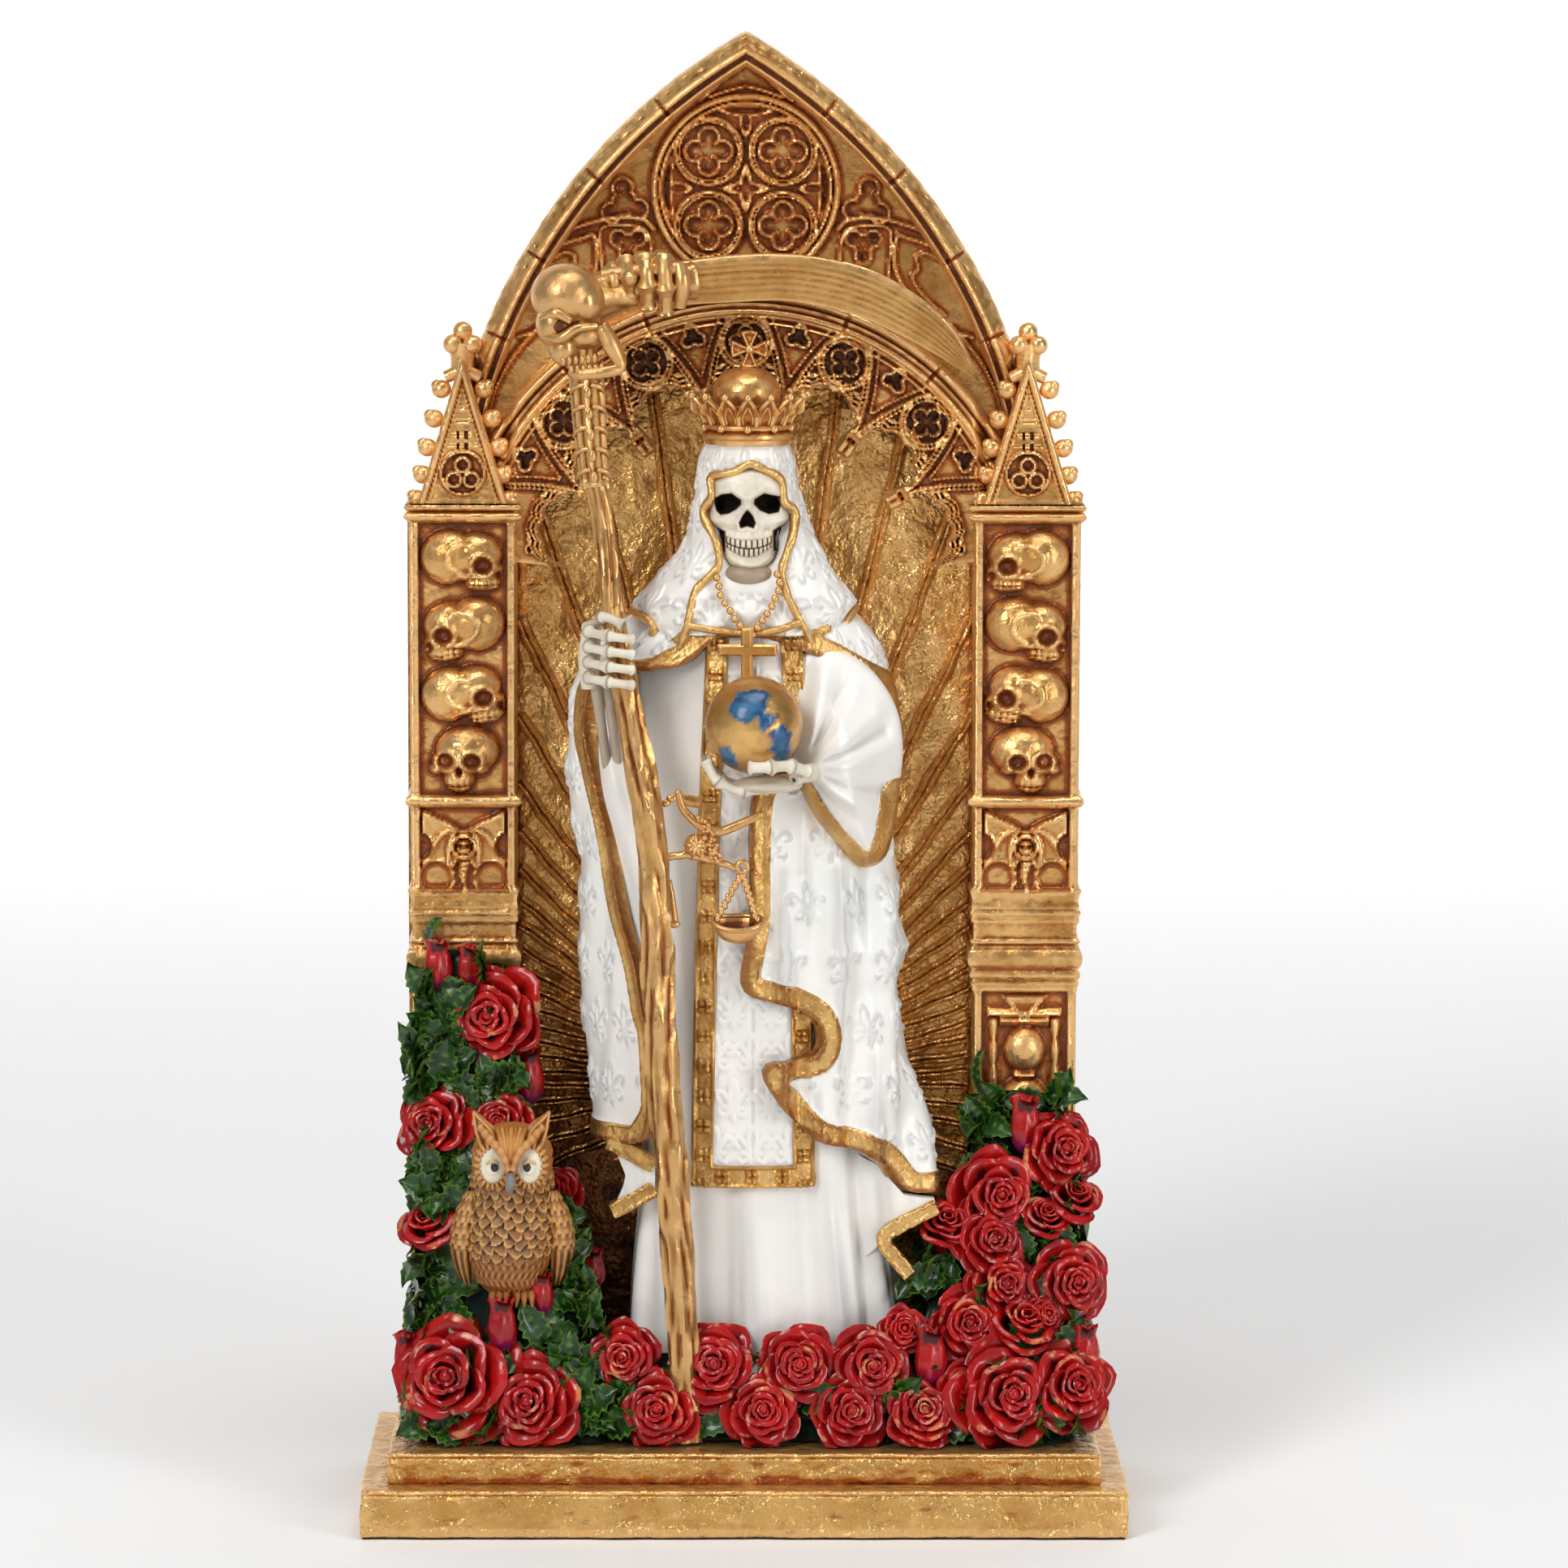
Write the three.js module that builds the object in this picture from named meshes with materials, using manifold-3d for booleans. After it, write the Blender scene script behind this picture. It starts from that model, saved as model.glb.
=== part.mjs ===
// A painted, moulded figurine: a robed and crowned skeleton with scythe, globe, scales and owl in a gothic niche.
// Millimetres. X runs to the viewer's right, Y to the back, Z up. The origin is the middle of the underside.
import * as THREE from "three";
import { mergeVertices } from "three/addons/utils/BufferGeometryUtils.js";
import Module from "manifold-3d";

const wasm = await Module();
wasm.setup();

// Clear space between neighbouring castings
const gap = 0.3;

// Plinth, two steps
const lowerWidth = 154;
const lowerDepth = 75;
const lowerHeight = 9.9;
const upperWidth = 143.6;
const upperDepth = 66;
const upperHeight = 6.2;
const frontTread = 6.3;
const plinthTop = lowerHeight + upperHeight;

// Shrine, heights above its own foot
const nicheWidth = 92.8;
const columnWidth = 21.6;
const columnDepth = 24.5;
const columnHeight = 186;
const pinnacleHeight = 38;
const pinnacleWidth = 17;
const wallThickness = 11;
const shrineHeight = 282;
const shrineBack = 33;
const archRadius = 123.8;
const archOffset = 61.5;
const archMoulding = 6.2;
const innerRadius = 59.6;
const innerMoulding = 5;
const innerCentreHeight = 170.2;
const tracerySink = 5.5;
const traceryRaise = 2.6;
const roseWindowRadius = 19;
const roseWindowHeight = 250.2;
const rondelRadius = 6.8;
const hangingThickness = 4;
const hangingRondelRadius = 5.2;
const hangingRondelDistance = 49.4;
const pendantRadius = 36;
const cuspRise = 6.6;
const pendantDrop = 3;
const bayPitch = 24;
const bayCount = 7;
const rayCount = 14;
const rayHeight = 1;
const rayHalfWidth = 1.5;
const rayCentreHeight = 66;

// Figure: its proportions are shares of its height, kept as one unit, which is 1 mm at 222 mm
const figureHeight = 222;
const unit = figureHeight / 222;

// Scythe, globe, scales, owl
const staffRadius = 2.7;
const bladeThickness = 2.4;
const globeRadius = 9.8;
const globeDepth = -22.6;
const scalesThickness = 1.6;
const owlHeight = 37;
const owlAcross = -47.4;
const owlDepth = -12;
const owlPerch = 27;

// Bed of roses
const petalCount = 5;
const leafEvery = 4;

// Places that follow from the sizes above
const foot = plinthTop + gap;
const columnFront = shrineBack - columnDepth;
const wallFront = shrineBack - wallThickness;
const columnCentre = (nicheWidth + columnWidth) / 2;
const apex = foot + shrineHeight;
const archSpring = apex - Math.sqrt(archRadius ** 2 - archOffset ** 2);
const innerCentre = foot + innerCentreHeight;
const archFront = columnFront;
const groundFront = archFront + tracerySink + traceryRaise;

// Turns a closed three.js geometry into a solid that can be joined and cut.
function solid(geometry) {
  const bare = geometry.clone();
  bare.deleteAttribute("normal");
  bare.deleteAttribute("uv");
  const merged = mergeVertices(bare, 1e-4);
  return new wasm.Manifold(
    new wasm.Mesh({
      numProp: 3,
      vertProperties: new Float32Array(merged.attributes.position.array),
      triVerts: new Uint32Array(merged.index.array),
    }),
  );
}

function join(...solids) {
  return solids.flat().reduce((whole, next) => whole.add(next));
}

function cut(body, ...tools) {
  return tools.flat().reduce((left, tool) => left.subtract(tool), body);
}

// Six times the volume that the triangles enclose, negative when the faces point inwards.
function signedVolume(points, faces) {
  return faces.reduce((sum, [a, b, c]) => sum + points[a].dot(points[b].clone().cross(points[c])), 0);
}

// A skin over rings of equally many points, closed at both ends.
function loft(rings) {
  const n = rings[0].length;
  const points = rings.flat();
  const faces = [];
  for (let row = 0; row + 1 < rings.length; row++) {
    for (let k = 0; k < n; k++) {
      const a = row * n + k;
      const b = row * n + ((k + 1) % n);
      faces.push([a, b, b + n], [a, b + n, a + n]);
    }
  }
  for (const [row, flip] of [[0, true], [rings.length - 1, false]]) {
    const middle = points.length;
    const centre = rings[row].reduce((sum, p) => sum.add(p), new THREE.Vector3()).divideScalar(n);
    points.push(centre);
    for (let k = 0; k < n; k++) {
      const a = row * n + k;
      const b = row * n + ((k + 1) % n);
      faces.push(flip ? [b, a, middle] : [a, b, middle]);
    }
  }
  if (signedVolume(points, faces) < 0) faces.forEach((face) => face.reverse());
  const geometry = new THREE.BufferGeometry().setFromPoints(points);
  geometry.setIndex(faces.flat());
  return solid(geometry);
}

// A block between two corners.
function block(x0, x1, y0, y1, z0, z1) {
  const geometry = new THREE.BoxGeometry(x1 - x0, y1 - y0, z1 - z0);
  geometry.translate((x0 + x1) / 2, (y0 + y1) / 2, (z0 + z1) / 2);
  return solid(geometry);
}

// An outline drawn in X and Z, taken from one depth to another.
function slab(shape, yFront, yBack, curveSegments = 12) {
  const geometry = new THREE.ExtrudeGeometry(shape, {
    depth: yBack - yFront,
    bevelEnabled: false,
    curveSegments,
  });
  geometry.rotateX(Math.PI / 2);
  geometry.translate(0, yBack, 0);
  return solid(geometry);
}

function outline(points) {
  return new THREE.Shape(points.map(([x, z]) => new THREE.Vector2(x, z)));
}

function ball(radius, x, y, z, around = 10, up = 7) {
  const geometry = new THREE.SphereGeometry(radius, around, up);
  geometry.rotateX(Math.PI / 2);
  geometry.translate(x, y, z);
  return solid(geometry);
}

// A pointed lump: leaf, crocket or stud.
function lozenge(length, width, thick, place, turn) {
  const geometry = new THREE.OctahedronGeometry(0.5);
  geometry.scale(width, thick, length);
  geometry.applyMatrix4(new THREE.Matrix4().makeRotationFromEuler(turn));
  geometry.translate(place.x, place.y, place.z);
  return solid(geometry);
}

// A round limb that follows a smooth line through the places given, each with its own radius.
function limb(places, radii, sides, steps, swell = () => 1) {
  const curve = new THREE.CatmullRomCurve3(places.map((p) => new THREE.Vector3(...p)));
  const rings = [];
  for (let i = 0; i <= steps; i++) {
    const t = i / steps;
    const s = t * (places.length - 1);
    const low = Math.min(Math.floor(s), places.length - 2);
    const radius = THREE.MathUtils.lerp(radii[low], radii[low + 1], s - low);
    const centre = curve.getPoint(t);
    const along = curve.getTangent(t);
    const side = new THREE.Vector3(0, 1, 0).cross(along);
    if (side.lengthSq() < 0.05) side.set(1, 0, 0);
    side.normalize();
    const other = along.clone().cross(side).normalize();
    const ring = [];
    for (let k = 0; k < sides; k++) {
      const angle = (2 * Math.PI * k) / sides;
      const r = radius * swell(t, angle);
      ring.push(
        centre.clone()
          .addScaledVector(side, r * Math.cos(angle))
          .addScaledVector(other, r * Math.sin(angle)),
      );
    }
    rings.push(ring);
  }
  return loft(rings);
}

// Reads a table of stations, sorted by their first value, at any value between.
function station(table, value) {
  const last = table.length - 1;
  let row = 0;
  while (row < last - 1 && table[row + 1][0] < value) row++;
  const [low, high] = [table[row], table[row + 1]];
  const t = THREE.MathUtils.clamp((value - low[0]) / (high[0] - low[0]), 0, 1);
  return low.slice(1).map((entry, k) => THREE.MathUtils.lerp(entry, high[k + 1], t));
}

// A body given by stations of height, left, right, front and back. The ring is squarer with a low power.
function draped(table, levels, around, { outset = 0, power = 0.85, fold = () => 0 } = {}) {
  const bottom = table[0][0];
  const top = table[table.length - 1][0];
  const rings = [];
  for (let i = 0; i <= levels; i++) {
    const h = THREE.MathUtils.lerp(bottom, top, i / levels);
    const [left, right, front, back] = station(table, h);
    const ring = [];
    for (let k = 0; k < around; k++) {
      const angle = (2 * Math.PI * k) / around;
      const c = Math.cos(angle);
      const s = Math.sin(angle);
      const swell = outset + fold(h, angle);
      const halfWide = (right - left) / 2 + swell;
      const halfDeep = (back - front) / 2 + swell;
      ring.push(
        new THREE.Vector3(
          unit * ((left + right) / 2 + halfWide * Math.sign(c) * Math.abs(c) ** power),
          unit * ((front + back) / 2 + halfDeep * Math.sign(s) * Math.abs(s) ** power),
          plinthTop + gap + unit * h,
        ),
      );
    }
    rings.push(ring);
  }
  return loft(rings);
}

// A skull of the given width, its chin at the foot of its own frame and its face towards the front.
function skull(width, sides, turn, place, detail) {
  const rows = [
    [0, 0.2, -0.42, -0.16, true],
    [0.14, 0.27, -0.45, -0.06, false],
    [0.34, 0.29, -0.46, 0.1, true],
    [0.46, 0.44, -0.36, 0.3, false],
    [0.62, 0.44, -0.4, 0.5, true],
    [0.78, 0.47, -0.44, 0.62, false],
    [1.0, 0.5, -0.38, 0.66, true],
    [1.22, 0.38, -0.18, 0.52, false],
    [1.3, 0.16, 0.04, 0.3, true],
  ].filter((row) => detail || row[4]);
  const rings = rows.map(([up, half, front, back]) =>
    Array.from({ length: sides }, (unused, k) => {
      const angle = (2 * Math.PI * (k + 0.5)) / sides;
      return new THREE.Vector3(
        width * half * Math.cos(angle) * 1.04,
        width * ((front + back) / 2 + ((back - front) / 2) * Math.sin(angle)),
        width * up,
      );
    }),
  );
  let head = loft(rings);
  const socketSides = detail ? 6 : 4;
  for (const side of [-1, 1]) {
    head = cut(head, ball(width * 0.14, side * width * 0.2, -width * 0.46, width * 0.62, socketSides, detail ? 4 : 3));
  }
  if (detail) {
    const nose = outline([
      [-0.09 * width, 0.4 * width],
      [0.09 * width, 0.4 * width],
      [0, 0.56 * width],
    ]);
    head = cut(head, slab(nose, -width, -width * 0.36));
  }
  const matrix = new THREE.Matrix4().makeRotationFromEuler(turn);
  matrix.setPosition(place);
  return head.transform(matrix.elements);
}

// Plinth
function makePlinth() {
  const front = -lowerDepth / 2;
  const upperFront = front + frontTread;
  const lower = block(-lowerWidth / 2, lowerWidth / 2, front, -front, 0, lowerHeight);
  const upper = block(
    -upperWidth / 2, upperWidth / 2, upperFront, upperFront + upperDepth, lowerHeight / 2, plinthTop,
  );
  return join(lower, upper);
}

// The pointed arch, as an outline inside the moulding's outer edge by a margin, cut off at the sides and below.
function archOutline(margin, bottom, half) {
  const radius = archRadius - margin;
  const steps = 10;
  const top = Math.acos(archOffset / radius);
  const side = [[half, bottom]];
  for (let i = 0; i <= steps; i++) {
    const angle = (top * i) / steps;
    const x = Math.min(-archOffset + radius * Math.cos(angle), half);
    const z = archSpring + radius * Math.sin(angle);
    if (z > bottom + 0.5) side.push([x, z]);
  }
  const mirrored = side.slice(0, -1).reverse().map(([x, z]) => [-x, z]);
  return outline([...side, ...mirrored]);
}

// A moulding that runs along an arch. The profile holds pairs of distance inwards from the outer edge, and depth.
function archMouldingRun(stations, profile) {
  const rings = stations.map(([cx, cz, radius, angle]) =>
    profile.map(([inwards, y]) => {
      const r = radius - inwards;
      return new THREE.Vector3(cx + r * Math.cos(angle), y, cz + r * Math.sin(angle));
    }),
  );
  return loft(rings);
}

function outerArch() {
  const w = archMoulding;
  const profile = [
    [0, shrineBack],
    [0, archFront + 5],
    [0.2 * w, archFront + 1.4],
    [0.45 * w, archFront],
    [0.62 * w, archFront + 1.8],
    [0.8 * w, archFront + 0.8],
    [w, archFront + 1.6],
    [w, shrineBack],
  ];
  const steps = 7;
  const legs = [];
  for (const side of [1, -1]) {
    const stations = [];
    for (let i = 0; i <= steps; i++) {
      const angle = THREE.MathUtils.lerp(0.06, Math.acos(archOffset / archRadius) + 0.03, i / steps);
      const turned = side > 0 ? angle : Math.PI - angle;
      stations.push([-side * archOffset, archSpring, archRadius, turned]);
    }
    const keep = side > 0 ? [0, 2 * nicheWidth] : [-2 * nicheWidth, 0];
    const half = block(keep[0], keep[1], archFront - 1, shrineBack + 1, foot, apex + 20);
    legs.push(archMouldingRun(stations, profile).intersect(half));
  }
  return join(legs);
}

function innerArch() {
  const w = innerMoulding;
  const profile = [
    [0, wallFront + 1],
    [0, archFront + 1.2],
    [0.45 * w, archFront + 0.2],
    [w, archFront + 2],
    [w, archFront + tracerySink],
    [0.6 * w, wallFront + 1],
  ];
  const steps = 16;
  const from = 0.17;
  const stations = [];
  for (let i = 0; i <= steps; i++) {
    const angle = THREE.MathUtils.lerp(from, Math.PI - from, i / steps);
    stations.push([0, innerCentre, innerRadius, angle]);
  }
  return archMouldingRun(stations, profile);
}

// A round outline with lobes: four make a quatrefoil and three a trefoil.
function foil(cx, cz, radius, lobes, points, turn = 0, depth = 0.26) {
  const shape = [];
  for (let k = 0; k < points; k++) {
    const angle = (2 * Math.PI * k) / points;
    const r = radius * (1 - depth + depth * Math.cos(lobes * angle));
    shape.push([cx + r * Math.cos(angle + turn), cz + r * Math.sin(angle + turn)]);
  }
  return shape;
}

// A round plate with a foiled opening, seen from the front.
function rondel(cx, cz, radius, front, back) {
  const plate = outline(foil(cx, cz, radius, 1, 8, 0, 0));
  plate.holes.push(outline(foil(cx, cz, radius * 0.7, 4, 8)));
  return slab(plate, front, back);
}

function trefoil(cx, cz, radius, turn, front, back) {
  return slab(outline(foil(cx, cz, radius, 3, 6, turn, 0.32)), front, back);
}

// The carved field between the pointed arch and the round one
function tympanum() {
  const front = archFront + tracerySink;
  const back = groundFront + 0.5;
  const centre = foot + roseWindowHeight;
  const field = slab(archOutline(archMoulding / 2, foot + columnHeight, columnCentre), groundFront, wallFront + 1);
  const hole = slab(outline(foil(0, innerCentre, innerRadius - 1, 1, 20, 0, 0)), archFront, wallFront + 2);
  const pieces = [cut(field, hole)];
  const ring = outline(foil(0, centre, roseWindowRadius, 1, 14, 0, 0));
  ring.holes.push(outline(foil(0, centre, roseWindowRadius - 2, 1, 14, 0, 0)));
  pieces.push(slab(ring, front, back));
  const reach = roseWindowRadius * 0.4;
  for (const [sx, sz] of [[-1, 1], [1, 1], [-1, -1], [1, -1]]) {
    pieces.push(rondel(sx * reach, centre + sz * reach, rondelRadius, front + 0.3, back));
  }
  for (const side of [-1, 1]) {
    const aside = side * (roseWindowRadius + 5.5);
    pieces.push(trefoil(aside, centre, 4.6, side > 0 ? 0 : Math.PI, front, back));
    pieces.push(trefoil(aside * 1.38, centre - 13, 4, Math.PI / 2 - side * 0.7, front, back));
  }
  pieces.push(trefoil(0, centre + roseWindowRadius * 0.8, 2.6, -Math.PI / 2, front, back));
  return join(pieces);
}

// The pierced panel that hangs below the round arch: one cusped bay after another, with pendants between them
function hangingTracery() {
  const front = archFront + 1.4;
  const outer = innerRadius - innerMoulding + 0.6;
  const pitch = THREE.MathUtils.degToRad(bayPitch);
  const place = (radius, angle) => [radius * Math.sin(angle), innerCentre + radius * Math.cos(angle)];
  const ends = (bayCount / 2) * pitch;
  const edge = [];
  const arcSteps = 14;
  for (let i = 0; i <= arcSteps; i++) {
    edge.push(place(outer, THREE.MathUtils.lerp(-ends, ends, i / arcSteps)));
  }
  const cusps = 4;
  for (let i = 0; i <= bayCount * cusps; i++) {
    const angle = ends - (i * pitch) / cusps;
    const rise = Math.abs(Math.sin((Math.PI * i) / cusps)) ** 0.5;
    const atPendant = i % cusps === 0 && i > 0 && i < bayCount * cusps;
    if (atPendant) edge.push(place(pendantRadius, angle + 0.06));
    edge.push(place(pendantRadius + cuspRise * rise - (atPendant ? pendantDrop : 0), angle));
    if (atPendant) edge.push(place(pendantRadius, angle - 0.06));
  }
  const panel = outline(edge);
  for (let bay = 0; bay < bayCount; bay++) {
    const middle = (bay - (bayCount - 1) / 2) * pitch;
    const whole = Math.abs(middle) < 2.5 * pitch;
    if (whole) {
      panel.holes.push(outline(foil(...place(hangingRondelDistance, middle), hangingRondelRadius * 0.76, 4, 8)));
    }
    if (bay > 0) {
      const angle = middle - pitch / 2;
      panel.holes.push(outline(foil(...place(outer - 3.4, angle), 2.1, 3, 3, Math.PI / 2 - angle)));
    }
  }
  return slab(panel, front, front + hangingThickness);
}

// Rays that spread over the back of the niche
function rays() {
  const centre = foot + rayCentreHeight;
  const half = nicheWidth / 2 + 1;
  const start = 26;
  const pieces = [];
  for (let k = 0; k < rayCount; k++) {
    const angle = -0.35 + ((Math.PI + 0.7) * (k + 0.5)) / rayCount;
    const across = Math.abs(Math.cos(angle));
    const reach = Math.min(half / Math.max(across, 0.01), 172);
    if (reach < start + 4) continue;
    const ray = new THREE.CylinderGeometry(rayHalfWidth, rayHalfWidth / 2, reach - start, 3, 1);
    ray.scale(1, 1, rayHeight / rayHalfWidth);
    ray.translate(0, (reach + start) / 2, 0);
    ray.rotateX(Math.PI / 2);
    ray.rotateY(Math.PI / 2 - angle);
    ray.translate(0, wallFront, centre);
    pieces.push(solid(ray));
  }
  const clip = block(-half, half, wallFront - 3, wallFront + 2, foot, innerCentre + innerRadius - 3);
  return join(pieces).intersect(clip);
}

// A column: each row is a height above the foot and how far the moulding stands out from the shaft.
function column(side) {
  const profile = [
    [0, -0.4],
    [86.8, -0.4],
    [87.6, 0.6],
    [90.4, 0.1],
    [92.6, 1.2],
    [96.4, 1.2],
    [99.2, -0.6],
    [103.6, -0.5],
    [105.2, 0.4],
    [110, 0.3],
    [111, -0.2],
    [124.4, -0.2],
    [125.2, 1.1],
    [127.2, 1],
    [128, 0],
    [182.8, 0],
    [183.8, 1.3],
    [columnHeight, 1.3],
  ];
  const half = columnWidth / 2;
  const rings = profile.map(([up, out]) => {
    const z = foot + (up * columnHeight) / 186;
    const back = shrineBack;
    const front = columnFront - out;
    return [
      [-half - out, front],
      [half + out, front],
      [half + out, back],
      [-half - out, back],
    ].map(([x, y]) => new THREE.Vector3(side * columnCentre + x, y, z));
  });
  let body = loft(rings);
  const sink = 1.5;
  const margin = 2.4;
  const panels = [[129, 181.6], [112, 123.2], [30, 84.6]];
  for (const [low, high] of panels) {
    const scaled = [low, high].map((value) => foot + (value * columnHeight) / 186);
    body = cut(
      body,
      block(
        side * columnCentre - half + margin, side * columnCentre + half - margin,
        columnFront - 3, columnFront + sink, scaled[0], scaled[1],
      ),
    );
  }
  const reliefs = [];
  const face = columnFront + sink + 2.6;
  const skullWidth = columnWidth * 0.6;
  const spacing = 13.4;
  const turns = [side, -side, side, 0.2 * side];
  turns.forEach((turn, k) => {
    const z = foot + ((167.6 - spacing * k) * columnHeight) / 186;
    const place = new THREE.Vector3(side * columnCentre, face, z);
    reliefs.push(skull(skullWidth, 5, new THREE.Euler(0, 0, turn * -0.55), place, false));
  });
  // Bat-winged crest on the middle panel
  const crest = foot + (118.5 * columnHeight) / 186;
  const wing = [[0, -5], [3, -1], [6.6, -1.6], [7.4, 3], [4.6, 4.6]];
  const bothWings = [...wing, [0, 3], ...wing.slice(1).reverse().map(([x, z]) => [-x, z])];
  const spread = outline(bothWings.map(([x, z]) => [side * columnCentre + x, crest + z]));
  reliefs.push(slab(spread, columnFront, columnFront + 3));
  // Hourglass on the pedestal panel
  const bulbHeights = [75.5, 65];
  for (const up of bulbHeights) {
    const z = foot + (up * columnHeight) / 186;
    reliefs.push(ball(4.7, side * columnCentre, columnFront + 3.6, z, 6, 3));
  }
  return join(body, reliefs);
}

// A steep spire with leaf crockets and a knot of four balls
function pinnacle(side) {
  const base = foot + columnHeight;
  const spire = 28;
  const top = base + (spire * pinnacleHeight) / 38;
  const half = pinnacleWidth / 2;
  const middle = columnFront + half + 1;
  const x0 = side * columnCentre;
  const square = (r, z) =>
    [[-r, -r], [r, -r], [r, r], [-r, r]].map(([x, y]) => new THREE.Vector3(x0 + x, middle + y, z));
  const pieces = [loft([square(half + 1, base - 1), square(half + 1, base + 1), square(half, base + 1.2), square(0.9, top)])];
  pieces.push(limb([[x0, middle, top - 2], [x0, middle, base + pinnacleHeight - 3]], [1.1, 1], 4, 1));
  const knot = top + pinnacleHeight * 0.21;
  pieces.push(ball(2, x0, middle, base + pinnacleHeight - 2, 5, 3));
  for (const wing of [-1, 1]) {
    pieces.push(ball(1.8, x0 + wing * 1.8, middle, knot - 3.2, 5, 3));
    for (const [out, up] of [[3.4, 20.5], [5.8, 12], [8.3, 3.4]]) {
      const place = new THREE.Vector3(x0 + wing * out, middle, base + (up * pinnacleHeight) / 38);
      pieces.push(lozenge(4.2, 4, 4, place, new THREE.Euler(0, wing * 0.7, 0)));
    }
  }
  return join(pieces);
}

function makeShrine() {
  const wall = slab(archOutline(archMoulding / 2, foot, columnCentre), wallFront, shrineBack);
  const pieces = [wall, rays(), outerArch(), tympanum(), innerArch(), hangingTracery()];
  for (const side of [-1, 1]) {
    pieces.push(column(side));
    pieces.push(pinnacle(side));
  }
  const clip = block(-lowerWidth / 2, lowerWidth / 2, -lowerDepth / 2, shrineBack, foot, apex);
  return join(pieces).intersect(clip);
}

// Figure: stations of height above its foot, left, right, front and back
const albStations = [
  [0, -24.5, 33, -14, 15],
  [25, -23.3, 31.8, -13, 15],
  [46, -21.8, 29, -12, 16],
  [84, -20, 26, -11.5, 17],
  [140, -20, 22, -11, 17],
  [162, -15, 15, -9.5, 14],
  [176, -7, 7, -7, 9],
];
const mantleStations = [
  [42, -28, 39.6, -15.5, 19],
  [50, -31.5, 38.8, -16.5, 19],
  [62, -32, 36.7, -17, 19],
  [84, -34, 32.6, -17, 19],
  [91, -34.1, 31.6, -17, 19],
  [99, -34.1, 33.3, -17, 19],
  [107, -33.8, 31, -17, 19],
  [115, -33.6, 29.4, -17, 19],
  [124, -35.4, 29, -16, 19],
  [134, -36.2, 29.5, -15, 19],
  [142, -35.8, 30.6, -14, 19],
  [151, -33.4, 30, -13, 18],
  [159, -30, 27.2, -12, 17],
  [165, -24, 23.5, -11, 15],
  [172, -15, 15, -9, 13],
];
const veilStations = [
  [157, -15, 16, -12, 12],
  [160, -21, 18, -13.5, 15],
  [164, -23.6, 21.4, -13.5, 15],
  [168, -22.4, 22.5, -13.4, 15],
  [174, -17.6, 18, -12.6, 14],
  [178, -13.8, 16, -12.4, 13],
  [184, -11.6, 13.1, -12.4, 12],
  [192, -10, 10.6, -12, 11],
  [197, -9, 9.6, -11, 10],
  [200.2, -7.7, 8.6, -8, 8],
];

// Points given as height above the figure's foot, turned into an outline on the figure
function onFigure(points) {
  return points.map(([x, h]) => [unit * x, foot + unit * h]);
}

function mantle() {
  const fold = (h, angle) => 0.8 * Math.sin(5 * angle + h * 0.05) * THREE.MathUtils.clamp((130 - h) / 60, 0, 1);
  const cloth = draped(mantleStations, 9, 14, { fold });
  // The front edges of the cloth, down the left side, along the hem and up the falling folds on the right
  const opening = onFigure([
    [-31, 150], [-31.5, 140], [-29, 128], [-27, 116], [-24.5, 102], [-21.5, 88], [-19, 72], [-18.6, 60],
    [-36, 57.5], [-36, 38], [46, 38], [46, 46], [39.6, 47.5], [33.5, 48], [28.5, 54], [24, 57], [15, 60],
    [6.4, 70], [6, 74], [16, 76.5], [16.5, 84], [11, 87], [2, 92], [1.6, 104], [3.4, 130],
    [10, 136], [13, 150], [8, 156], [-8, 156],
  ]);
  return cut(cloth, slab(outline(opening), -40, -4));
}

function alb() {
  const fold = (h, angle) => 1.1 * Math.sin(5 * angle) * THREE.MathUtils.clamp((70 - h) / 60, 0, 1);
  return draped(albStations, 3, 14, { fold });
}

function veil() {
  const cloth = draped(veilStations, 7, 10, { power: 0.9 });
  const opening = onFigure([
    [-12, 150], [-12.4, 160], [-11, 166], [-10.6, 171], [-6, 175], [-6.4, 179], [-8, 183], [-9.4, 187],
    [-7.8, 190.5], [-7.6, 195], [-3, 196.5], [0.6, 197.6], [4.6, 196.6], [7.8, 192], [8, 189], [10.8, 186],
    [10.4, 182.6], [8.4, 178], [8.6, 174], [10.6, 167], [15, 158.4], [15, 150],
  ]);
  return cut(cloth, slab(outline(opening), -30, -5));
}

// Two sleeves. The right one hangs open below the hand that holds the globe.
function sleeves() {
  const hanging = [
    [9.6, -24.5, -14, 131, 141],
    [13, -24, -9, 125, 145],
    [19, -22, -4, 116.5, 149.5],
    [26, -17, 0, 113, 152],
    [31.4, -9, 3, 126, 147],
  ];
  const rings = hanging.map(([x, front, back, low, high]) =>
    Array.from({ length: 8 }, (unused, k) => {
      const angle = (2 * Math.PI * k) / 8;
      return new THREE.Vector3(
        unit * x,
        unit * ((front + back) / 2 + ((back - front) / 2) * Math.cos(angle)),
        foot + unit * ((low + high) / 2 + ((high - low) / 2) * Math.sin(angle)),
      );
    }),
  );
  const at = (x, y, h) => [unit * x, unit * y, foot + unit * h];
  const raised = limb([at(-25, 2, 152), at(-28, -5, 132), at(-24.5, -9, 138)], [6, 7, 5].map((r) => r * unit), 7, 2);
  return join(loft(rings), raised);
}

function stole() {
  const strip = outline(onFigure([[-9.2, 152], [-11.2, 50.5], [14.4, 50.5], [12, 152]]));
  const sunk = outline(onFigure([[-6, 153], [-6.8, 54.8], [9.6, 54.8], [8.6, 153]]));
  const front = -13.4 * unit;
  return cut(slab(strip, front, -8 * unit), slab(sunk, front - 1, front + 0.7));
}

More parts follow.
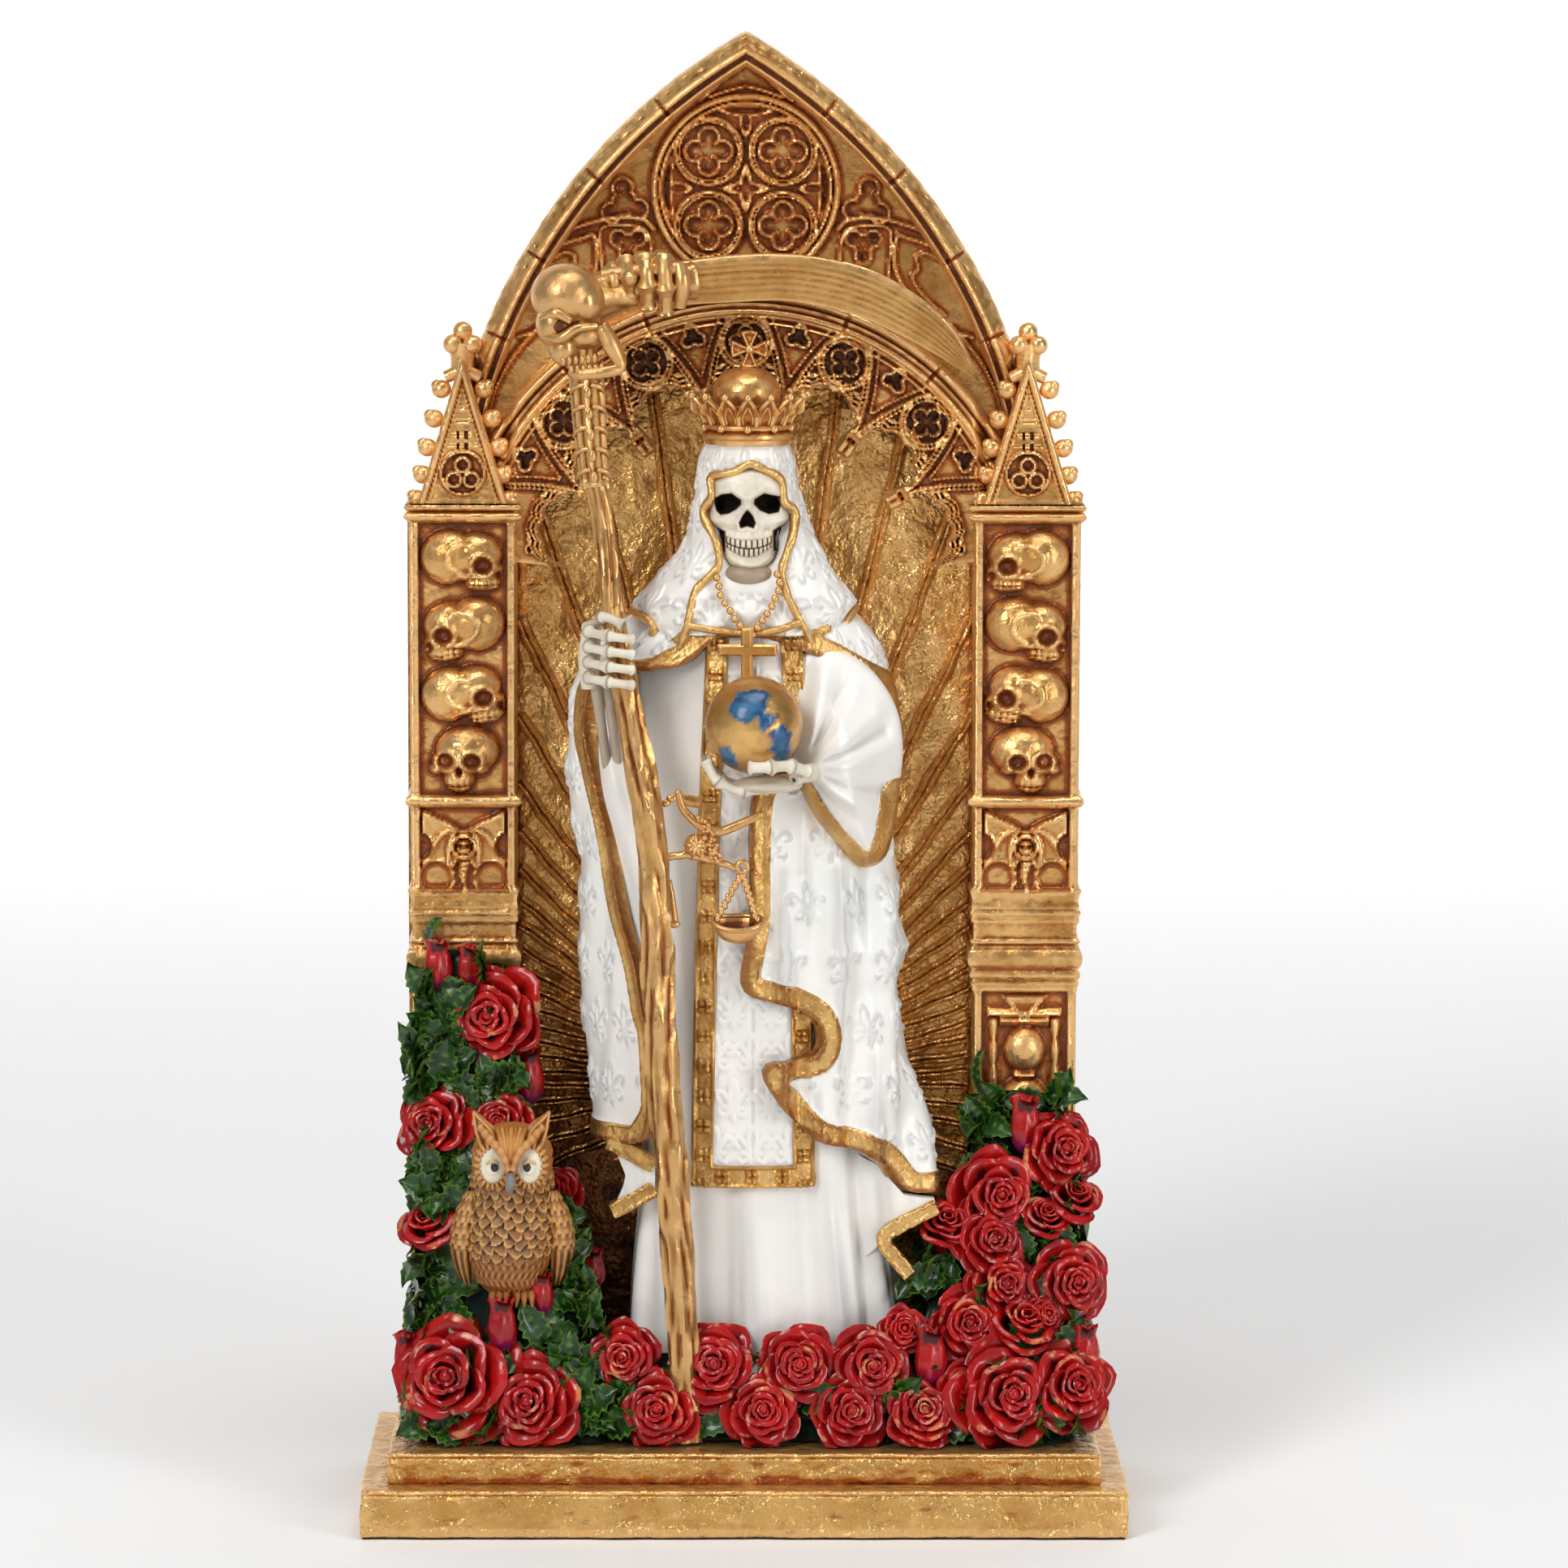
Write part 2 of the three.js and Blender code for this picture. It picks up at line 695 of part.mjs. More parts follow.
function crown() {
  const points = 12;
  const base = foot + unit * 199.6;
  const ring = (radius, rise, tooth) =>
    Array.from({ length: points }, (unused, k) => {
      const angle = (2 * Math.PI * k) / points;
      const up = rise + (k % 2 ? tooth : 0);
      const r = radius + (k % 2 ? tooth * 0.25 : 0);
      return new THREE.Vector3(unit * r * Math.cos(angle), unit * r * Math.sin(angle), base + unit * up);
    });
  const band = loft([ring(8.5, 0, 0), ring(8.7, 2.4, 0), ring(8, 3, 0), ring(11.2, 9, 2.4), ring(9.4, 7.6, 0)]);
  const orb = ball(7.5 * unit, 0, 0, base + 11.8 * unit, 8, 5);
  const cross = [
    block(-0.9 * unit, 0.9 * unit, -0.9 * unit, 0.9 * unit, base + 18 * unit, base + 25 * unit),
    block(-3 * unit, 3 * unit, -0.8 * unit, 0.8 * unit, base + 20.6 * unit, base + 22.6 * unit),
  ];
  return join(band, orb, cross);
}

// Fingers bent round the staff, and the forearm's two bones below them
function raisedHand() {
  const at = (x, y, h) => [unit * x, unit * y, foot + unit * h];
  const parts = [limb([at(-31.2, -12.4, 152), at(-31, -12.4, 164.5)], [2.8 * unit, 3 * unit], 5, 1)];
  for (let finger = 0; finger < 4; finger++) {
    const h = 153.6 + finger * 3;
    parts.push(
      limb(
        [at(-31.4, -14, h + 1), at(-30, -20.4, h + 0.6), at(-25.4, -23.2, h), at(-21.6, -20.8, h - 0.6)],
        [1.4, 1.45, 1.45, 1.4].map((r) => r * unit), 4, 3,
      ),
    );
  }
  for (const [x0, x1] of [[-30, -29.5], [-26.6, -25]]) {
    parts.push(limb([at(x1, -9, 136), at(x0, -12, 153)], [1.3 * unit, 1.2 * unit], 4, 1));
  }
  return cut(join(parts), staff(gap));
}

// The palm below the globe, with its fingers to the left and the wrist to the right
function openHand() {
  const at = (x, y, h) => [unit * x, unit * (globeDepth + y), foot + unit * h];
  const palm = [at(-1, 0, 132.2), at(5, 0.6, 131.8), at(13, 5, 136.4)];
  const parts = [limb(palm, [2.6, 3.2, 3.2].map((r) => r * unit), 6, 2)];
  for (let finger = 0; finger < 4; finger++) {
    const forward = -3.6 + finger * 2.5;
    parts.push(
      limb(
        [at(3, forward * 0.5, 132.6), at(-4, forward, 133.4), at(-7.8, forward, 138.2)],
        [1.2, 1.2, 1].map((r) => r * unit), 4, 2,
      ),
    );
  }
  return cut(join(parts), globeBall(gap));
}

function pendantCross() {
  const front = -16 * unit;
  const back = -10 * unit;
  const upright = block(-1.1 * unit, 1.1 * unit, front, back, foot + 156 * unit, foot + 165 * unit);
  const arms = block(-4.8 * unit, 5.2 * unit, front, back, foot + 159.4 * unit, foot + 161.6 * unit);
  return join(upright, arms);
}

function makeFigure() {
  const head = skull(
    14.8 * unit, 9, new THREE.Euler(0.04, 0, 0), new THREE.Vector3(0.4 * unit, -4.6 * unit, foot + 175.4 * unit), true,
  );
  const neck = limb([[0.3, 1, foot + 168 * unit], [0.3, -3, foot + 180 * unit]], [4, 3.6], 8, 1);
  const whole = join(
    alb(), mantle(), veil(), sleeves(), stole(), crown(), head, neck, raisedHand(), openHand(), pendantCross(),
  );
  const wallSpace = block(-60, 60, wallFront - rayHeight - gap, 60, 0, 400);
  return cut(whole, wallSpace);
}

// Scythe: the staff leans from the fist down to the front of the robe
function staff(outset) {
  const line = [
    [-32.2, -12.6, 238], [-30.4, -14, 216], [-28.2, -14.5, 200], [-26.4, -16.4, 183], [-23.2, -18.4, 165],
    [-20.4, -20, 150], [-18.4, -21, 134], [-17.4, -21.2, 112], [-16.4, -21.4, 94], [-14.6, -21.6, 70],
    [-12.8, -21.4, 44], [-11.4, -20.6, foot],
  ];
  const radii = [0.86, 0.8, 0.76, 0.8, 1.02, 1.08, 1.12, 1.14, 1.16, 1.12, 1.08, 1.1];
  const knots = (t, angle) => 1 + 0.07 * Math.sin(46 * t + 2 * angle) + 0.05 * Math.sin(3 * angle + 17 * t);
  const clearance = () => 1.24;
  const radiiHere = radii.map((r) => r * staffRadius + outset);
  return outset ? limb(line, radiiHere, 6, 8, clearance) : limb(line, radiiHere, 6, 14, knots);
}

function blade() {
  const top = [[-14, 252.8], [-3, 254.1], [6.7, 254.4], [16.4, 253.4], [26.2, 250.6], [35.9, 244.9], [42.4, 238.4], [46.8, 229.2]];
  const bottom = [[-14, 244], [-3, 244.6], [6.7, 245], [14.8, 244], [22.9, 241.7], [31, 238.1], [39.1, 233.6], [46, 228.6]];
  const middle = -3;
  const rings = top.map(([x, z], k) => {
    const thick = bladeThickness * (1 - k / 10);
    const [bx, bz] = bottom[k];
    const ridge = [THREE.MathUtils.lerp(x, bx, 0.3), THREE.MathUtils.lerp(z, bz, 0.3)];
    return [
      new THREE.Vector3(x, middle - thick * 0.3, z),
      new THREE.Vector3(ridge[0], middle - thick * 0.55, ridge[1]),
      new THREE.Vector3(bx, middle, bz),
      new THREE.Vector3(ridge[0], middle + thick * 0.55, ridge[1]),
      new THREE.Vector3(x, middle + thick * 0.3, z),
    ];
  });
  return loft(rings);
}

function makeScythe() {
  const knop = skull(12.4, 6, new THREE.Euler(0, -0.67, -0.6), new THREE.Vector3(-29, -12.6, 235), true);
  const collar = limb([[-31, -14, 228], [-30.6, -14, 214], [-30, -14, 209]], [3.3, 3.1, 2.2], 6, 2);
  const socket = limb([[-33, -10, 245.5], [-24, -6, 247.5], [-10, -3.4, 249.2]], [4.6, 3.8, 3.6], 6, 2);
  const knuckles = [];
  for (let k = 0; k < 4; k++) {
    const x = -22.4 + k * 2.8;
    knuckles.push(limb([[x, -5, 252.6], [x + 0.4, -9.6, 250.8], [x + 0.6, -7.4, 245.6]], [1.2, 1.35, 1.2], 4, 2));
  }
  const whole = join(staff(0), collar, knop, socket, knuckles, blade());
  const tracerySpace = block(-80, 80, archFront - gap, 60, foot + columnHeight + 4, apex);
  return cut(whole, tracerySpace);
}

function globeBall(outset) {
  return ball((globeRadius + outset) * (outset ? 1.02 : 1), 1.7 * unit, globeDepth * unit, foot + 145.5 * unit, 12, 8);
}

// Scales: an ornate beam with its pivot, two chains of rods and a boat-shaped pan
function makeScales() {
  const y = -18.2;
  const rod = (points, radius) => limb(points, points.map(() => radius), 4, points.length - 1);
  const thick = scalesThickness / 2;
  const beam = rod([[-13, y, 147], [-10.4, y, 142.4], [-5.6, y, 140], [-1, y, 140.6], [2.6, y, 143]], thick * 1.2);
  const pivot = ball(2.6, -9.2, y, 137.4, 6, 3);
  const neck = rod([[-9.4, y, 141.4], [-9.2, y, 136]], thick * 1.3);
  const arm = rod([[-15, y, 134.4], [-9, y, 135], [-4, y, 133.6], [-0.6, y, 132.8]], thick);
  const chain = (x) => rod([[-0.6, y, 133], [x, y, 121.6]], thick * 0.7);
  const bowl = new THREE.LatheGeometry(
    [[0, -3.4], [3, -2.8], [5.2, 0.6], [4.2, 0.6], [0, -1.8]].map(
      ([r, z]) => new THREE.Vector2(r, z),
    ),
    8,
  );
  bowl.rotateX(Math.PI / 2);
  bowl.scale(1, 0.45, 1);
  bowl.translate(-1, y - 0.4, 121.4);
  return join(beam, pivot, neck, arm, chain(-5.4), chain(3.6), solid(bowl));
}

// Owl: stations as shares of its height, left, right, front and back
function owlBody(outset) {
  const h = owlHeight;
  const rows = [
    [0.02, -0.12, 0.1, -0.1, 0.12],
    [0.12, -0.24, 0.2, -0.2, 0.2],
    [0.3, -0.34, 0.3, -0.27, 0.28],
    [0.48, -0.35, 0.33, -0.27, 0.28],
    [0.62, -0.27, 0.27, -0.21, 0.24],
    [0.74, -0.26, 0.26, -0.25, 0.2],
    [0.86, -0.27, 0.27, -0.26, 0.2],
    [0.96, -0.18, 0.18, -0.14, 0.12],
  ];
  const sides = 7;
  const rings = rows.map(([up, left, right, front, back]) =>
    Array.from({ length: sides }, (unused, k) => {
      const angle = (2 * Math.PI * k) / sides;
      const middle = owlPlace(left / 2 + right / 2, front / 2 + back / 2, up);
      return middle.add(
        new THREE.Vector3(
          ((h * (right - left)) / 2 + outset) * Math.cos(angle),
          ((h * (back - front)) / 2 + outset) * Math.sin(angle),
          0,
        ),
      );
    }),
  );
  return loft(rings);
}

function owlPlace(across, deep, up) {
  return new THREE.Vector3(owlAcross + across * owlHeight, owlDepth + deep * owlHeight, foot + owlPerch + up * owlHeight);
}

// What stands out of the owl's body: ears, eye discs, wings, feet and beak
function owlTrim(outset) {
  const h = owlHeight;
  const size = (share) => share * h + 3 * outset;
  const parts = [];
  for (const side of [-1, 1]) {
    const ear = new THREE.Euler(-0.2, side * 0.5, 0);
    parts.push(lozenge(size(0.36), size(0.13), size(0.12), owlPlace(side * 0.17, -0.1, 0.97), ear));
    const eye = owlPlace(side * 0.12, -0.2, 0.79);
    parts.push(ball(size(0.115), eye.x, eye.y, eye.z, 6, 4));
    const wing = new THREE.Euler(0, side * -0.12, 0);
    parts.push(lozenge(size(0.5), size(0.16), size(0.34), owlPlace(side * 0.31, 0.03, 0.34), wing));
    const claw = owlPlace(side * 0.08, -0.12, 0.03);
    parts.push(ball(size(0.055), claw.x, claw.y, claw.z, 5, 3));
  }
  parts.push(lozenge(size(0.12), size(0.07), size(0.14), owlPlace(0, -0.28, 0.73), new THREE.Euler(0.3, 0, 0)));
  return parts;
}

function makeOwl() {
  return join(owlBody(0), owlTrim(0));
}

// One open rose, facing along a direction
function rose(x, y, up, radius, sides) {
  const levels = [
    [-0.9, 0.4, 0],
    [0.1, 1, 0.04],
    [0.5, 0.5, -0.04],
  ];
  const facing = new THREE.Vector3(x * 0.004, -1, 0.34).normalize();
  const turn = new THREE.Quaternion().setFromUnitVectors(new THREE.Vector3(0, 0, 1), facing);
  const rings = levels.map(([out, share, wave]) =>
    Array.from({ length: sides }, (unused, k) => {
      const angle = (2 * Math.PI * k) / sides + x;
      const r = radius * (share + (k % 2 ? wave : -wave));
      const point = new THREE.Vector3(r * Math.cos(angle), r * Math.sin(angle), radius * out);
      return point.applyQuaternion(turn).add(new THREE.Vector3(x, y, foot + up));
    }),
  );
  return loft(rings);
}

// Open roses: place across, depth, height above the plinth and radius
const openRoses = [
  [-51.2, -1, 83.2, 8.2], [-63.2, -6, 62, 6.6], [-49.3, -3, 62.3, 4.9], [-64.1, -12, 41.2, 5.2],
  [-58.6, -20, 12.8, 11.4], [-42.9, -24, 9.4, 8.8], [-24.3, -20, 17.2, 6.5], [-38.3, -2, 47.8, 4],
  [-6.2, -20, 15.4, 8.1], [-17.3, -24, 7.6, 7.8], [3.7, -24, 7.6, 7.2], [10.9, -21, 15.6, 7.3],
  [21.4, -24, 7.6, 7.2], [25.6, -21, 15.5, 7.8], [35.7, -24, 7.6, 6.5], [52.9, -22, 10.4, 9.3],
  [66, -20, 11.4, 7.3], [32, -18, 22.5, 3.8], [44.9, -16, 24, 5.7], [56.2, -16, 23, 5.7],
  [52.4, -14, 31.2, 5.4], [51.6, -10, 39.9, 5.7], [41.2, -8, 41.9, 4.8], [51.2, -6, 47.7, 7.1],
  [64.4, -1, 56.4, 6], [61.1, -8, 43.3, 4.4], [66.6, -5, 46.9, 4.6], [65.6, -11.5, 30.7, 6.2],
];

// Closed buds: place across, depth, height and radius
const buds = [
  [-62.3, 3, 93.5, 2.8], [-55.9, 3, 92.7, 2.4], [-44.4, 1, 71.4, 3], [-48.8, -19, 24.6, 3.1],
  [-31.5, -6, 32.5, 2.6], [57, 0, 62, 2.8], [36.9, -20, 18.9, 3.2], [67.6, -17, 18.4, 2.6],
];

// Stations of the leafy banks: height, left, right, front and back
const leftBank = [
  [0.2, -68, -21, -24, 17],
  [14, -68, -24, -20, 16],
  [26, -68, -30, -15, 14],
  [44, -68, -37, -10, 12],
  [66, -68, -46, -4, 12],
  [84, -68, -48, 0, 12],
  [95, -65, -54, 3, 12],
];
const rightBank = [
  [0.2, 36, 69, -24, 17],
  [22, 34, 69, -15, 16],
  [40, 37, 69, -6, 14],
  [52, 44, 68, 0, 12],
  [66, 48, 64, 4, 12],
];
const frontBank = [
  [0.2, -66, 66, -22, -14],
  [8, -66, 66, -21, -13],
  [16, -60, 60, -18, -13],
];

function makeRoses() {
  const scaled = (table) => table.map((row) => row.map((value) => value / unit));
  const pieces = [
    draped(scaled(leftBank), 4, 6, { power: 0.45 }),
    draped(scaled(rightBank), 3, 6, { power: 0.45 }),
    draped(scaled(frontBank), 1, 6, { power: 0.3 }),
  ];
  for (const [k, [x, y, up, radius]] of openRoses.entries()) {
    pieces.push(rose(x, y, up, radius, petalCount));
    if (k % leafEvery) continue;
    const angle = x * 2.4;
    const place = new THREE.Vector3(
      x + 0.95 * radius * Math.cos(angle), y + 2, foot + up + 0.9 * radius * Math.abs(Math.sin(angle)),
    );
    pieces.push(lozenge(7.5, 4, 2.2, place, new THREE.Euler(0.3, Math.cos(angle), 0)));
  }
  for (const [x, y, up, radius] of buds) {
    const stem = [x * 0.99, y + 3, foot + up - 3 * radius];
    pieces.push(limb([stem, [x, y, foot + up], [x, y - 0.6, foot + up + radius]], [0.5, 1, 0.6].map((r) => r * radius), 4, 2));
  }
  const bed = join(pieces);
  const columnSpace = [-1, 1].map((side) => {
    const half = columnWidth / 2 + 1.4 + gap;
    const middle = side * columnCentre;
    return block(middle - half, middle + half, columnFront - 1.4 - gap, 60, 0, foot + columnHeight);
  });
  const wallSpace = block(-90, 90, wallFront - rayHeight - gap, 90, 0, 400);
  const below = block(-200, 200, -100, 100, -50, foot);
  const figureSpace = [draped(albStations, 2, 10, { outset: 2.4 + gap }), draped(mantleStations.slice(0, 4), 1, 10, { outset: 1.6 })];
  return cut(bed, columnSpace, wallSpace, below, figureSpace, staff(gap), owlBody(gap), owlTrim(gap));
}

const gold = { color: 0xb8842f, roughness: 0.35, metalness: 0.9 };
const finishes = {
  plinth: gold,
  shrine: gold,
  figure: { color: 0xece9e4, roughness: 0.4, metalness: 0 },
  scythe: gold,
  globe: gold,
  scales: { color: 0xa9682f, roughness: 0.4, metalness: 0.8 },
  owl: { color: 0x9c6a35, roughness: 0.6, metalness: 0 },
  roses: { color: 0x9c1518, roughness: 0.3, metalness: 0 },
};

function named(name, body) {
  const { numProp, vertProperties, triVerts } = body.getMesh();
  const geometry = new THREE.BufferGeometry();
  const positions = new Float32Array((vertProperties.length / numProp) * 3);
  for (let v = 0; v < positions.length / 3; v++) {
    positions.set(vertProperties.subarray(v * numProp, v * numProp + 3), v * 3);
  }
  geometry.setAttribute("position", new THREE.BufferAttribute(positions, 3));
  geometry.setIndex(new THREE.BufferAttribute(new Uint32Array(triVerts), 1));
  geometry.computeVertexNormals();
  const mesh = new THREE.Mesh(geometry, new THREE.MeshStandardMaterial(finishes[name]));
  mesh.name = name;
  return mesh;
}

const statuette = new THREE.Group();
statuette.add(named("plinth", makePlinth()));
statuette.add(named("shrine", makeShrine()));
statuette.add(named("figure", makeFigure()));
statuette.add(named("scythe", makeScythe()));
statuette.add(named("globe", globeBall(0)));
statuette.add(named("scales", makeScales()));
statuette.add(named("owl", makeOwl()));
statuette.add(named("roses", makeRoses()));

export default statuette;
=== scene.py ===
# %% [markdown]
# # Dressing a moulded shrine figure
# The real piece is a cast: resin poured into moulds, glued together and painted by hand. Its solids are
# already made and packed. They give every size, and they stay hidden under the pieces made here. Each
# step makes one part of the casting as a fine mesh and paints it with nodes, from the back to the front.

import math

import bpy
import numpy as np
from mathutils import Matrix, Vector


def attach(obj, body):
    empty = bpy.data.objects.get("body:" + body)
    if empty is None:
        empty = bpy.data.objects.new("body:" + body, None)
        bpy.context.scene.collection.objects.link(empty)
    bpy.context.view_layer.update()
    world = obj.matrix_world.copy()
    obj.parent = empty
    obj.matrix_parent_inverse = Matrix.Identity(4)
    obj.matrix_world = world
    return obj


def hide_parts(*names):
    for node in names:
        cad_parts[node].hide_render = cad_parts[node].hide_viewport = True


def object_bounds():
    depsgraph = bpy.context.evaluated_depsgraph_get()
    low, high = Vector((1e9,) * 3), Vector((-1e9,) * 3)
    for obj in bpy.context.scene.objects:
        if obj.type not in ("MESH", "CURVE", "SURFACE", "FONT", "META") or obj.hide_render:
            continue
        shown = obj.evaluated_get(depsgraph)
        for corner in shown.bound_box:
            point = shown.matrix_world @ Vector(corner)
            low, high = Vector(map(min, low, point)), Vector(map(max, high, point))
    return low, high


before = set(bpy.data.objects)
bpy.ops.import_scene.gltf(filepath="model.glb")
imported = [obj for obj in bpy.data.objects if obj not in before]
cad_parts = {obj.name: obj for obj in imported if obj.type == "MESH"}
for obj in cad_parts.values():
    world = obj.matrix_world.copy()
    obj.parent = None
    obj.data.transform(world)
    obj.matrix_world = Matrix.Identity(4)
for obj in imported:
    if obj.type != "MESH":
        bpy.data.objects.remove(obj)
cad_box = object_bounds()
MM = 0.001
CAD_TOP = cad_box[1][2] / MM
print("solids reach from", cad_box[0], "to", cad_box[1])

# %% [markdown]
# ## A lump of clay to gather shapes in
# Moulded ornament is many small shapes pressed into one. `Clay` gathers points and faces in millimetres,
# turns each shape so that its faces look outwards, and carries painted marks such as how golden a point
# is. A mesh could be edited vertex by vertex, but building it from arrays is much quicker.

# %% Clay
def face_normals(points, faces):
    corners = points[faces]
    return np.cross(corners[:, 1] - corners[:, 0], corners[:, 2] - corners[:, 1])


def grid(rows, cols, wrap=False):
    """Four-cornered faces over rows of points. wrap joins the last column to the first."""
    index = np.arange(rows * cols).reshape(rows, cols)
    if wrap:
        index = np.hstack([index, index[:, :1]])
    return np.stack([index[:-1, :-1], index[:-1, 1:], index[1:, 1:], index[1:, :-1]], -1).reshape(-1, 4)


class Clay:
    def __init__(self):
        self.points, self.faces, self.marks, self.count = [], [], [], 0

    def gather(self, points, face_sets, marks):
        self.points.append(points)
        self.faces += [faces + self.count for faces in face_sets]
        self.marks.append({name: np.broadcast_to(value, len(points)) for name, value in marks.items()})
        self.count += len(points)

    def add(self, points, faces, towards=None, **marks):
        """Adds a shape with its faces outwards, or towards a direction."""
        points = np.asarray(points, float).reshape(-1, 3)
        aim = points[faces].mean(1) - points.mean(0) if towards is None else np.array(towards)
        turned_in = (face_normals(points, faces) * aim).sum() < 0
        self.gather(points, [faces[:, ::-1] if turned_in else faces], marks)


print("a net of 3 by 4 points has", len(grid(3, 4)), "faces")

# %% [markdown]
# ## Where paint gathers
# Wash lies in hollows and is wiped off edges, and painted shade is laid in the same hollows. A mesh knows
# where its hollows are: each point is compared with the average of its neighbours, taken a few times
# over. A few rounds find thin grooves (`hollow`), and five times as many find broad ones (`deep`). Both
# become attributes that the paint nodes read.

# %% Marks for wash and painted shade, and the finished piece
def hollows(mesh, points, rounds, reach):
    """How far each point lies below its smoothed surroundings: positive in hollows, negative on edges."""
    edges = np.empty(len(mesh.edges) * 2, np.int32)
    mesh.edges.foreach_get("vertices", edges)
    first, second = edges.reshape(-1, 2).T
    normals = np.empty(len(points) * 3)
    mesh.vertices.foreach_get("normal", normals)
    n = len(points)
    degree = np.maximum(np.bincount(first, minlength=n) + np.bincount(second, minlength=n), 1)
    smooth = points.copy()
    for _ in range(rounds):
        sums = [
            np.bincount(first, smooth[second, k], n) + np.bincount(second, smooth[first, k], n) for k in range(3)
        ]
        smooth = np.stack(sums, 1) / degree[:, None]
    return np.clip(((smooth - points) * normals.reshape(-1, 3)).sum(1) / reach, -1, 1)


def piece(name, clay, node, finish, sharp=48, rounds=8, reach=0.22):
    """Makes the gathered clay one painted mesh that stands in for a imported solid."""
    points = np.concatenate(clay.points)
    corners = np.concatenate([faces.ravel() for faces in clay.faces]).astype(np.int32)
    sizes = np.concatenate([np.full(len(faces), faces.shape[1]) for faces in clay.faces])
    mesh = bpy.data.meshes.new(name)
    mesh.vertices.add(len(points))
    mesh.vertices.foreach_set("co", (points * MM).ravel())
    mesh.loops.add(len(corners))
    mesh.loops.foreach_set("vertex_index", corners)
    mesh.polygons.add(len(sizes))
    mesh.polygons.foreach_set("loop_start", (np.cumsum(sizes) - sizes).astype(np.int32))
    mesh.update(calc_edges=True)
    mesh.polygons.foreach_set("use_smooth", np.ones(len(sizes), bool))
    mesh.set_sharp_from_angle(angle=math.radians(sharp))
    marks = {"hollow": hollows(mesh, points, rounds, reach), "deep": hollows(mesh, points, 5 * rounds, 3 * reach)}
    for mark in sorted({key for part in clay.marks for key in part}):
        parts = [part.get(mark, np.zeros(len(p))) for part, p in zip(clay.marks, clay.points)]
        marks[mark] = np.concatenate(parts)
    for mark, values in marks.items():
        layer = mesh.attributes.new(mark, "FLOAT", "POINT")
        layer.data.foreach_set("value", np.ascontiguousarray(values, np.float32))
    mesh.materials.append(finish)
    made = bpy.data.objects.new(name, mesh)
    bpy.context.scene.collection.objects.link(made)
    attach(made, "root")
    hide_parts(node)
    print(name, "has", int((sizes - 2).sum()), "triangles")


# %% [markdown]
# ## Ways to shape: rods and balls
# Half of the ornament is rods and balls: fingers, chains, ribs, crockets. A rod is rings of points round
# a smooth curve through a few places, thick or thin along the way. A function called `swell` can carve
# its skin.

# %% Rods and balls
def smooth_step(value, low, high):
    t = np.clip((value - low) / (high - low), 0, 1)
    return t * t * (3 - 2 * t)


def bell(distance, width):
    """1 on the spot, falling softly to 0 a few widths away."""
    return np.exp(-((distance / width) ** 2))


def at(x, y, z):
    """Points from three coordinates, each an array or one number."""
    return np.stack(np.broadcast_arrays(x, y, z), -1)


def curve_points(points, count):
    """A smooth curve through the given places, as count evenly spread points."""
    points = np.asarray(points, float)
    ends = np.vstack([2 * points[0] - points[1], points, 2 * points[-1] - points[-2]])
    t = np.linspace(0, 1, 24, endpoint=False)[:, None]
    fine = []
    for k in range(1, len(ends) - 2):
        a, b, c, d = ends[k - 1 : k + 3]
        fine.append(
            0.5 * (2 * b + (c - a) * t + (2 * a - 5 * b + 4 * c - d) * t**2 + (3 * b - a - 3 * c + d) * t**3)
        )
    fine = np.vstack(fine + [points[-1:]])
    far = np.concatenate([[0], np.cumsum(np.linalg.norm(np.diff(fine, axis=0), axis=1))])
    even = np.linspace(0, far[-1], count)
    return np.stack([np.interp(even, far, fine[:, k]) for k in range(3)], 1)


def add_tube(clay, path, radii, sides=12, squash=1, swell=None, **marks):
    """Rings of points round a path, closed at both ends. swell(t, angle) shapes the skin."""
    path = np.asarray(path, float)
    n = len(path)
    along = np.gradient(path, axis=0)
    along /= np.linalg.norm(along, axis=1)[:, None] + 1e-9
    guide = np.array([0, 1, 0.01]) if abs(along[:, 1]).mean() < 0.8 else np.array([1, 0, 0.01])
    side = np.cross(guide, along)
    side /= np.linalg.norm(side, axis=1)[:, None] + 1e-9
    other = np.cross(along, side)
    share = np.linspace(0, 1, n)
    angle = np.linspace(0, 2 * np.pi, sides, endpoint=False)
    radius = np.interp(share, np.linspace(0, 1, len(radii)), radii)[:, None] * np.ones(sides)
    if swell is not None:
        radius = radius * swell(share[:, None], angle[None, :])
    rings = path[:, None] + (radius * np.cos(angle))[..., None] * side[:, None]
    rings = rings + squash * (radius * np.sin(angle))[..., None] * other[:, None]
    points = np.vstack([rings.reshape(-1, 3), path[:1], path[-1:]])
    ring = np.arange(sides)
    ahead = np.roll(ring, -1)
    start = np.stack([ring, ahead, np.full(sides, n * sides)], 1)
    end = np.stack([(n - 1) * sides + ahead, (n - 1) * sides + ring, np.full(sides, n * sides + 1)], 1)
    face_sets = [grid(n, sides, wrap=True), start, end]
    outwards = points[face_sets[0]].mean(1) - np.repeat(path[:-1], sides, 0)
    if (face_normals(points, face_sets[0]) * outwards).sum() < 0:
        face_sets = [faces[:, ::-1] for faces in face_sets]
    clay.gather(points, face_sets, marks)


def rod(clay, places, count, radii, sides=12, **options):
    add_tube(clay, curve_points(places, count), radii, sides, **options)


def ball_shell(around, up, pole=0):
    v = np.linspace(pole, np.pi - pole, up + 1)[:, None]
    u = np.linspace(0, 2 * np.pi, around, endpoint=False)[None, :]
    return at(np.sin(v) * np.cos(u), np.sin(v) * np.sin(u), np.cos(v))


def egg(clay, centre, radii, around=16, up=10, **marks):
    points = np.asarray(centre) + ball_shell(around, up).reshape(-1, 3) * np.broadcast_to(radii, 3)
    clay.add(points, grid(up + 1, around, wrap=True), **marks)


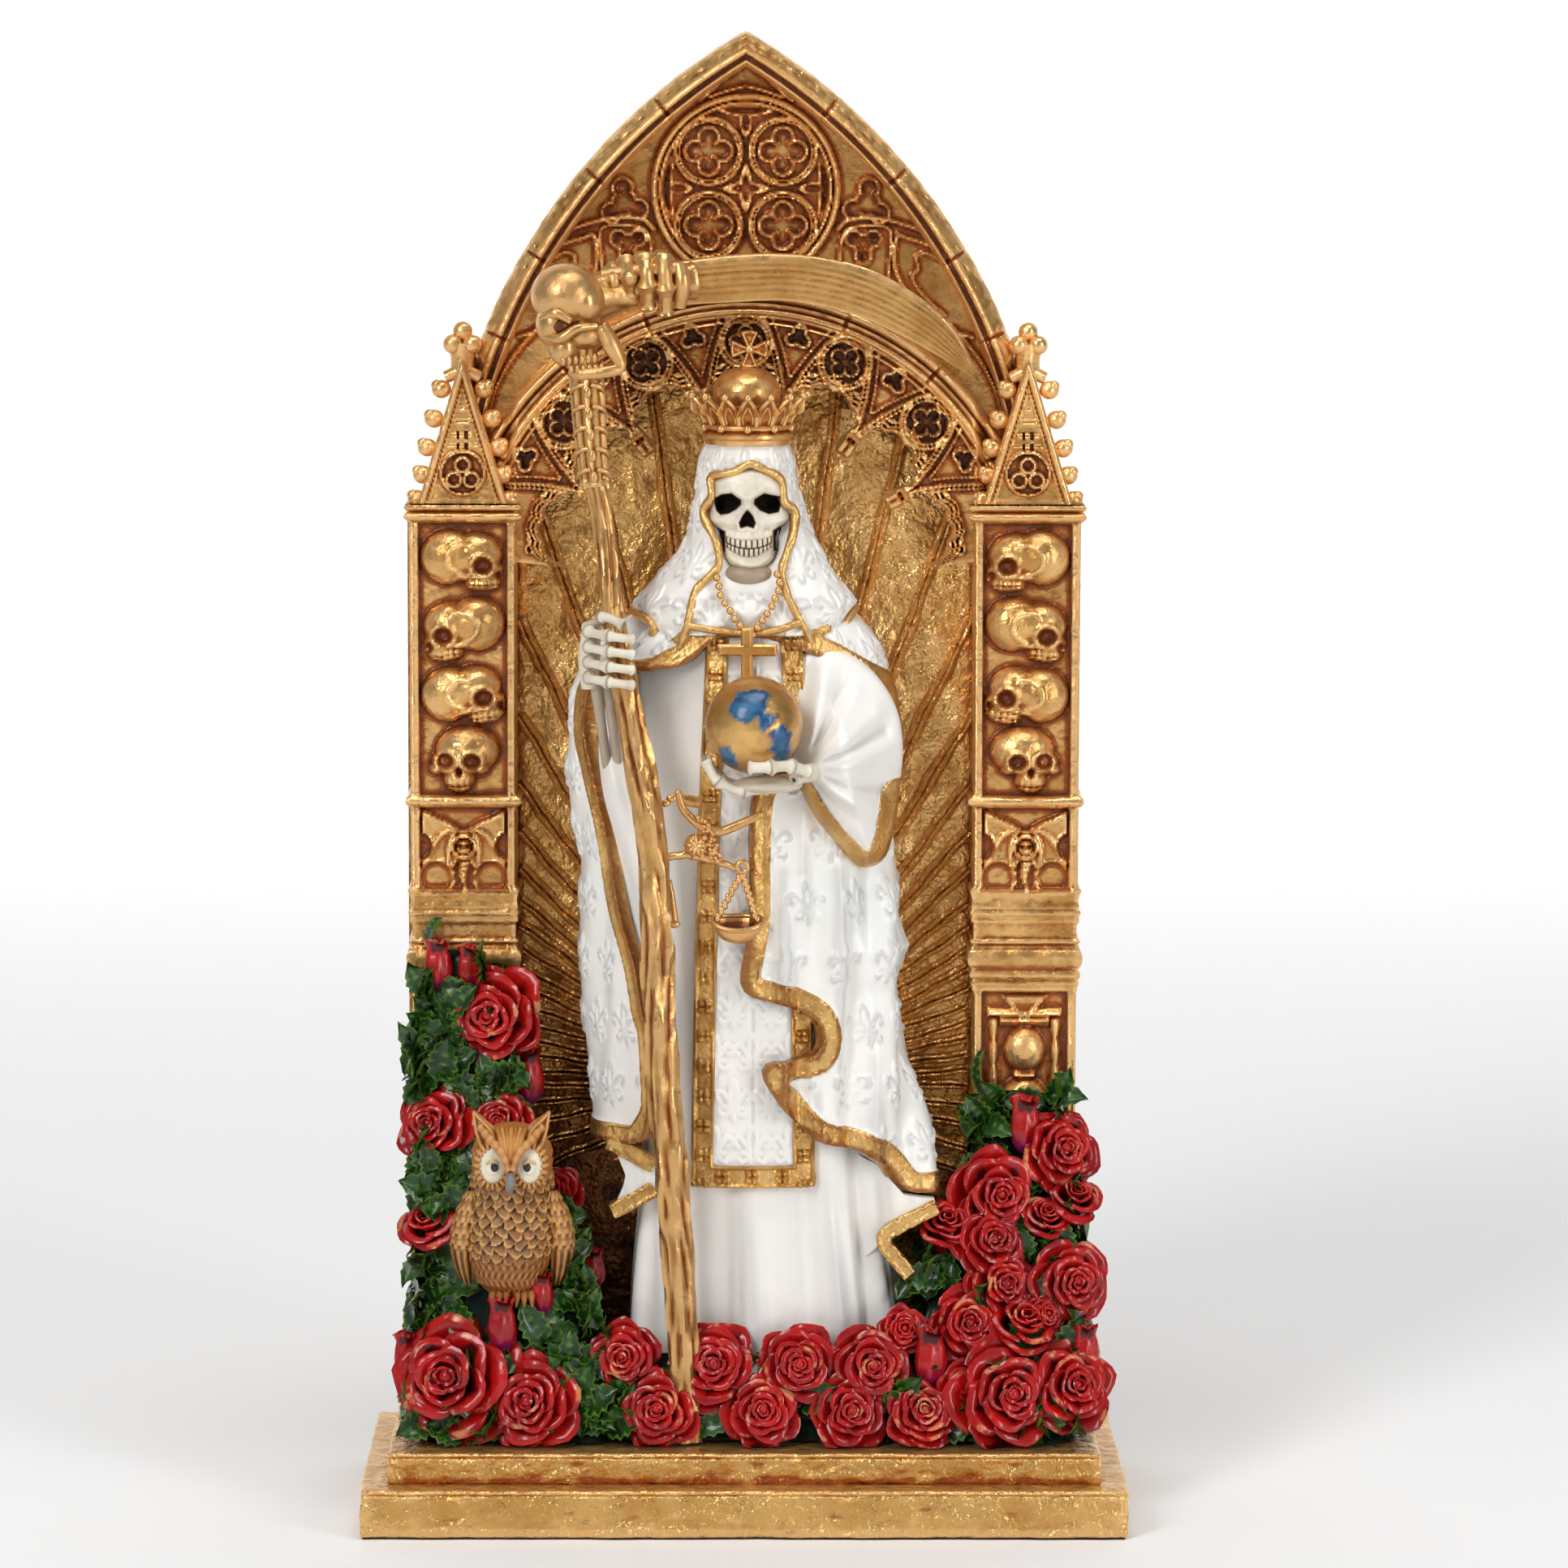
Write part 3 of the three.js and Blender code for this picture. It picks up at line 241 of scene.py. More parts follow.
def turned(clay, profile, sides, centre=(0, 0, 0), shape=None, **marks):
    """A profile of radius and height, turned round an upright axis. shape(angle, t, radius, z) carves it."""
    profile = np.asarray(profile, float)
    a = np.linspace(0, 2 * np.pi, sides, endpoint=False)[None, :]
    t = np.linspace(0, 1, len(profile))[:, None]
    radius, z = profile[:, :1] * np.ones_like(a), profile[:, 1:] * np.ones_like(a)
    if shape is not None:
        radius, z = shape(a, t, radius, z)
    points = at(radius * np.cos(a), radius * np.sin(a), z) + centre
    clay.add(points, grid(len(profile), sides, wrap=True), **marks)


bow = curve_points([(0, 0, 0), (5, 0, 5), (10, 0, 0)], 5)
print("a curve through 3 places, as 5 points:", bow.round(1).tolist())

# %% [markdown]
# ## Ways to shape: a surface cut to an outline
# Cloth, tracery and flat carving are surfaces with a drawn edge. The outline is a signed distance,
# negative inside. Cells of a fine net outside it are dropped, and the points left at the rim are moved on
# to it, so that the cut edge is smooth and not stepped. A wall then runs back from that edge. Blender's
# own boolean cut would leave long thin faces that shade badly.

# %% A cut surface with a wall behind its edge
def move_to_outline(p, q, outline, cell):
    """Walks net points p, q down the slope of the distance until they lie on the outline."""
    step = 0.25 * min(cell)
    for _ in range(4):
        d = outline(p, q)
        dp = (outline(p + step, q) - d) / step
        dq = (outline(p, q + step) - d) / step
        pull = d / (dp * dp + dq * dq + 1e-6)
        p = p - np.clip(pull * dp, -cell[0], cell[0]) * 0.9
        q = q - np.clip(pull * dq, -cell[1], cell[1]) * 0.9
    return p, q


def cut_net(u, v, outline):
    """A net with its cells outside the outline dropped: the two coordinates of each point, and the faces."""
    U, V = np.meshgrid(u, v, indexing="ij")
    if outline is None:
        return U.ravel(), V.ravel(), grid(len(u), len(v))
    away = outline(U, V)
    keep = (away[:-1, :-1] + away[1:, :-1] + away[:-1, 1:] + away[1:, 1:]) < 0
    near, cells = np.zeros(U.shape, int), np.zeros(U.shape, int)
    for a in (slice(None, -1), slice(1, None)):
        for b in (slice(None, -1), slice(1, None)):
            near[a, b] += keep
            cells[a, b] += 1
    rim = (near > 0) & (near < cells)
    cell = (abs(u[1] - u[0]), abs(v[1] - v[0]))
    p, q = move_to_outline(U[rim], V[rim], outline, cell)
    U[rim] = np.clip(p, U[rim] - cell[0], U[rim] + cell[0])
    V[rim] = np.clip(q, V[rim] - cell[1], V[rim] + cell[1])
    faces = grid(len(u), len(v))[keep.ravel()]
    used = np.unique(faces)
    number = np.full(U.size, -1)
    number[used] = np.arange(len(used))
    return U.ravel()[used], V.ravel()[used], number[faces]


def trimmed(clay, place, u, v, outline=None, back=None, towards=(0, -1, 0), paint=None, **marks):
    """place(u, v) and back(u, v) give the points of the surface and of the wall's far edge."""
    U, V, faces = cut_net(u, v, outline)
    points = place(U, V)
    marks = {key: np.broadcast_to(value, len(U)) for key, value in marks.items()}
    marks.update(paint(U, V) if paint else {})
    if face_normals(points, faces).sum(0) @ np.array(towards) < 0:
        faces = faces[:, ::-1]
    if back is not None:
        edges = np.concatenate([faces[:, [k, (k + 1) % 4]] for k in range(4)])
        code, mirror = edges[:, 0] * len(U) + edges[:, 1], edges[:, 1] * len(U) + edges[:, 0]
        a, b = edges[~np.isin(code, mirror)].T
        lip = np.unique([a, b])
        behind = np.full(len(U), -1)
        behind[lip] = len(U) + np.arange(len(lip))
        points = np.vstack([points, back(U[lip], V[lip])])
        faces = np.vstack([faces, np.stack([b, a, behind[a], behind[b]], 1)])
        marks = {key: np.concatenate([value, value[lip]]) for key, value in marks.items()}
    clay.gather(points, [faces], marks)


def pressed(clay, front, across, up, outline=None, back=None, **options):
    """A relief towards the viewer: front(x, z) is its depth, and back is where its side walls end."""
    walls = None if back is None else lambda x, z: at(x, back(x, z) if callable(back) else back, z)
    spread_x, spread_z = (np.arange(*span) if isinstance(span, tuple) else span for span in (across, up))
    trimmed(clay, lambda x, z: at(x, front(x, z), z), spread_x, spread_z, outline, back=walls, **options)


# %% [markdown]
# ## Ways to shape: drawn lines, rolls and lobes
# Carved fillets are rolls along a line, and gothic openings are a few round lobes side by side. Each is a
# small formula of the distance to a line or to a lobe.

# %% Lines, rolls and lobed outlines
def line_distance(x, z, points, closed=False):
    points = np.asarray(points, float)
    if closed:
        points = np.vstack([points, points[:1]])
    best = np.full(np.shape(x), 1e9)
    for (ax, az), (bx, bz) in zip(points[:-1], points[1:]):
        dx, dz = bx - ax, bz - az
        t = np.clip(((x - ax) * dx + (z - az) * dz) / (dx * dx + dz * dz + 1e-12), 0, 1)
        best = np.minimum(best, (x - ax - t * dx) ** 2 + (z - az - t * dz) ** 2)
    return np.sqrt(best)


def shape_distance(x, z, points):
    """The distance to a closed outline, negative inside it."""
    points = np.asarray(points, float)
    inside = np.zeros(np.shape(x), bool)
    for (ax, az), (bx, bz) in zip(points, np.roll(points, -1, 0)):
        inside ^= ((az > z) != (bz > z)) & (x < (bx - ax) * (z - az) / (bz - az + 1e-12) + ax)
    return np.where(inside, -1, 1) * line_distance(x, z, points, closed=True)


def smooth_path(points, count=60):
    flat = np.asarray(points, float)
    return curve_points(np.c_[flat, np.zeros(len(flat))], count)[:, :2]


def smooth_loop(points, count):
    return smooth_path(points + points[:1], count)[:-1]


def roll(distance, width):
    """The section of a round roll: 1 on its line, 0 where it ends."""
    return np.sqrt(np.clip(1 - (distance / width) ** 2, 0, 1))


def lobes(x, z, centre, count, reach, radius, turn=0, heart=0.0):
    """Distance to an outline of round lobes, such as a quatrefoil."""
    best = np.hypot(x - centre[0], z - centre[1]) - heart
    for k in range(count):
        a = turn + 2 * np.pi * k / count
        from_lobe = np.hypot(x - centre[0] - reach * np.sin(a), z - centre[1] - reach * np.cos(a))
        best = np.minimum(best, from_lobe - radius)
    return best


def sunk_foil(d, lip=0.42, rise=0.8, depth=0.9):
    """A raised lip round a sunk floor."""
    return rise * roll(d - lip * 0.6, lip) - depth * smooth_step(-d, 0, 0.5)


WAVES = [(1, 0.3, 0.2), (-0.5, 0.9, 1.7), (0.7, -1.1, 4.1), (0.2, 1.6, 2.9), (-1.5, -0.4, 5.3)]


def ripple(x, z, scale, seed=0):
    """Soft, repeatable unevenness between -1 and 1, as of a modeller's thumb."""
    waves = [np.sin((a * x + b * z) / scale + c + seed * (k + 1)) for k, (a, b, c) in enumerate(WAVES)]
    return sum(waves) / len(WAVES)


print("the middle of a quatrefoil is", lobes(0, 0, (0, 0), 4, 2.75, 1.85, 0, 1.9), "mm inside its outline")

# %% [markdown]
# ## Paint for cast resin
# The real casting is one brown resin, sprayed with metallic gold and then washed: thin red-brown paint
# stays in the hollows and is wiped off the edges. Painted shade darkens the deepest hollows further,
# nearly to black. One gold recipe serves for all golden pieces, with other colours. Image textures could
# do the same, but nodes stay sharp at any distance. `Brush` only shortens the node code.

# %% A short way to write paint nodes
class Brush:
    def __init__(self, name):
        self.material = bpy.data.materials.new(name)
        self.material.use_nodes = True
        self.tree = self.material.node_tree
        self.shader = self.tree.nodes["Principled BSDF"]
        self.place = self.tree.nodes.new("ShaderNodeTexCoord").outputs["Object"]

    def join(self, value, socket):
        if isinstance(value, bpy.types.NodeSocket):
            self.tree.links.new(value, socket)
        else:
            socket.default_value = value

    def make(self, kind, **inputs):
        made = self.tree.nodes.new(kind)
        for key, value in inputs.items():
            self.join(value, made.inputs[key])
        return made

    def mark(self, name):
        made = self.tree.nodes.new("ShaderNodeAttribute")
        made.attribute_name = name
        return made.outputs["Fac"]

    def noise(self, size, detail=3.0, rough=0.5):
        """Soft noise with patches about size millimetres wide."""
        made = self.make(
            "ShaderNodeTexNoise", Vector=self.place, Scale=1 / (size * MM), Detail=detail, Roughness=rough
        )
        return made.outputs[0]

    def maths(self, operation, first, second):
        made = self.tree.nodes.new("ShaderNodeMath")
        made.operation = operation
        self.join(first, made.inputs[0])
        self.join(second, made.inputs[1])
        return made.outputs[0]

    def total(self, first, *others):
        for other in others:
            first = self.maths("ADD", first, other)
        return first

    def times(self, first, second):
        return self.maths("MULTIPLY", first, second)

    def centred(self, noise, amount=1.0):
        """Noise that swings evenly to both sides of nothing."""
        return self.times(self.maths("SUBTRACT", noise, 0.5), amount)

    def wash_and_shade(self, share):
        """Thin grooves, and a share of the broad hollows: where wash and painted shade are laid."""
        return self.total(self.mark("hollow"), self.times(self.mark("deep"), share))

    def rise(self, value, low, high, bottom=0.0, top=1.0):
        """A soft rise from bottom to top while the value goes from low to high."""
        made = self.tree.nodes.new("ShaderNodeMapRange")
        made.interpolation_type = "SMOOTHSTEP"
        sockets = ("Value", "From Min", "From Max", "To Min", "To Max")
        for key, entry in zip(sockets, (value, low, high, bottom, top)):
            self.join(entry, made.inputs[key])
        return made.outputs[0]

    def blend(self, amount, first, second):
        made = self.tree.nodes.new("ShaderNodeMix")
        made.data_type = "RGBA"
        self.join(amount, made.inputs[0])
        for value, socket in ((first, made.inputs[6]), (second, made.inputs[7])):
            self.join(value if isinstance(value, bpy.types.NodeSocket) else (*value, 1), socket)
        return made.outputs[2]

    def mottled(self, size, first, second, low=0.35, high=0.65, detail=3):
        """Two colours in soft patches."""
        return self.blend(self.rise(self.noise(size, detail), low, high), first, second)

    def bump(self, *layers):
        """Layers of (height, millimetres), laid one over the other."""
        normal = None
        for height, depth in layers:
            made = self.make("ShaderNodeBump", Height=height, Distance=depth * MM, Strength=1.0)
            if normal is not None:
                self.join(normal, made.inputs["Normal"])
            normal = made.outputs[0]
        self.join(normal, self.shader.inputs["Normal"])

    def set(self, **values):
        for key, value in values.items():
            self.join(value, self.shader.inputs[key.replace("_", " ")])
        return self


# %% Gold, washed with copper red
def gold_paint(name, bright, middle, wash, dark, rough=0.34, hammer=0.16, wash_from=0.1, metal=0.8):
    """hammer is the dents' depth in mm, and wash_from is how deep a hollow must be to hold wash."""
    b = Brush(name)
    colour = b.blend(b.rise(b.noise(13, 4, 0.6), 0.34, 0.66), middle, bright)
    # the shade mark adds painted shade to the wash; deep hollows and strong shade go to the near-black dark
    wash_and_shade = b.total(b.wash_and_shade(0.22), b.centred(b.noise(1.3, 3, 0.6), 0.4), b.mark("shade"))
    colour = b.blend(b.rise(wash_and_shade, wash_from, wash_from + 0.5), colour, wash)
    colour = b.blend(b.rise(wash_and_shade, wash_from + 0.55, wash_from + 1.35), colour, dark)
    light = tuple(min(1, 1.12 * c + 0.07) for c in bright)
    colour = b.blend(b.rise(wash_and_shade, -0.12, -0.7, 0, 0.65), colour, light)
    b.set(Base_Color=colour, Metallic=b.rise(wash_and_shade, wash_from + 0.2, wash_from + 1.1, metal, metal * 0.5))
    b.set(Roughness=b.rise(b.noise(3, 2), 0.3, 0.7, rough - 0.07, rough + 0.13))
    b.bump((b.noise(2.4, 2, 0.5), hammer), (b.noise(0.8, 2, 0.5), hammer * 0.3))
    return b.material


BROWN_WASH = (0.08, 0.022, 0.005)
shrine_gold = gold_paint(
    "shrine gold", (0.76, 0.45, 0.165), (0.52, 0.26, 0.07), (0.36, 0.09, 0.016), BROWN_WASH, 0.3, 0.32
)
print("first gold paint:", shrine_gold.name)

# %% [markdown]
# ## The plinth
# Two slabs, one on the other. Each is a ring of points that goes round the slab again and again at other
# heights and insets, so one loop makes the wall, the rounded edge and the tread. The hammered look is in
# the shape: every point is pushed inwards by a soft ripple.

# %% Slabs of the plinth
FOOT = 16.4
LOWER_SLAB, UPPER_SLAB = (77, -37.5, 37.5), (71.8, -31.2, 34.8)


def slab_rings(half_width, front, back, rows, count=290):
    """Rings round a rectangle. rows holds inset and height."""
    width, depth = 2 * half_width, back - front
    starts = np.array([0, width, width + depth, 2 * width + depth])
    run = np.linspace(0, 2 * (width + depth), count, endpoint=False)
    side = np.searchsorted(starts[1:], run, side="right")
    along = run - starts[side]
    sides = [side == 0, side == 1, side == 2]
    x = np.select(sides, [-half_width + along, half_width, half_width - along], -half_width)
    y = np.select(sides, [front, front + along, back], back - along)
    rings = []
    for inset, z in rows:
        dents = 0.34 * ripple(x + y, z * 2 + x * 0.2, 3.1) + 0.26 * ripple(x - y, z * 2, 1.4, 3)
        inwards = inset + 0.5 + dents + 0.12 * ripple(x - y, z * 2, 0.7, 6)
        ring_x = np.clip(x, -half_width + inwards, half_width - inwards)
        rings.append(at(ring_x, np.clip(y, front + inwards, back - inwards), z))
    return np.concatenate(rings), grid(len(rows), count, wrap=True)


def soft_wall(low, high, tread, lip=0.5):
    """Insets and heights of a wall with a groove under its top edge, and of the tread on top."""
    rows = [(lip, low), (0.1, low + 0.3)]
    rows += [(0.0, z) for z in np.linspace(low + 0.6, high - 1.5, 11)]
    rows += [(0.05, high - 1.2), (0.3, high - 0.95), (0.05, high - 0.7)]
    rows += [(0.0, high - 0.4), (0.25, high - 0.08), (0.6, high)]
    return rows + [(inset, high - 0.02) for inset in np.linspace(1.4, tread, 8)]


def add_slab(clay, slab, rows, behind, darker, under):
    """behind and under say where painted shade darkens the gold: towards the back, and near the foot of the wall.
    """
    points, faces = slab_rings(*slab, rows)
    shade = behind[0] * smooth_step(points[:, 1], *behind[1]) + darker
    clay.add(points, faces, shade=shade + under[0] * smooth_step(-points[:, 2], *under[1]))


plinth = Clay()
add_slab(plinth, LOWER_SLAB, [(36, 0.35)] + soft_wall(0.35, 9.9, 12), (0.35, (-36, -20)), 0, (0.5, (-1.2, 0)))
add_slab(plinth, UPPER_SLAB, soft_wall(9.8, 16.08, 30), (0.3, (-30, -15)), 0.22, (0.7, (-11.8, -10.4)))
plinth_gold = gold_paint(
    "plinth gold", (0.68, 0.41, 0.135), (0.56, 0.30, 0.08), (0.36, 0.09, 0.018), BROWN_WASH, 0.32, 0.9, 0.2, 0.75
)
piece("plinth_steps", plinth, "plinth", plinth_gold, rounds=5, reach=0.5)

# %% Felt under the plinth
felt = Clay()
felt.add(*slab_rings(76.6, -37.1, 37.1, [(30, 0.0), (0.1, 0.0), (0.0, 0.36), (30, 0.36)], 80))
felt_cloth = Brush("dark felt").set(Base_Color=(0.02, 0.016, 0.014, 1), Roughness=0.95)
felt_cloth.bump((felt_cloth.noise(0.4), 0.1))
piece("plinth_felt", felt, "plinth", felt_cloth.material)

# %% [markdown]
# ## The pointed arch and the round arch
# A moulding has one section all along: here a textured chamfer, a roll, a groove and a thinner roll. The
# section is swept along the circle of each leg. Each point stops where its own circle meets the middle
# line, which gives a true mitre at the point. Joints between the stones are thin dents at the places seen
# on the piece.

# %% Pointed arch
ARCH_RADIUS, ARCH_OFFSET, ARCH_MOULDING = 123.8, 61.5, 6.2
SPRING = FOOT + 282 - math.sqrt(ARCH_RADIUS**2 - ARCH_OFFSET**2)
BACK = 33.0
ARCH_JOINTS = (0.391, 0.539, 0.704, 0.865)


def dents(where, places, width=0.42):
    return sum(bell(where - place, width) for place in places)


def pointed_section(q):
    """Depth at a distance inwards from the outer edge."""
    y = np.interp(q, [0, 0.3, 2.7, 3.0, 4.2, 4.9, 5.1, 6.2], [13.2, 12.4, 9.9, 10.9, 11.0, 11.0, 10.9, 12.2])
    return y - 1.6 * roll(q - 3.45, 0.75) - 1.7 * roll(q - 5.45, 0.62)


arch = Clay()
q = np.concatenate([np.linspace(0, 2.7, 12), np.linspace(2.8, 4.3, 10), np.linspace(4.45, 6.2, 11)])[None, :]
for side in (-1, 1):
    leg_foot = 0.055
    leg_end = np.arccos(ARCH_OFFSET / (ARCH_RADIUS - q))
    a = leg_foot + (leg_end - leg_foot) * np.linspace(0, 1, 240)[:, None]
    joints = dents(a * ARCH_RADIUS, [angle * ARCH_RADIUS for angle in ARCH_JOINTS])
    chisel = 0.28 * ripple(a * 125, q * 2, 0.55) * smooth_step(-q, -2.6, -2.2)
    y = pointed_section(q) + 0.9 * joints + chisel + 0.12 * ripple(a * 125, q, 1.1, 2)
    r = ARCH_RADIUS - q - (0.25 * joints + 0.12 * (1 + ripple(a * 125, 0, 0.8))) * (q < 0.6)
    z = np.minimum(SPRING + r * np.sin(a), CAD_TOP - 0.05)
    x = np.maximum(r * np.cos(a) - ARCH_OFFSET, 0)
    face = at(side * x, y + 3.4 * smooth_step(-z, -236, -228), z)
    outer = at(face[:, :1, 0], np.linspace(BACK - 0.1, 14, 9), face[:, :1, 2])
    inner = at(face[:, -1:, 0], np.array([14.5, 17.4]), face[:, -1:, 2])
    rows = np.concatenate([outer, face, inner], 1)
    arch.add(rows, grid(*rows.shape[:2]), towards=(0, -1, 0))
piece("pointed_arch", arch, "shrine", shrine_gold, sharp=70)

# %% Round arch
INNER_CENTRE, INNER_RADIUS, INNER_MOULDING = FOOT + 170.2, 59.6, 5.0
ROUND_JOINTS = [math.radians(angle) * 59 for angle in (-63, -39.7, -20.5, 20.9, 41.7, 63)]
round_arch = Clay()
q = np.linspace(-0.6, INNER_MOULDING + 0.6, 34)[None, :]
a = np.linspace(-1.44, 1.44, 380)[:, None]
y = np.interp(q, [-0.6, 0, 0.9, 3.6, 5.0, 5.6], [16.5, 10.4, 10.2, 10.6, 10.8, 13.5])
y = y - 1.5 * roll(q - 0.95, 0.95) - 1.3 * roll(q - 4.2, 0.8) + 0.5 * roll(q - 2.1, 0.3)
y = y + 0.8 * dents(a * 59, ROUND_JOINTS, 0.35) + 0.1 * ripple(a * 59, q, 0.9)
r = INNER_RADIUS - q
y = y + 3.2 * smooth_step(np.abs(r * np.sin(a)), 46, 49)
rows = at(r * np.sin(a), y, INNER_CENTRE + r * np.cos(a))
round_arch.add(rows, grid(*rows.shape[:2]), towards=(0, -1, 0))
piece("round_arch", round_arch, "shrine", shrine_gold, sharp=70)

# %% [markdown]
# ## The carved field between the arches
# The tracery is flat work, so it is a height field: each point of a fine net asks how near it is to every
# line, ring and lobed opening, and takes the highest. Rings are rolls, and a lobed opening is a raised
# lip round a sunk floor. The drawing is mirrored left and right.

# %% Tympanum
ROSE_Z = FOOT + 250.2
RIBS = [
    (1.5, 0.55, [(18.6, 258.4), (21, 260.4), (27, 260.6), (34, 258.8), (40, 256)]),
    (1.0, 0.4, [(18.9, 251), (19.6, 257), (22, 258.9), (28.4, 258.9), (29.4, 256), (28.6, 246)]),
    (1.2, 0.5, [(39, 254.8), (33, 256.6), (30.6, 256.8), (30.4, 250), (34.5, 243.5), (40, 238.8), (46, 236.6)]),
    (0.9, 0.4, [(41, 251.5), (36.8, 253.6), (34.6, 252.8), (35, 250.6), (33.8, 248.6), (36, 245), (40.6, 241)]),
    (1.2, 0.5, [(42, 238.6), (47.5, 232), (51.5, 224), (53.5, 214)]),
    (1.4, 0.45, [(0, 287.2), (3.6, 286.3), (7.4, 284.9)]),
    (1.3, 0.5, [(9.4, 284.3), (0, 292.4)]),
]


def highest(height, raised, least=0.0):
    """Lays raised lines over a ground. Where a line ends, the ground shows."""
    for entry in raised:
        height = np.where(entry > least, np.maximum(height, entry), height)
    return height


def tympanum_height(x, z):
    m, up = np.abs(x), z - ROSE_Z
    far = np.hypot(x, up)
    within = far < 17.4
    floor = np.where(within, -0.3, 0.0)
    raised = [1.9 * roll(far - 18.5, 0.75), 1.6 * roll(far - 17.2, 0.5)]
    for cx in (-7.5, 7.5):
        for cz in (-7.5, 7.5):
            d = np.hypot(x - cx, up - cz)
            raised += [1.9 * roll(d - 6.7, 0.45), 1.2 * roll(d - 5.95, 0.3)]
            foil = lobes(x, up, (cx, cz), 4, 2.75, 1.85, 0, 1.9)
            floor = floor + np.where(d < 6.2, sunk_foil(foil, 0.42, 1.3, 1.2), 0)
    star = np.minimum(np.hypot(x, up * 0.28), np.hypot(x * 0.28, up)) - 0.85
    floor = floor + sunk_foil(star, 0.35, 1.0, 0.8)
    tip = np.minimum(np.hypot((m - 13.6) * 0.45, up) - 0.85, np.hypot(m - 16.0 + 0.03 * up**2, up * 0.14) - 0.75)
    drop = np.minimum(np.hypot(x, (up - 13.4) * 0.4) - 0.8, np.hypot(x * 0.16, up - 15.6 - 0.02 * x * x) - 0.75)
    for opening in (tip, drop):
        floor = floor + np.where(within, sunk_foil(opening, 0.32, 0.9, 0.7), 0)
    large = lobes(m, z, (24.6, 263.6), 3, 3.1, 1.75, 0.12, 2.3)
    small = lobes(m, z, (23.8, 255.4), 3, 2.3, 1.35, math.pi, 1.7)
    floor = floor + (far > 19.4) * (sunk_foil(large, 0.42, 1.3, 1.3) + sunk_foil(small, 0.4, 1.2, 1.1))
    raised += [rise * roll(line_distance(m, z, smooth_path(places)), width) for rise, width, places in RIBS]
    return highest(floor, raised)


def outside_arch(x, z, radius):
    return np.maximum(np.hypot(x - ARCH_OFFSET, z - SPRING), np.hypot(x + ARCH_OFFSET, z - SPRING)) - radius


def tympanum_edge(x, z):
    outer = outside_arch(x, z, ARCH_RADIUS - ARCH_MOULDING + 0.5)
    inner = INNER_RADIUS - 0.5 - np.hypot(x, z - INNER_CENTRE)
    return np.maximum(np.maximum(outer, inner), 204 - z)


tympanum = Clay()
field = (-60, 60.01, 0.37), (203.5, 295, 0.37)
pressed(tympanum, lambda x, z: 16.2 - tympanum_height(x, z), *field, tympanum_edge)
piece("tympanum", tympanum, "shrine", shrine_gold, rounds=5, reach=0.32)

# %% [markdown]
# ## The tracery that hangs in the arch
# A polar net follows the round arch, so each of the seven bays is the same drawing turned by 24 degrees.
# The foils are sunk deep and painted dark as painted shadow, so that they look pierced, and holes cut
# right through would look alike. Ribs spring from each hanging boss and spread round a ringed quatrefoil.

# %% Drawing of the hanging tracery
BAY = math.radians(24)
BAY_MIDDLES, BOSS_PLACES = range(-2, 3), (-2.5, -1.5, -0.5, 0.5, 1.5, 2.5)


def from_boss(theta, r):
    """How far a point is, along the arch, from the middle line of the nearest hanging boss."""
    return np.abs(theta / BAY - np.round(theta / BAY - 0.5) - 0.5) * BAY * r


def hanging_edge(u, r):
    theta = u / 50
    number = np.clip(np.round(theta / BAY), -3, 3)
    s = np.clip(theta / BAY - number + 0.5, 0, 1)
    low = 36.2 + 6.6 * np.sqrt(np.abs(np.sin(np.pi * s))) + 0.8 * np.abs(np.sin(4 * np.pi * s))
    boss = np.where(np.abs(theta) > 3 * BAY, 9, from_boss(theta, r))
    stub = np.maximum(boss - 2.0 + 0.25 * np.abs(r - 35), 32.7 - r)
    return np.maximum(np.minimum(low - r, stub), r - 55.3)


def arch_foil(x, z, angle, far, count, reach, radius, turn, heart):
    """A lobed opening whose middle lies on the arch's own circle."""
    return lobes(x, z, (far * math.sin(angle), far * math.cos(angle)), count, reach, radius, turn, heart)


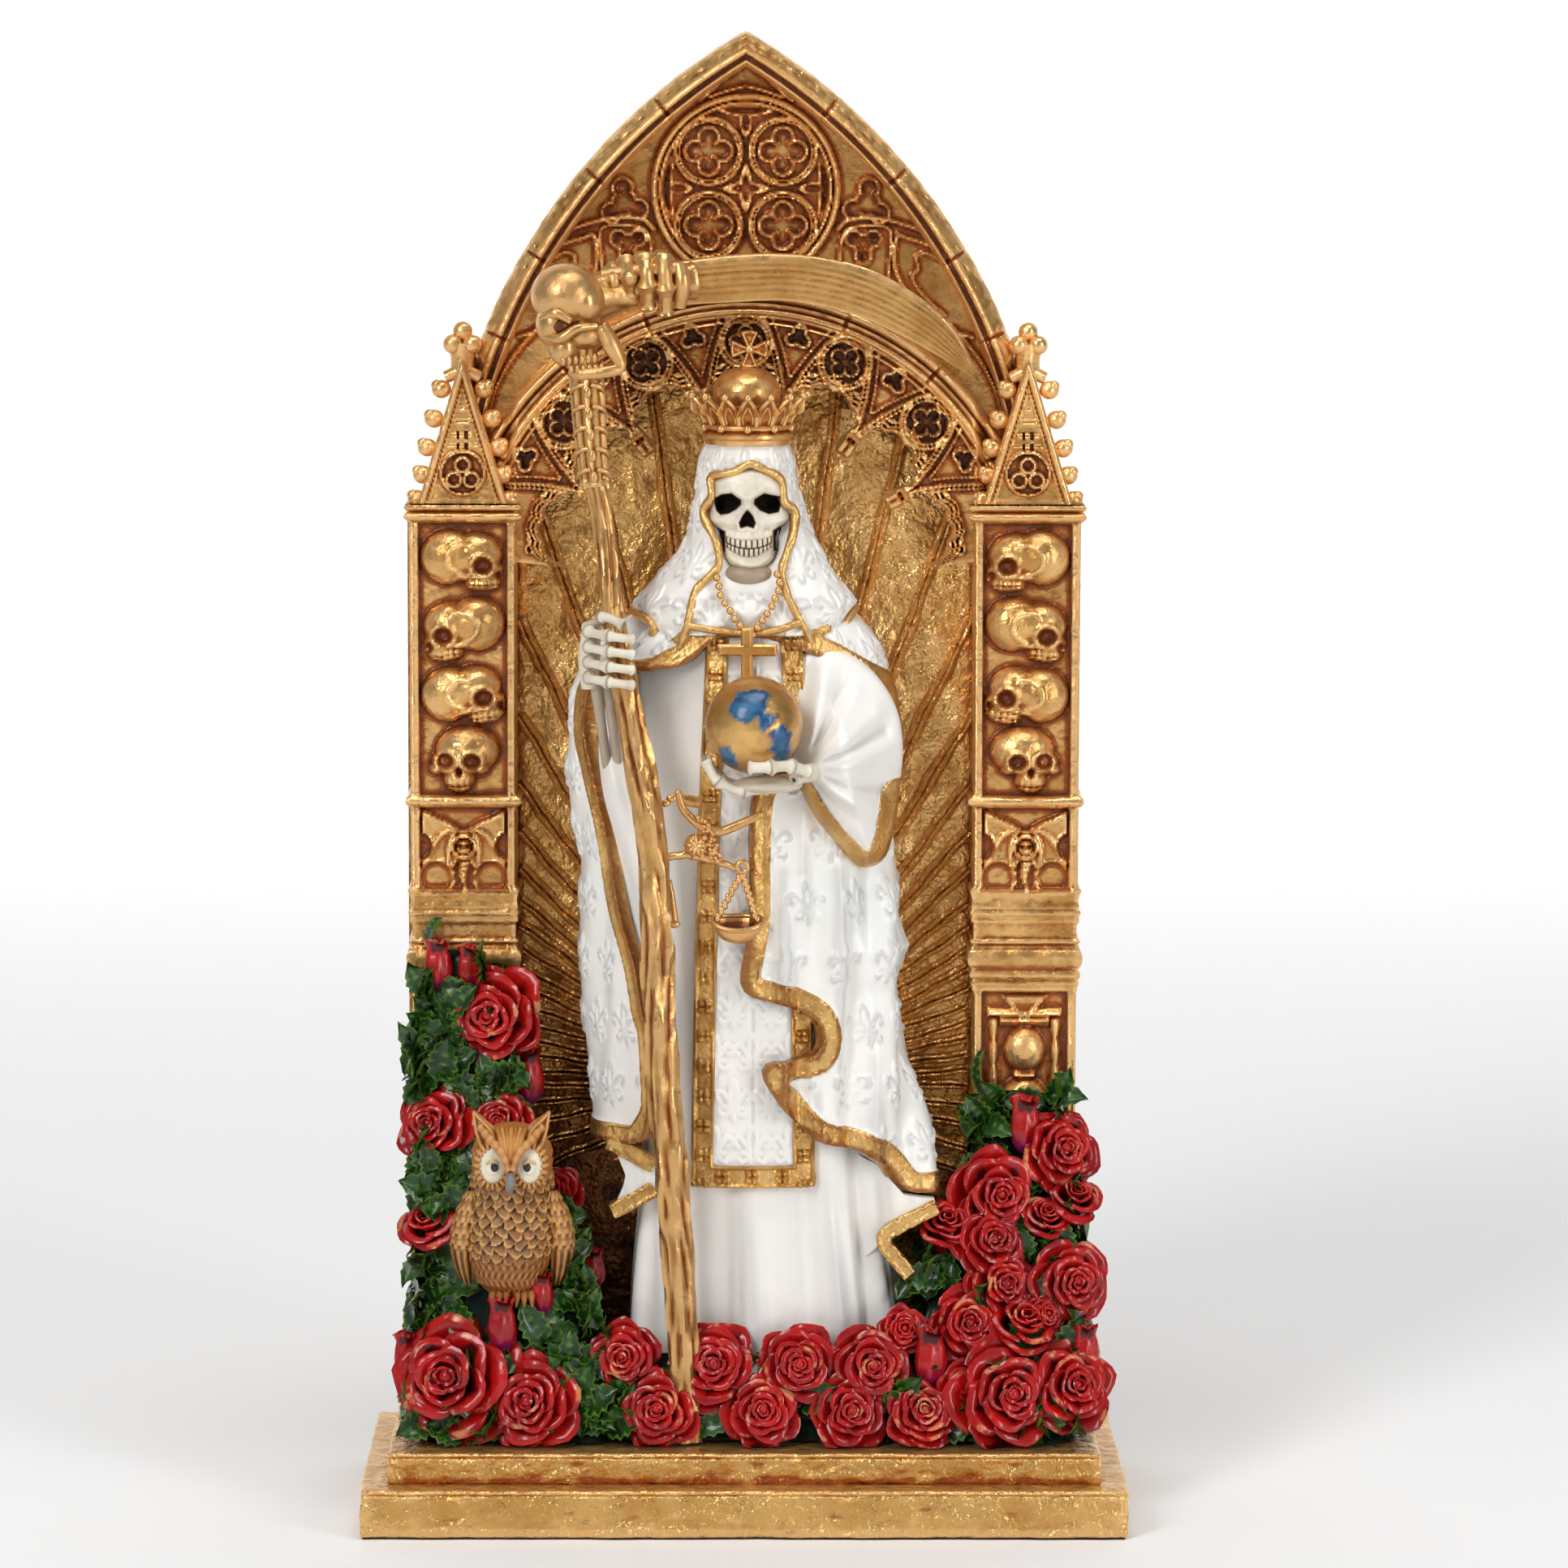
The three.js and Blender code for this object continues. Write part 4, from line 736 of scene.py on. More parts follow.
def hanging_height(u, r):
    theta = u / 50
    h = 0.1 * ripple(u, r, 1.1) + 0.05 * ripple(u, r, 0.5, 2) - 0.2
    x, z = r * np.sin(theta), r * np.cos(theta)
    raised = []
    for k in BAY_MIDDLES:
        far = np.hypot(x - 49.4 * math.sin(k * BAY), z - 49.4 * math.cos(k * BAY))
        foil = arch_foil(x, z, k * BAY, 49.4, 4, 1.85, 1.12, 0 if k == 0 else math.pi / 4, 1.2)
        raised += [1.6 * roll(far - 5.3, 0.45), 1.3 * roll(far - 4.45, 0.35), 1.2 * roll(foil - 0.3, 0.32)]
        h = h - 0.9 * ((far < 4.1) & (foil > 0.5)) - 1.9 * smooth_step(-foil, -0.1, 0.25)
    for k in BOSS_PLACES:
        a = k * BAY
        foil = arch_foil(x, z, a, 51.4, 3, 1.35, 0.85, a, 1.2)
        raised.append(1.2 * roll(foil - 0.35, 0.42))
        h = h - 1.9 * smooth_step(-foil, -0.1, 0.25)
        for sign in (-1, 1):
            t = np.clip((r - 37.5) / 18, 0, 1)
            lean = (theta - a) * sign * 180 / np.pi
            rib = (lean - 8.6 * t**1.15) * np.pi / 180 * r
            near = (r > 37.2) & (lean > -0.6) & (r < 54.5)
            raised.append(near * 1.5 * np.maximum(roll(rib - 0.1, 0.42), 0.8 * roll(rib - 1.0, 0.34)))
            raised.append((near & (t > 0.3)) * 0.8 * roll(rib + 1.5, 0.32))
            h = h + sunk_foil(np.hypot((lean - 8.7) * 0.9, (r - 53.0) * 0.9) - 0.55, 0.25, 0.5, 1.2)
    for k in range(-3, 4):
        for sign in (-1, 1):
            a = k * BAY + sign * math.radians(7.2)
            h = h + sunk_foil(arch_foil(x, z, a, 43.6, 3, 1.15, 0.72, a + math.pi, 0.4), 0.32, 0.7, 1.5)
    edge = -hanging_edge(u, r)
    edge_rolls = ((1.4, 0.55, 0.5), (1.1, 1.6, 0.4), (0.8, 2.6, 0.36))
    raised += [(r < 46) * rise * roll(edge - line, w) for rise, line, w in edge_rolls]
    raised += [0.8 * roll(r - 53.2, 0.35), 0.9 * roll(r - 54.6, 0.5)]
    boss = from_boss(theta, r)
    leaf = 2.3 * smooth_step(1.7 - np.maximum(boss, np.abs(r - 34.6)), 0, 0.5) - 0.7 * roll(boss, 0.35)
    inner_bays = np.abs(theta) < 3 * BAY
    raised += [inner_bays * leaf, inner_bays * 2.5 * roll(r - 37.2, 0.6) * (boss < 2.1)]
    return highest(h, raised, 0.02)


# %% Hanging tracery
def hanging_place(u, r, depth):
    x = r * np.sin(u / 50)
    return at(x, depth + 3.0 * smooth_step(np.abs(x), 46.5, 49), INNER_CENTRE + r * np.cos(u / 50))


def hanging_painted_shade(u, r):
    # painted shade: the deeper a point lies, the darker it is painted, so the foils go nearly black
    depth = -hanging_height(u, r)
    return {"shade": 0.2 * smooth_step(depth, -0.6, 0.1) + 0.42 * smooth_step(depth, 1.0, 2.0) - 0.1}


hanging = Clay()
trimmed(
    hanging,
    lambda u, r: hanging_place(u, r, 10.4 - hanging_height(u, r)),
    np.arange(-73.6, 73.61, 0.39),
    np.arange(32, 55.8, 0.33),
    hanging_edge,
    back=lambda u, r: hanging_place(u, r, 13.9),
    paint=hanging_painted_shade,
)
piece("hanging_tracery", hanging, "shrine", shrine_gold, rounds=4, reach=0.26)

# %% [markdown]
# ## The back of the niche
# Gilded and hammered, with rays that start low behind the figure. Each ray is a pair of thin fillets,
# laid on as a strip of its own, because a height field fine enough for them would be wasted on the plain
# gold between. Low down the rays crowd together, and painted shade darkens the gold there nearly to
# black; the left side is painted darker too, as shade away from the light.

# %% Niche back
niche_gold = gold_paint(
    "niche gold", (0.82, 0.49, 0.17), (0.58, 0.30, 0.08), (0.26, 0.09, 0.022), (0.03, 0.013, 0.006),
    0.27, 1.0, 0.25,
)
NICHE_WALL, RAY_CENTRE = 21.9, 82
LOW_RAYS = [1.5, 7.5, 13.5, 19.5, 25.5, 31, 36.2, 41, 45.6]
RAYS = np.radians(LOW_RAYS + list(range(50, 91, 4)) + [95, 100, 106, 112])
RAY_ACROSS = np.array([-1.75, -1.35, -1.05, -0.62, -0.28, 0, 0.28, 0.62, 1.05, 1.35, 1.75])
RAY_RISE = np.array([-0.9, -0.25, 0.55, 0.95, 0.6, 0.15, 0.6, 0.95, 0.55, -0.25, -0.9])


def niche_height(x, z):
    h = -0.3 + 0.5 * ripple(x, z, 2.7) + 0.16 * ripple(x, z, 1.4, 5)
    return h - 0.8 * smooth_step(np.abs(x) - 46.3, -0.5, 0) * (z < 203)


# painted shade: darker low down behind the figure, and on the left, away from the light
def niche_shade(x, z):
    low = 0.8 * smooth_step(-z, -122, -62) * (1 - 0.45 * smooth_step(x, -10, 30))
    return low + 0.44 * smooth_step(-x, -20, 30) - 0.24


def niche_edge(x, z):
    arch_part = np.where(z > INNER_CENTRE, np.hypot(x, z - INNER_CENTRE), np.abs(x)) - 58
    return np.maximum(arch_part, np.abs(x) - np.where(z < 203, 46.9, 58))


niche = Clay()
wide = np.concatenate([np.arange(-57.6, -16, 0.95), np.linspace(-15.6, 15.6, 14), np.arange(16, 57.7, 0.95)])
tall = np.concatenate([np.arange(16.5, 60, 2.0), np.arange(60.4, 245.5, 1.1)])
niche_paint = {"paint": lambda x, z: {"shade": niche_shade(x, z)}}
pressed(niche, lambda x, z: NICHE_WALL - niche_height(x, z), wide, tall, niche_edge, **niche_paint)
for side in (-1, 1):
    for k, ray in enumerate(RAYS):
        sway, up = math.sin(ray), math.cos(ray)
        wall = 46.0 / sway
        to_arch = INNER_CENTRE - RAY_CENTRE
        arch_reach = to_arch * up + math.sqrt(max(0, 56.5**2 - (to_arch * sway) ** 2)) if ray < 0.56 else 0
        reach = min(wall, arch_reach) if wall * up > 121 else wall
        far = np.linspace(15, reach, 26)[:, None]
        waver = 0.16 * np.sin(far * 0.31 + 2.2 * k + side) + 0.1 * np.sin(far * 0.83 + k)
        off = RAY_ACROSS * min(1.0, 0.42 + 0.0075 * reach) + waver
        x = side * (far * sway + off * up)
        z = RAY_CENTRE + far * up - off * sway
        x = np.clip(x, -46.6, 46.6) if ray > 0.42 else x
        strip = at(x, NICHE_WALL - RAY_RISE * (0.8 + 0.12 * np.sin(far * 0.6 + k)), z)
        niche.add(strip, grid(*x.shape), towards=(0, -1, 0), shade=niche_shade(x, z).ravel() - 0.1)
piece("niche_back", niche, "shrine", niche_gold, rounds=3, reach=0.3)

# %% [markdown]
# ## Columns
# A column is a stack: pedestal with an hourglass, mouldings, a bat-winged panel, and a shaft with four
# skulls between filleted strips. A height says how far each point of the front stands out, as if the
# carving were pressed in a mould. Skulls could be modelled whole, but only their front half is ever cast.

# %% The stack of mouldings, and soft domes to build carvings from
COLUMN_X, COLUMN_FRONT = 57.2, 8.5
STACK_Z = [16.4, 103, 104, 113, 113.6, 114.6, 117.2, 117.9, 124, 141.4, 199.4, 199.8, 203.2]
STACK_OUT = [-0.4, -0.4, -0.1, 0.1, -0.7, -0.8, -0.4, 0.2, -0.1, -0.1, 0, 0.1, 0.1]
STACK_ROLLS = [(107, 1.0, 0.8), (110.4, 2.1, 1.2), (118.4, 0.6, 0.5), (121, 0.6, 0.5), (123.3, 0.6, 0.5)]
STACK_ROLLS += [(124.2, 0.6, 0.9), (119.7, 0.55, 0.8), (113.9, 0.5, 0.7), (105.2, 0.5, 0.5)]
STACK_ROLLS += [(142.6, 1.1, 1.3), (200.6, 0.9, 1.4), (202.5, 0.75, 1.4)]


def stack(z):
    out = np.interp(z, STACK_Z, STACK_OUT)
    for centre, width, rise in STACK_ROLLS:
        out = np.maximum(out, rise * roll(z - centre, width) - 0.3)
    return out


def domes(x, z, width, *entries):
    """Domes of (x, z, half width, half height, rise), with soft valleys where they meet."""
    total = None
    for cx, cz, half_width, half_height, rise in entries:
        far = np.hypot((x - cx) / half_width, (z - cz) / half_height)
        other = rise * np.sqrt(np.clip(1 - far**2, 0, 1)) - 9 * (far >= 1)
        total = other if total is None else soft_join(total, other, width)
    return total


def soft_join(first, second, width):
    share = np.clip(0.5 + 0.5 * (first - second) / width, 0, 1)
    return second + (first - second) * share + width * share * (1 - share)


# %% Bat panel and hourglass
def bat_panel(x, z):
    m = np.abs(x)
    top = 136.9 + 3.6 * np.clip((m - 1.4) / 7.0, 0, 1) ** 0.75
    scoops = np.minimum(np.hypot(m - 5.6, z - 126.8) - 3.2, np.hypot(m - 9.6, z - 133.2) - 2.8)
    wing = np.max([z - top, -scoops, m - 8.7, 124.8 - z, 2.4 - m - 0.6 * (z - 128)], 0)
    h = 1.25 * smooth_step(-wing, 0, 0.5) + 0.35 * roll(wing + 0.4, 0.4)
    for across, up in ((8.4, 140.3), (6.9, 131.4), (3.2, 127.6)):
        elbow = ((1.4 + across) / 2 + 0.7, (137.0 + up) / 2 + 1.3)
        bone_line = smooth_path([(1.4, 137.0), elbow, (across, up)], 12)
        h = h + (wing < 0.2) * 0.75 * roll(line_distance(m, z, bone_line), 0.42)
    head = np.hypot(x, z - 133.2)
    h = np.max([h, 0.8 * roll(scoops - 0.3, 0.4) * (z < 131), 2.3 * roll(head - 2.2, 0.6)], 0)
    h = np.maximum(np.where(head < 1.9, 0.6, h), domes(x, z, 1, (0, 133.0, 1.7, 1.9, 2.5)))
    h = h - 1.3 * smooth_step(-np.hypot(m - 0.75, z - 133.3), -0.62, -0.35)
    spine = roll(x + 0.25 * np.sin(z), 0.9 * smooth_step(z, 124, 130) + 0.35)
    return np.maximum(h, (1.6 + 0.3 * np.sin(z * 5)) * spine * (z < 131.4))


def hourglass_panel(x, z):
    m = np.abs(x)
    parts = [
        0 * x, 3.4 * roll(np.hypot(x, (z - 91.6) * 0.92), 4.3), 3.6 * roll(np.hypot(x, (z - 80.8) * 0.92), 4.7)
    ]
    bars = (
        (2.2, 86.3, 0.8, 2.4), (1.8, 97.4, 0.8, 5), (1.8, 74.8, 0.9, 5.2), (1.5, 98.9, 0.7, 7.6),
        (1.6, 72.2, 1.0, 7.6),
    )
    parts += [rise * roll(z - level, width) * (m < half) for rise, level, width, half in bars]
    ring = 1 + 0.25 * np.cos((z - 86) * 2 * np.pi / 5.2)
    parts.append(1.7 * roll((m - 6.5) / ring, 0.85) * (np.abs(z - 85.5) < 12.5))
    drop = np.maximum(m * 1.1 + (z - 103) * -0.9 - 5.8, z - 102.8)
    parts.append(1.2 * smooth_step(-drop, 0, 0.5) - 0.5 * smooth_step(-drop, 1.0, 1.4))
    leaf = shape_distance(m, z, [(0, 62), (2.6, 64.4), (5.4, 62.6), (7.4, 66.4), (6, 70.8), (0, 71)])
    parts.append(1.5 * smooth_step(-leaf, 0, 0.6) + 0.4 * np.sin(m * 3) * (leaf < 0))
    return np.max(parts, 0)


# %% Pressed skulls
def bite_marks(h, where, across, up, gap, line):
    """Gaps between the teeth, and the deep line where the rows meet."""
    return h - where * (gap * (1 - np.abs(np.sin(across)) ** 0.5) + line * bell(up, 0.25))


def side_skull(x, z):
    """A skull seen three quarters from the side, facing right, about 17 mm wide."""
    h = domes(x, z, 0.9, (-2.7, 0.6, 5.9, 5.6, 4.6), (2.4, 1.0, 5.6, 4.7, 4.3), (4.4, -2.4, 3.9, 3.4, 3.7))
    for jaw in ((4.0, -4.6, 3.9, 1.7, 3.6), (1.0, -3.2, 4.0, 0.8, 3.9)):
        h = soft_join(h, domes(x, z, 1, jaw), 0.5)
    h = h + 0.5 * roll(np.hypot((x - 0.3) / 1.15, z - 0.4) - 3.0, 0.45) * (x < 2.4)
    eye = np.hypot((x - 4.1) / 1.08, z + 0.9)
    h = h + 0.6 * roll(eye - 2.2, 0.5) - 2.2 * smooth_step(-eye, -2.2, -0.9)
    h = h - 1.9 * smooth_step(-np.hypot((x - 7.3) / 0.75, z + 3.0), -1.2, -0.6)
    teeth = (np.abs(z + 5.0) < 1.5) & (x > 0.9) & (x < 7.9)
    h = bite_marks(h, teeth, (x - 0.9) * 2.4, z + 5.1, 0.7, 0.9)
    return h - 1.2 * smooth_step(-np.hypot((x + 0.6) / 1.6, z + 5.0), -1.1, -0.5)


def front_skull(x, z):
    """A skull seen nearly from the front, its face turned a little to the left."""
    m = np.abs(x + 0.9)
    h = domes(x, z, 0.8, (0.9, 1.9, 6.6, 4.9, 4.7), (-0.9, -0.6, 5.6, 3.0, 4.6), (-0.9, -4.0, 3.3, 2.9, 4.2))
    h = soft_join(h, domes(m, z, 1, (4.5, -1.9, 1.7, 1.1, 3.6)), 0.5)
    eye = np.hypot((m - 2.7) / 1.2, z + 0.2)
    h = h + 0.5 * roll(eye - 1.9, 0.45) - 2.2 * smooth_step(-eye, -1.9, -0.8)
    h = h - 1.8 * smooth_step(-np.hypot((x + 0.9) / 0.9, (z + 2.4) / 1.3), -1.0, -0.4)
    return bite_marks(h, (z < -3.9) & (z > -7.2) & (m < 3.8), (x + 0.9) * 2.3, z + 5.4, 0.8, 1.0)


# %% Columns
SKULL_LEVELS, SUNK = (191.7, 177.9, 164.2, 151.2), 1.35


def column_relief(x, z, side, skulls):
    m = np.abs(x)
    bat_part, glass_part = (z > 124.3) & (z < 141.2), (z > 45) & (z < 103.4)
    framed = ((z > 143.8) & (z < 199.2)) | bat_part | glass_part
    strip = np.maximum(roll(m - 9.35, 0.5), roll(m - 10.3, 0.42))
    h = np.where(framed & (m < 8.8), -SUNK, 0.0) + np.where(framed & (m > 8.8), 0.55 * strip - 0.25, 0)
    h = h + 0.12 * ripple(x * 1.3, z, 1.1, 2 + side) + 0.05 * ripple(x, z, 0.45, 1)
    for part, carving in ((bat_part, bat_panel), (glass_part, hourglass_panel)):
        h = np.where((m < 8.8) & part, np.maximum(h, carving(x, z) - SUNK), h)
    for level, (skull, way, lean) in zip(SKULL_LEVELS, skulls):
        near = (np.abs(z - level) < 8.4) & (m < 9.2)
        px, pz = way * x[near], z[near] - level
        cl, sl = math.cos(lean), math.sin(lean)
        h[near] = np.maximum(h[near], skull(px * cl + pz * sl, pz * cl - px * sl) - SUNK)
    return h


def make_column(name, side, skulls):
    clay = Clay()
    levels = ((16.5, 62, 1.6), (62.4, 102, 0.7), (102.3, 124, 0.42), (124.2, 203.4, 0.44))
    z = np.concatenate([np.arange(*level) for level in levels])
    Z, X = np.meshgrid(z, np.linspace(-10.8, 10.8, 53), indexing="ij")
    out = stack(Z)
    depth = COLUMN_FRONT - out - column_relief(X, Z, side, skulls)
    front = at(side * COLUMN_X + X * (10.8 + out) / 10.8, depth, Z)
    walls = []
    for k in (0, -1):
        y = np.linspace(32.9, 9.4, 9)
        dent = (-1 if k == 0 else 1) * 0.12 * ripple(y, z[:, None], 1.3)
        walls.append(at(front[:, k, :1] + dent, y, z[:, None]))
    rows = np.concatenate([walls[0], front, walls[1][:, ::-1]], 1)
    # the side walls darken towards the back panel as painted shade
    shade = 0.22 * smooth_step(rows[..., 1].ravel(), 12, 26)
    clay.add(rows, grid(*rows.shape[:2]), towards=(0, -1, 0), shade=shade)
    cap = at(side * COLUMN_X + np.array([[-10.9], [10.9]]), np.array([8.2, 32.9]), 203.3)
    clay.add(cap, grid(2, 2), towards=(0, 0, 1))
    piece(name, clay, "shrine", shrine_gold, rounds=5, reach=0.34, sharp=70)


def skulls_looking(way):
    return [(side_skull, way, 0.0), (side_skull, -way, -0.12), (side_skull, way, 0.14), (front_skull, way, 0.0)]


make_column("column_left", -1, skulls_looking(1))
make_column("column_right", 1, skulls_looking(-1))

# %% [markdown]
# ## Pinnacles
# Each column carries a steep gable with a ringed trefoil, rows of little window blocks, round crockets up
# its edges and a knot of balls on top. The flat part is pressed like the tracery, and the balls are laid
# on it.

# %% Pinnacles
GABLE_BASE, GABLE_TOP, GABLE_HALF, GABLE_BACK = 203.2, 231.0, 8.4, 26.0
GABLE_BLOCKS = ((214.3, 215.4, 3.4), (216.4, 217.7, 2.4), (219.1, 220.7, 1.7), (221.8, 223.2, 0.8))
CROCKETS = ((9.7, 203.9), (8.6, 208.9), (7.6, 214.4), (6.2, 220.2), (4.7, 226.2))


def gable_half_width(z):
    return GABLE_HALF * (GABLE_TOP - z) / (GABLE_TOP - GABLE_BASE) + 0.75


def gable_height(x, z):
    m = np.abs(x)
    edge = (gable_half_width(z) - m) * 0.96
    h = 0.1 * ripple(x, z, 0.8) - 1.0 * smooth_step(edge, 1.5, 2.0) * (z > 205)
    ring = np.hypot(x, z - 209.3)
    edge_rolls = [0.9 * roll(edge - 0.85, 0.75), 0.7 * roll(edge - 2.0, 0.3) - 0.4]
    h = np.max([h] + edge_rolls + [1.2 * roll(ring - 4.3, 0.5) - 0.5], 0)
    h = np.where(ring < 4.0, -0.7, h)
    for cx, cz in ((0, 211.0), (-1.75, 208.0), (1.75, 208.0)):
        hole = np.hypot(x - cx, z - cz)
        h = np.where(hole < 1.9, np.maximum(h, 0.3 + 0.7 * roll(hole - 1.35, 0.45)), h)
        h = np.where(hole < 1.05, -1.2, h)
    for low, high, half in GABLE_BLOCKS:
        block = np.maximum(m - half, np.abs(z - (low + high) / 2) - (high - low) / 2)
        h = np.maximum(h, -1.0 + 1.3 * smooth_step(-block, 0, 0.25) - 0.6 * smooth_step(-block, 0.35, 0.55))
        h = np.where((block < 0) & (half > 2) & (np.abs(m - 0.8) < 0.2), -1.0, h)
    return h


def make_pinnacle(name, side):
    clay = Clay()
    cx = side * COLUMN_X
    trimmed(
        clay,
        lambda x, z: at(cx + x, 9.8 - gable_height(x, z), z),
        np.arange(-9.6, 9.61, 0.3),
        np.arange(GABLE_BASE - 0.3, 232, 0.3),
        lambda x, z: np.maximum(np.abs(x) - gable_half_width(z), GABLE_BASE - z),
        back=lambda x, z: at(cx + x * 0.9, GABLE_BACK, z),
    )
    share = np.linspace(0, 1, 12)[:, None]
    rear = at(cx + np.array([-1, 1]) * GABLE_HALF * (1 - share * 0.92), GABLE_BACK, GABLE_BASE + share * 27.8)
    clay.add(rear, grid(12, 2), towards=(0, 1, 0))
    for wing in (-1, 1):
        for out, up in CROCKETS:
            egg(clay, (cx + wing * (out - 0.4), 12.0, up), (2.0, 1.9, 1.9), 18, 12)
            egg(clay, (cx + wing * (out + 0.5), 11.4, up + 0.9), (1.2, 1.3, 1.1), 12, 8)
    rod(clay, [(cx - 3.4, 12.5, 228.6), (cx, 12, 229.9), (cx + 3.4, 12.5, 228.6)], 16, [1.3, 1.4, 1.3])
    neck = [(cx, 12.5, 228.5), (cx, 12.5, 232.5), (cx, 12.5, 235.5)]
    rod(clay, neck, 12, [2.3, 2.2, 2.6], 16, swell=lambda t, a: 1 + 0.08 * np.cos(4 * a))
    for out, y, up in ((0, 12.5, 237.9), (-1.95, 11.6, 235.3), (1.95, 11.6, 235.3), (0, 15.2, 235.3)):
        egg(clay, (cx + out, y, up), 2.0, 20, 12)
    piece(name, clay, "shrine", shrine_gold, rounds=4, reach=0.3)


make_pinnacle("pinnacle_left", -1)
make_pinnacle("pinnacle_right", 1)

# %% [markdown]
# ## Back of the shrine
# Nobody paints the back of such a figure with care: it is flat, hammered and browner. One coarse surface,
# cut to the outline of the shrine, is enough.

# %% Plain back
def back_edge(x, z):
    arch_part = outside_arch(x, z, ARCH_RADIUS - 0.3)
    low_part = np.maximum(np.abs(x) - 68.5, z - 203)
    shoulder = np.minimum(np.maximum(arch_part, 200 - z), low_part)
    return np.where(z > 203, arch_part, np.where(z > 200, shoulder, low_part))


def back_depth(x, z):
    return 32.8 + 0.15 * ripple(x, z, 2.4) + 0.08 * ripple(x, z, 1.1, 2)


back_panel = Clay()
field = (-69.5, 69.6, 2.8), (16.4, 299.5, 2.8)
pressed(back_panel, back_depth, *field, back_edge, towards=(0, 1, 0), shade=0.1)
back_gold = gold_paint(
    "brown gold", (0.44, 0.24, 0.075), (0.34, 0.17, 0.05), (0.22, 0.085, 0.025), BROWN_WASH, 0.42, 0.7, 0.3
)
piece("plain_back", back_panel, "shrine", back_gold)

# %% [markdown]
# ## White cloth with gold hems
# The robe is white satin paint over moulded cloth. Lilies are pressed into it in staggered rows, and
# every hem has a broad gold band. Cloth simulation would give folds of its own choice, so the folds are
# drawn here as waves. Where paint changes from white to gold, the mark crosses one half, which keeps the
# painted edge clean.

# %% Cloth paint
def cloth_paint(name):
    b = Brush(name)
    hollow = b.wash_and_shade(0.8)
    white = b.mottled(14, (0.84, 0.83, 0.79), (0.90, 0.87, 0.82), 0.35, 0.7)
    white = b.blend(b.rise(b.noise(22, 2), 0.5, 0.75, 0, 0.5), white, (0.77, 0.82, 0.79))
    # grey in the hollows is painted shade, so the white relief shows; the shade mark darkens the white as painted
    # shade
    white = b.blend(b.rise(hollow, 0.05, 0.7, 0, 0.45), white, (0.45, 0.44, 0.45))
    white = b.blend(b.mark("shade"), white, (0.34, 0.31, 0.27))
    gold = b.mottled(7, (0.52, 0.28, 0.075), (0.74, 0.46, 0.16))
    rubbed = b.total(hollow, b.centred(b.noise(1.2, 3, 0.6)))
    gold = b.blend(b.rise(rubbed, 0.35, 1.4), gold, (0.34, 0.14, 0.035))
    gold = b.blend(b.mark("bright"), gold, (0.74, 0.46, 0.16))
    trim = b.rise(b.mark("trim"), 0.46, 0.54)
    b.set(Base_Color=b.blend(trim, white, gold), Metallic=b.times(trim, 0.85))
    b.set(Roughness=b.rise(b.noise(5, 2), 0.3, 0.7, 0.34, 0.46), Coat_Weight=0.25, Coat_Roughness=0.2)
    b.bump((b.noise(3.4, 2), 0.12), (b.noise(0.6, 2), 0.03), (b.times(b.noise(1.3, 2), trim), 0.35))
    return b.material


def edge_mark(distance):
    return np.clip(0.5 + distance / 2.4, 0, 1)


white_cloth = cloth_paint("white cloth with gold hems")
print("cloth paint:", white_cloth.name)


# %% Pressed lilies and pebbled gold
def lily(x, z):
    """A pressed lily about 9 mm tall, as a height."""
    m = np.abs(x)
    petal = np.hypot(x / 1.15, (z - 1.6) / 3.2) - 1
    rib = 0.5 * smooth_step(-np.hypot(x / 0.5, (z - 1.6) / 2.2), -1, -0.6)
    curl = line_distance(m, z, [(0.5, -1), (1.5, 0.9), (2.6, 2.0), (3.6, 1.6), (3.7, 0.6), (3.0, 0.2)])
    knot = np.maximum(np.abs(z + 1.25), m - 1.7)
    foot = 1 - np.hypot(x / 0.7, (z + 3.0) / 1.6)
    tail = line_distance(m, z, [(0.5, -1.6), (1.3, -2.7), (2.3, -3.1), (2.7, -2.4)])
    parts = [smooth_step(-petal, -0.12, 0.25) - rib, roll(curl, 0.55), roll(knot, 0.5)]
    return np.max(parts + [smooth_step(foot, -0.1, 0.3), 0.9 * roll(tail, 0.45)], 0)


def off_row(value, pitch):
    """How far a value is from the nearest place of an even row."""
    return value - pitch * np.round(value / pitch)


def pressed_lilies(s, z, pitch=11.5, step=12.5):
    row = np.round(z / step)
    return lily(off_row(s - pitch * 0.5 * (row % 2), pitch), z - step * row)


def pebbles(x, z):
    return 0.5 + 0.5 * np.sin(x * 3.1 + 1.3 * np.sin(z * 2.2)) * np.sin(z * 3.3 + 1.1 * np.sin(x * 2.7))


# %% [markdown]
# ## Cloak and robe
# One recipe serves for cloak, robe and veil. The cloth is a ring of points at each height, wider or
# narrower by a table of left, right, front and back. It is cut open at the front along a drawn edge, and
# a wall folds inwards there to show its thickness.

# %% A ring of cloth
def widths_at(table, z):
    """Left, right, front and back at a height."""
    return [np.interp(z, table[:, 0], table[:, k]) for k in range(1, 5)]


def ring_point(table, u, z, swell=0.0, power=0.85):
    """A point on the cloth: u is the angle, -90 degrees at the front."""
    left, right, front, back = widths_at(table, z)
    c, s = np.cos(u), np.sin(u)
    x = (left + right) / 2 + ((right - left) / 2 + swell) * np.sign(c) * np.abs(c) ** power
    y = (front + back) / 2 + ((back - front) / 2 + swell) * np.sign(s) * np.abs(s) ** power
    return at(x, y, z)


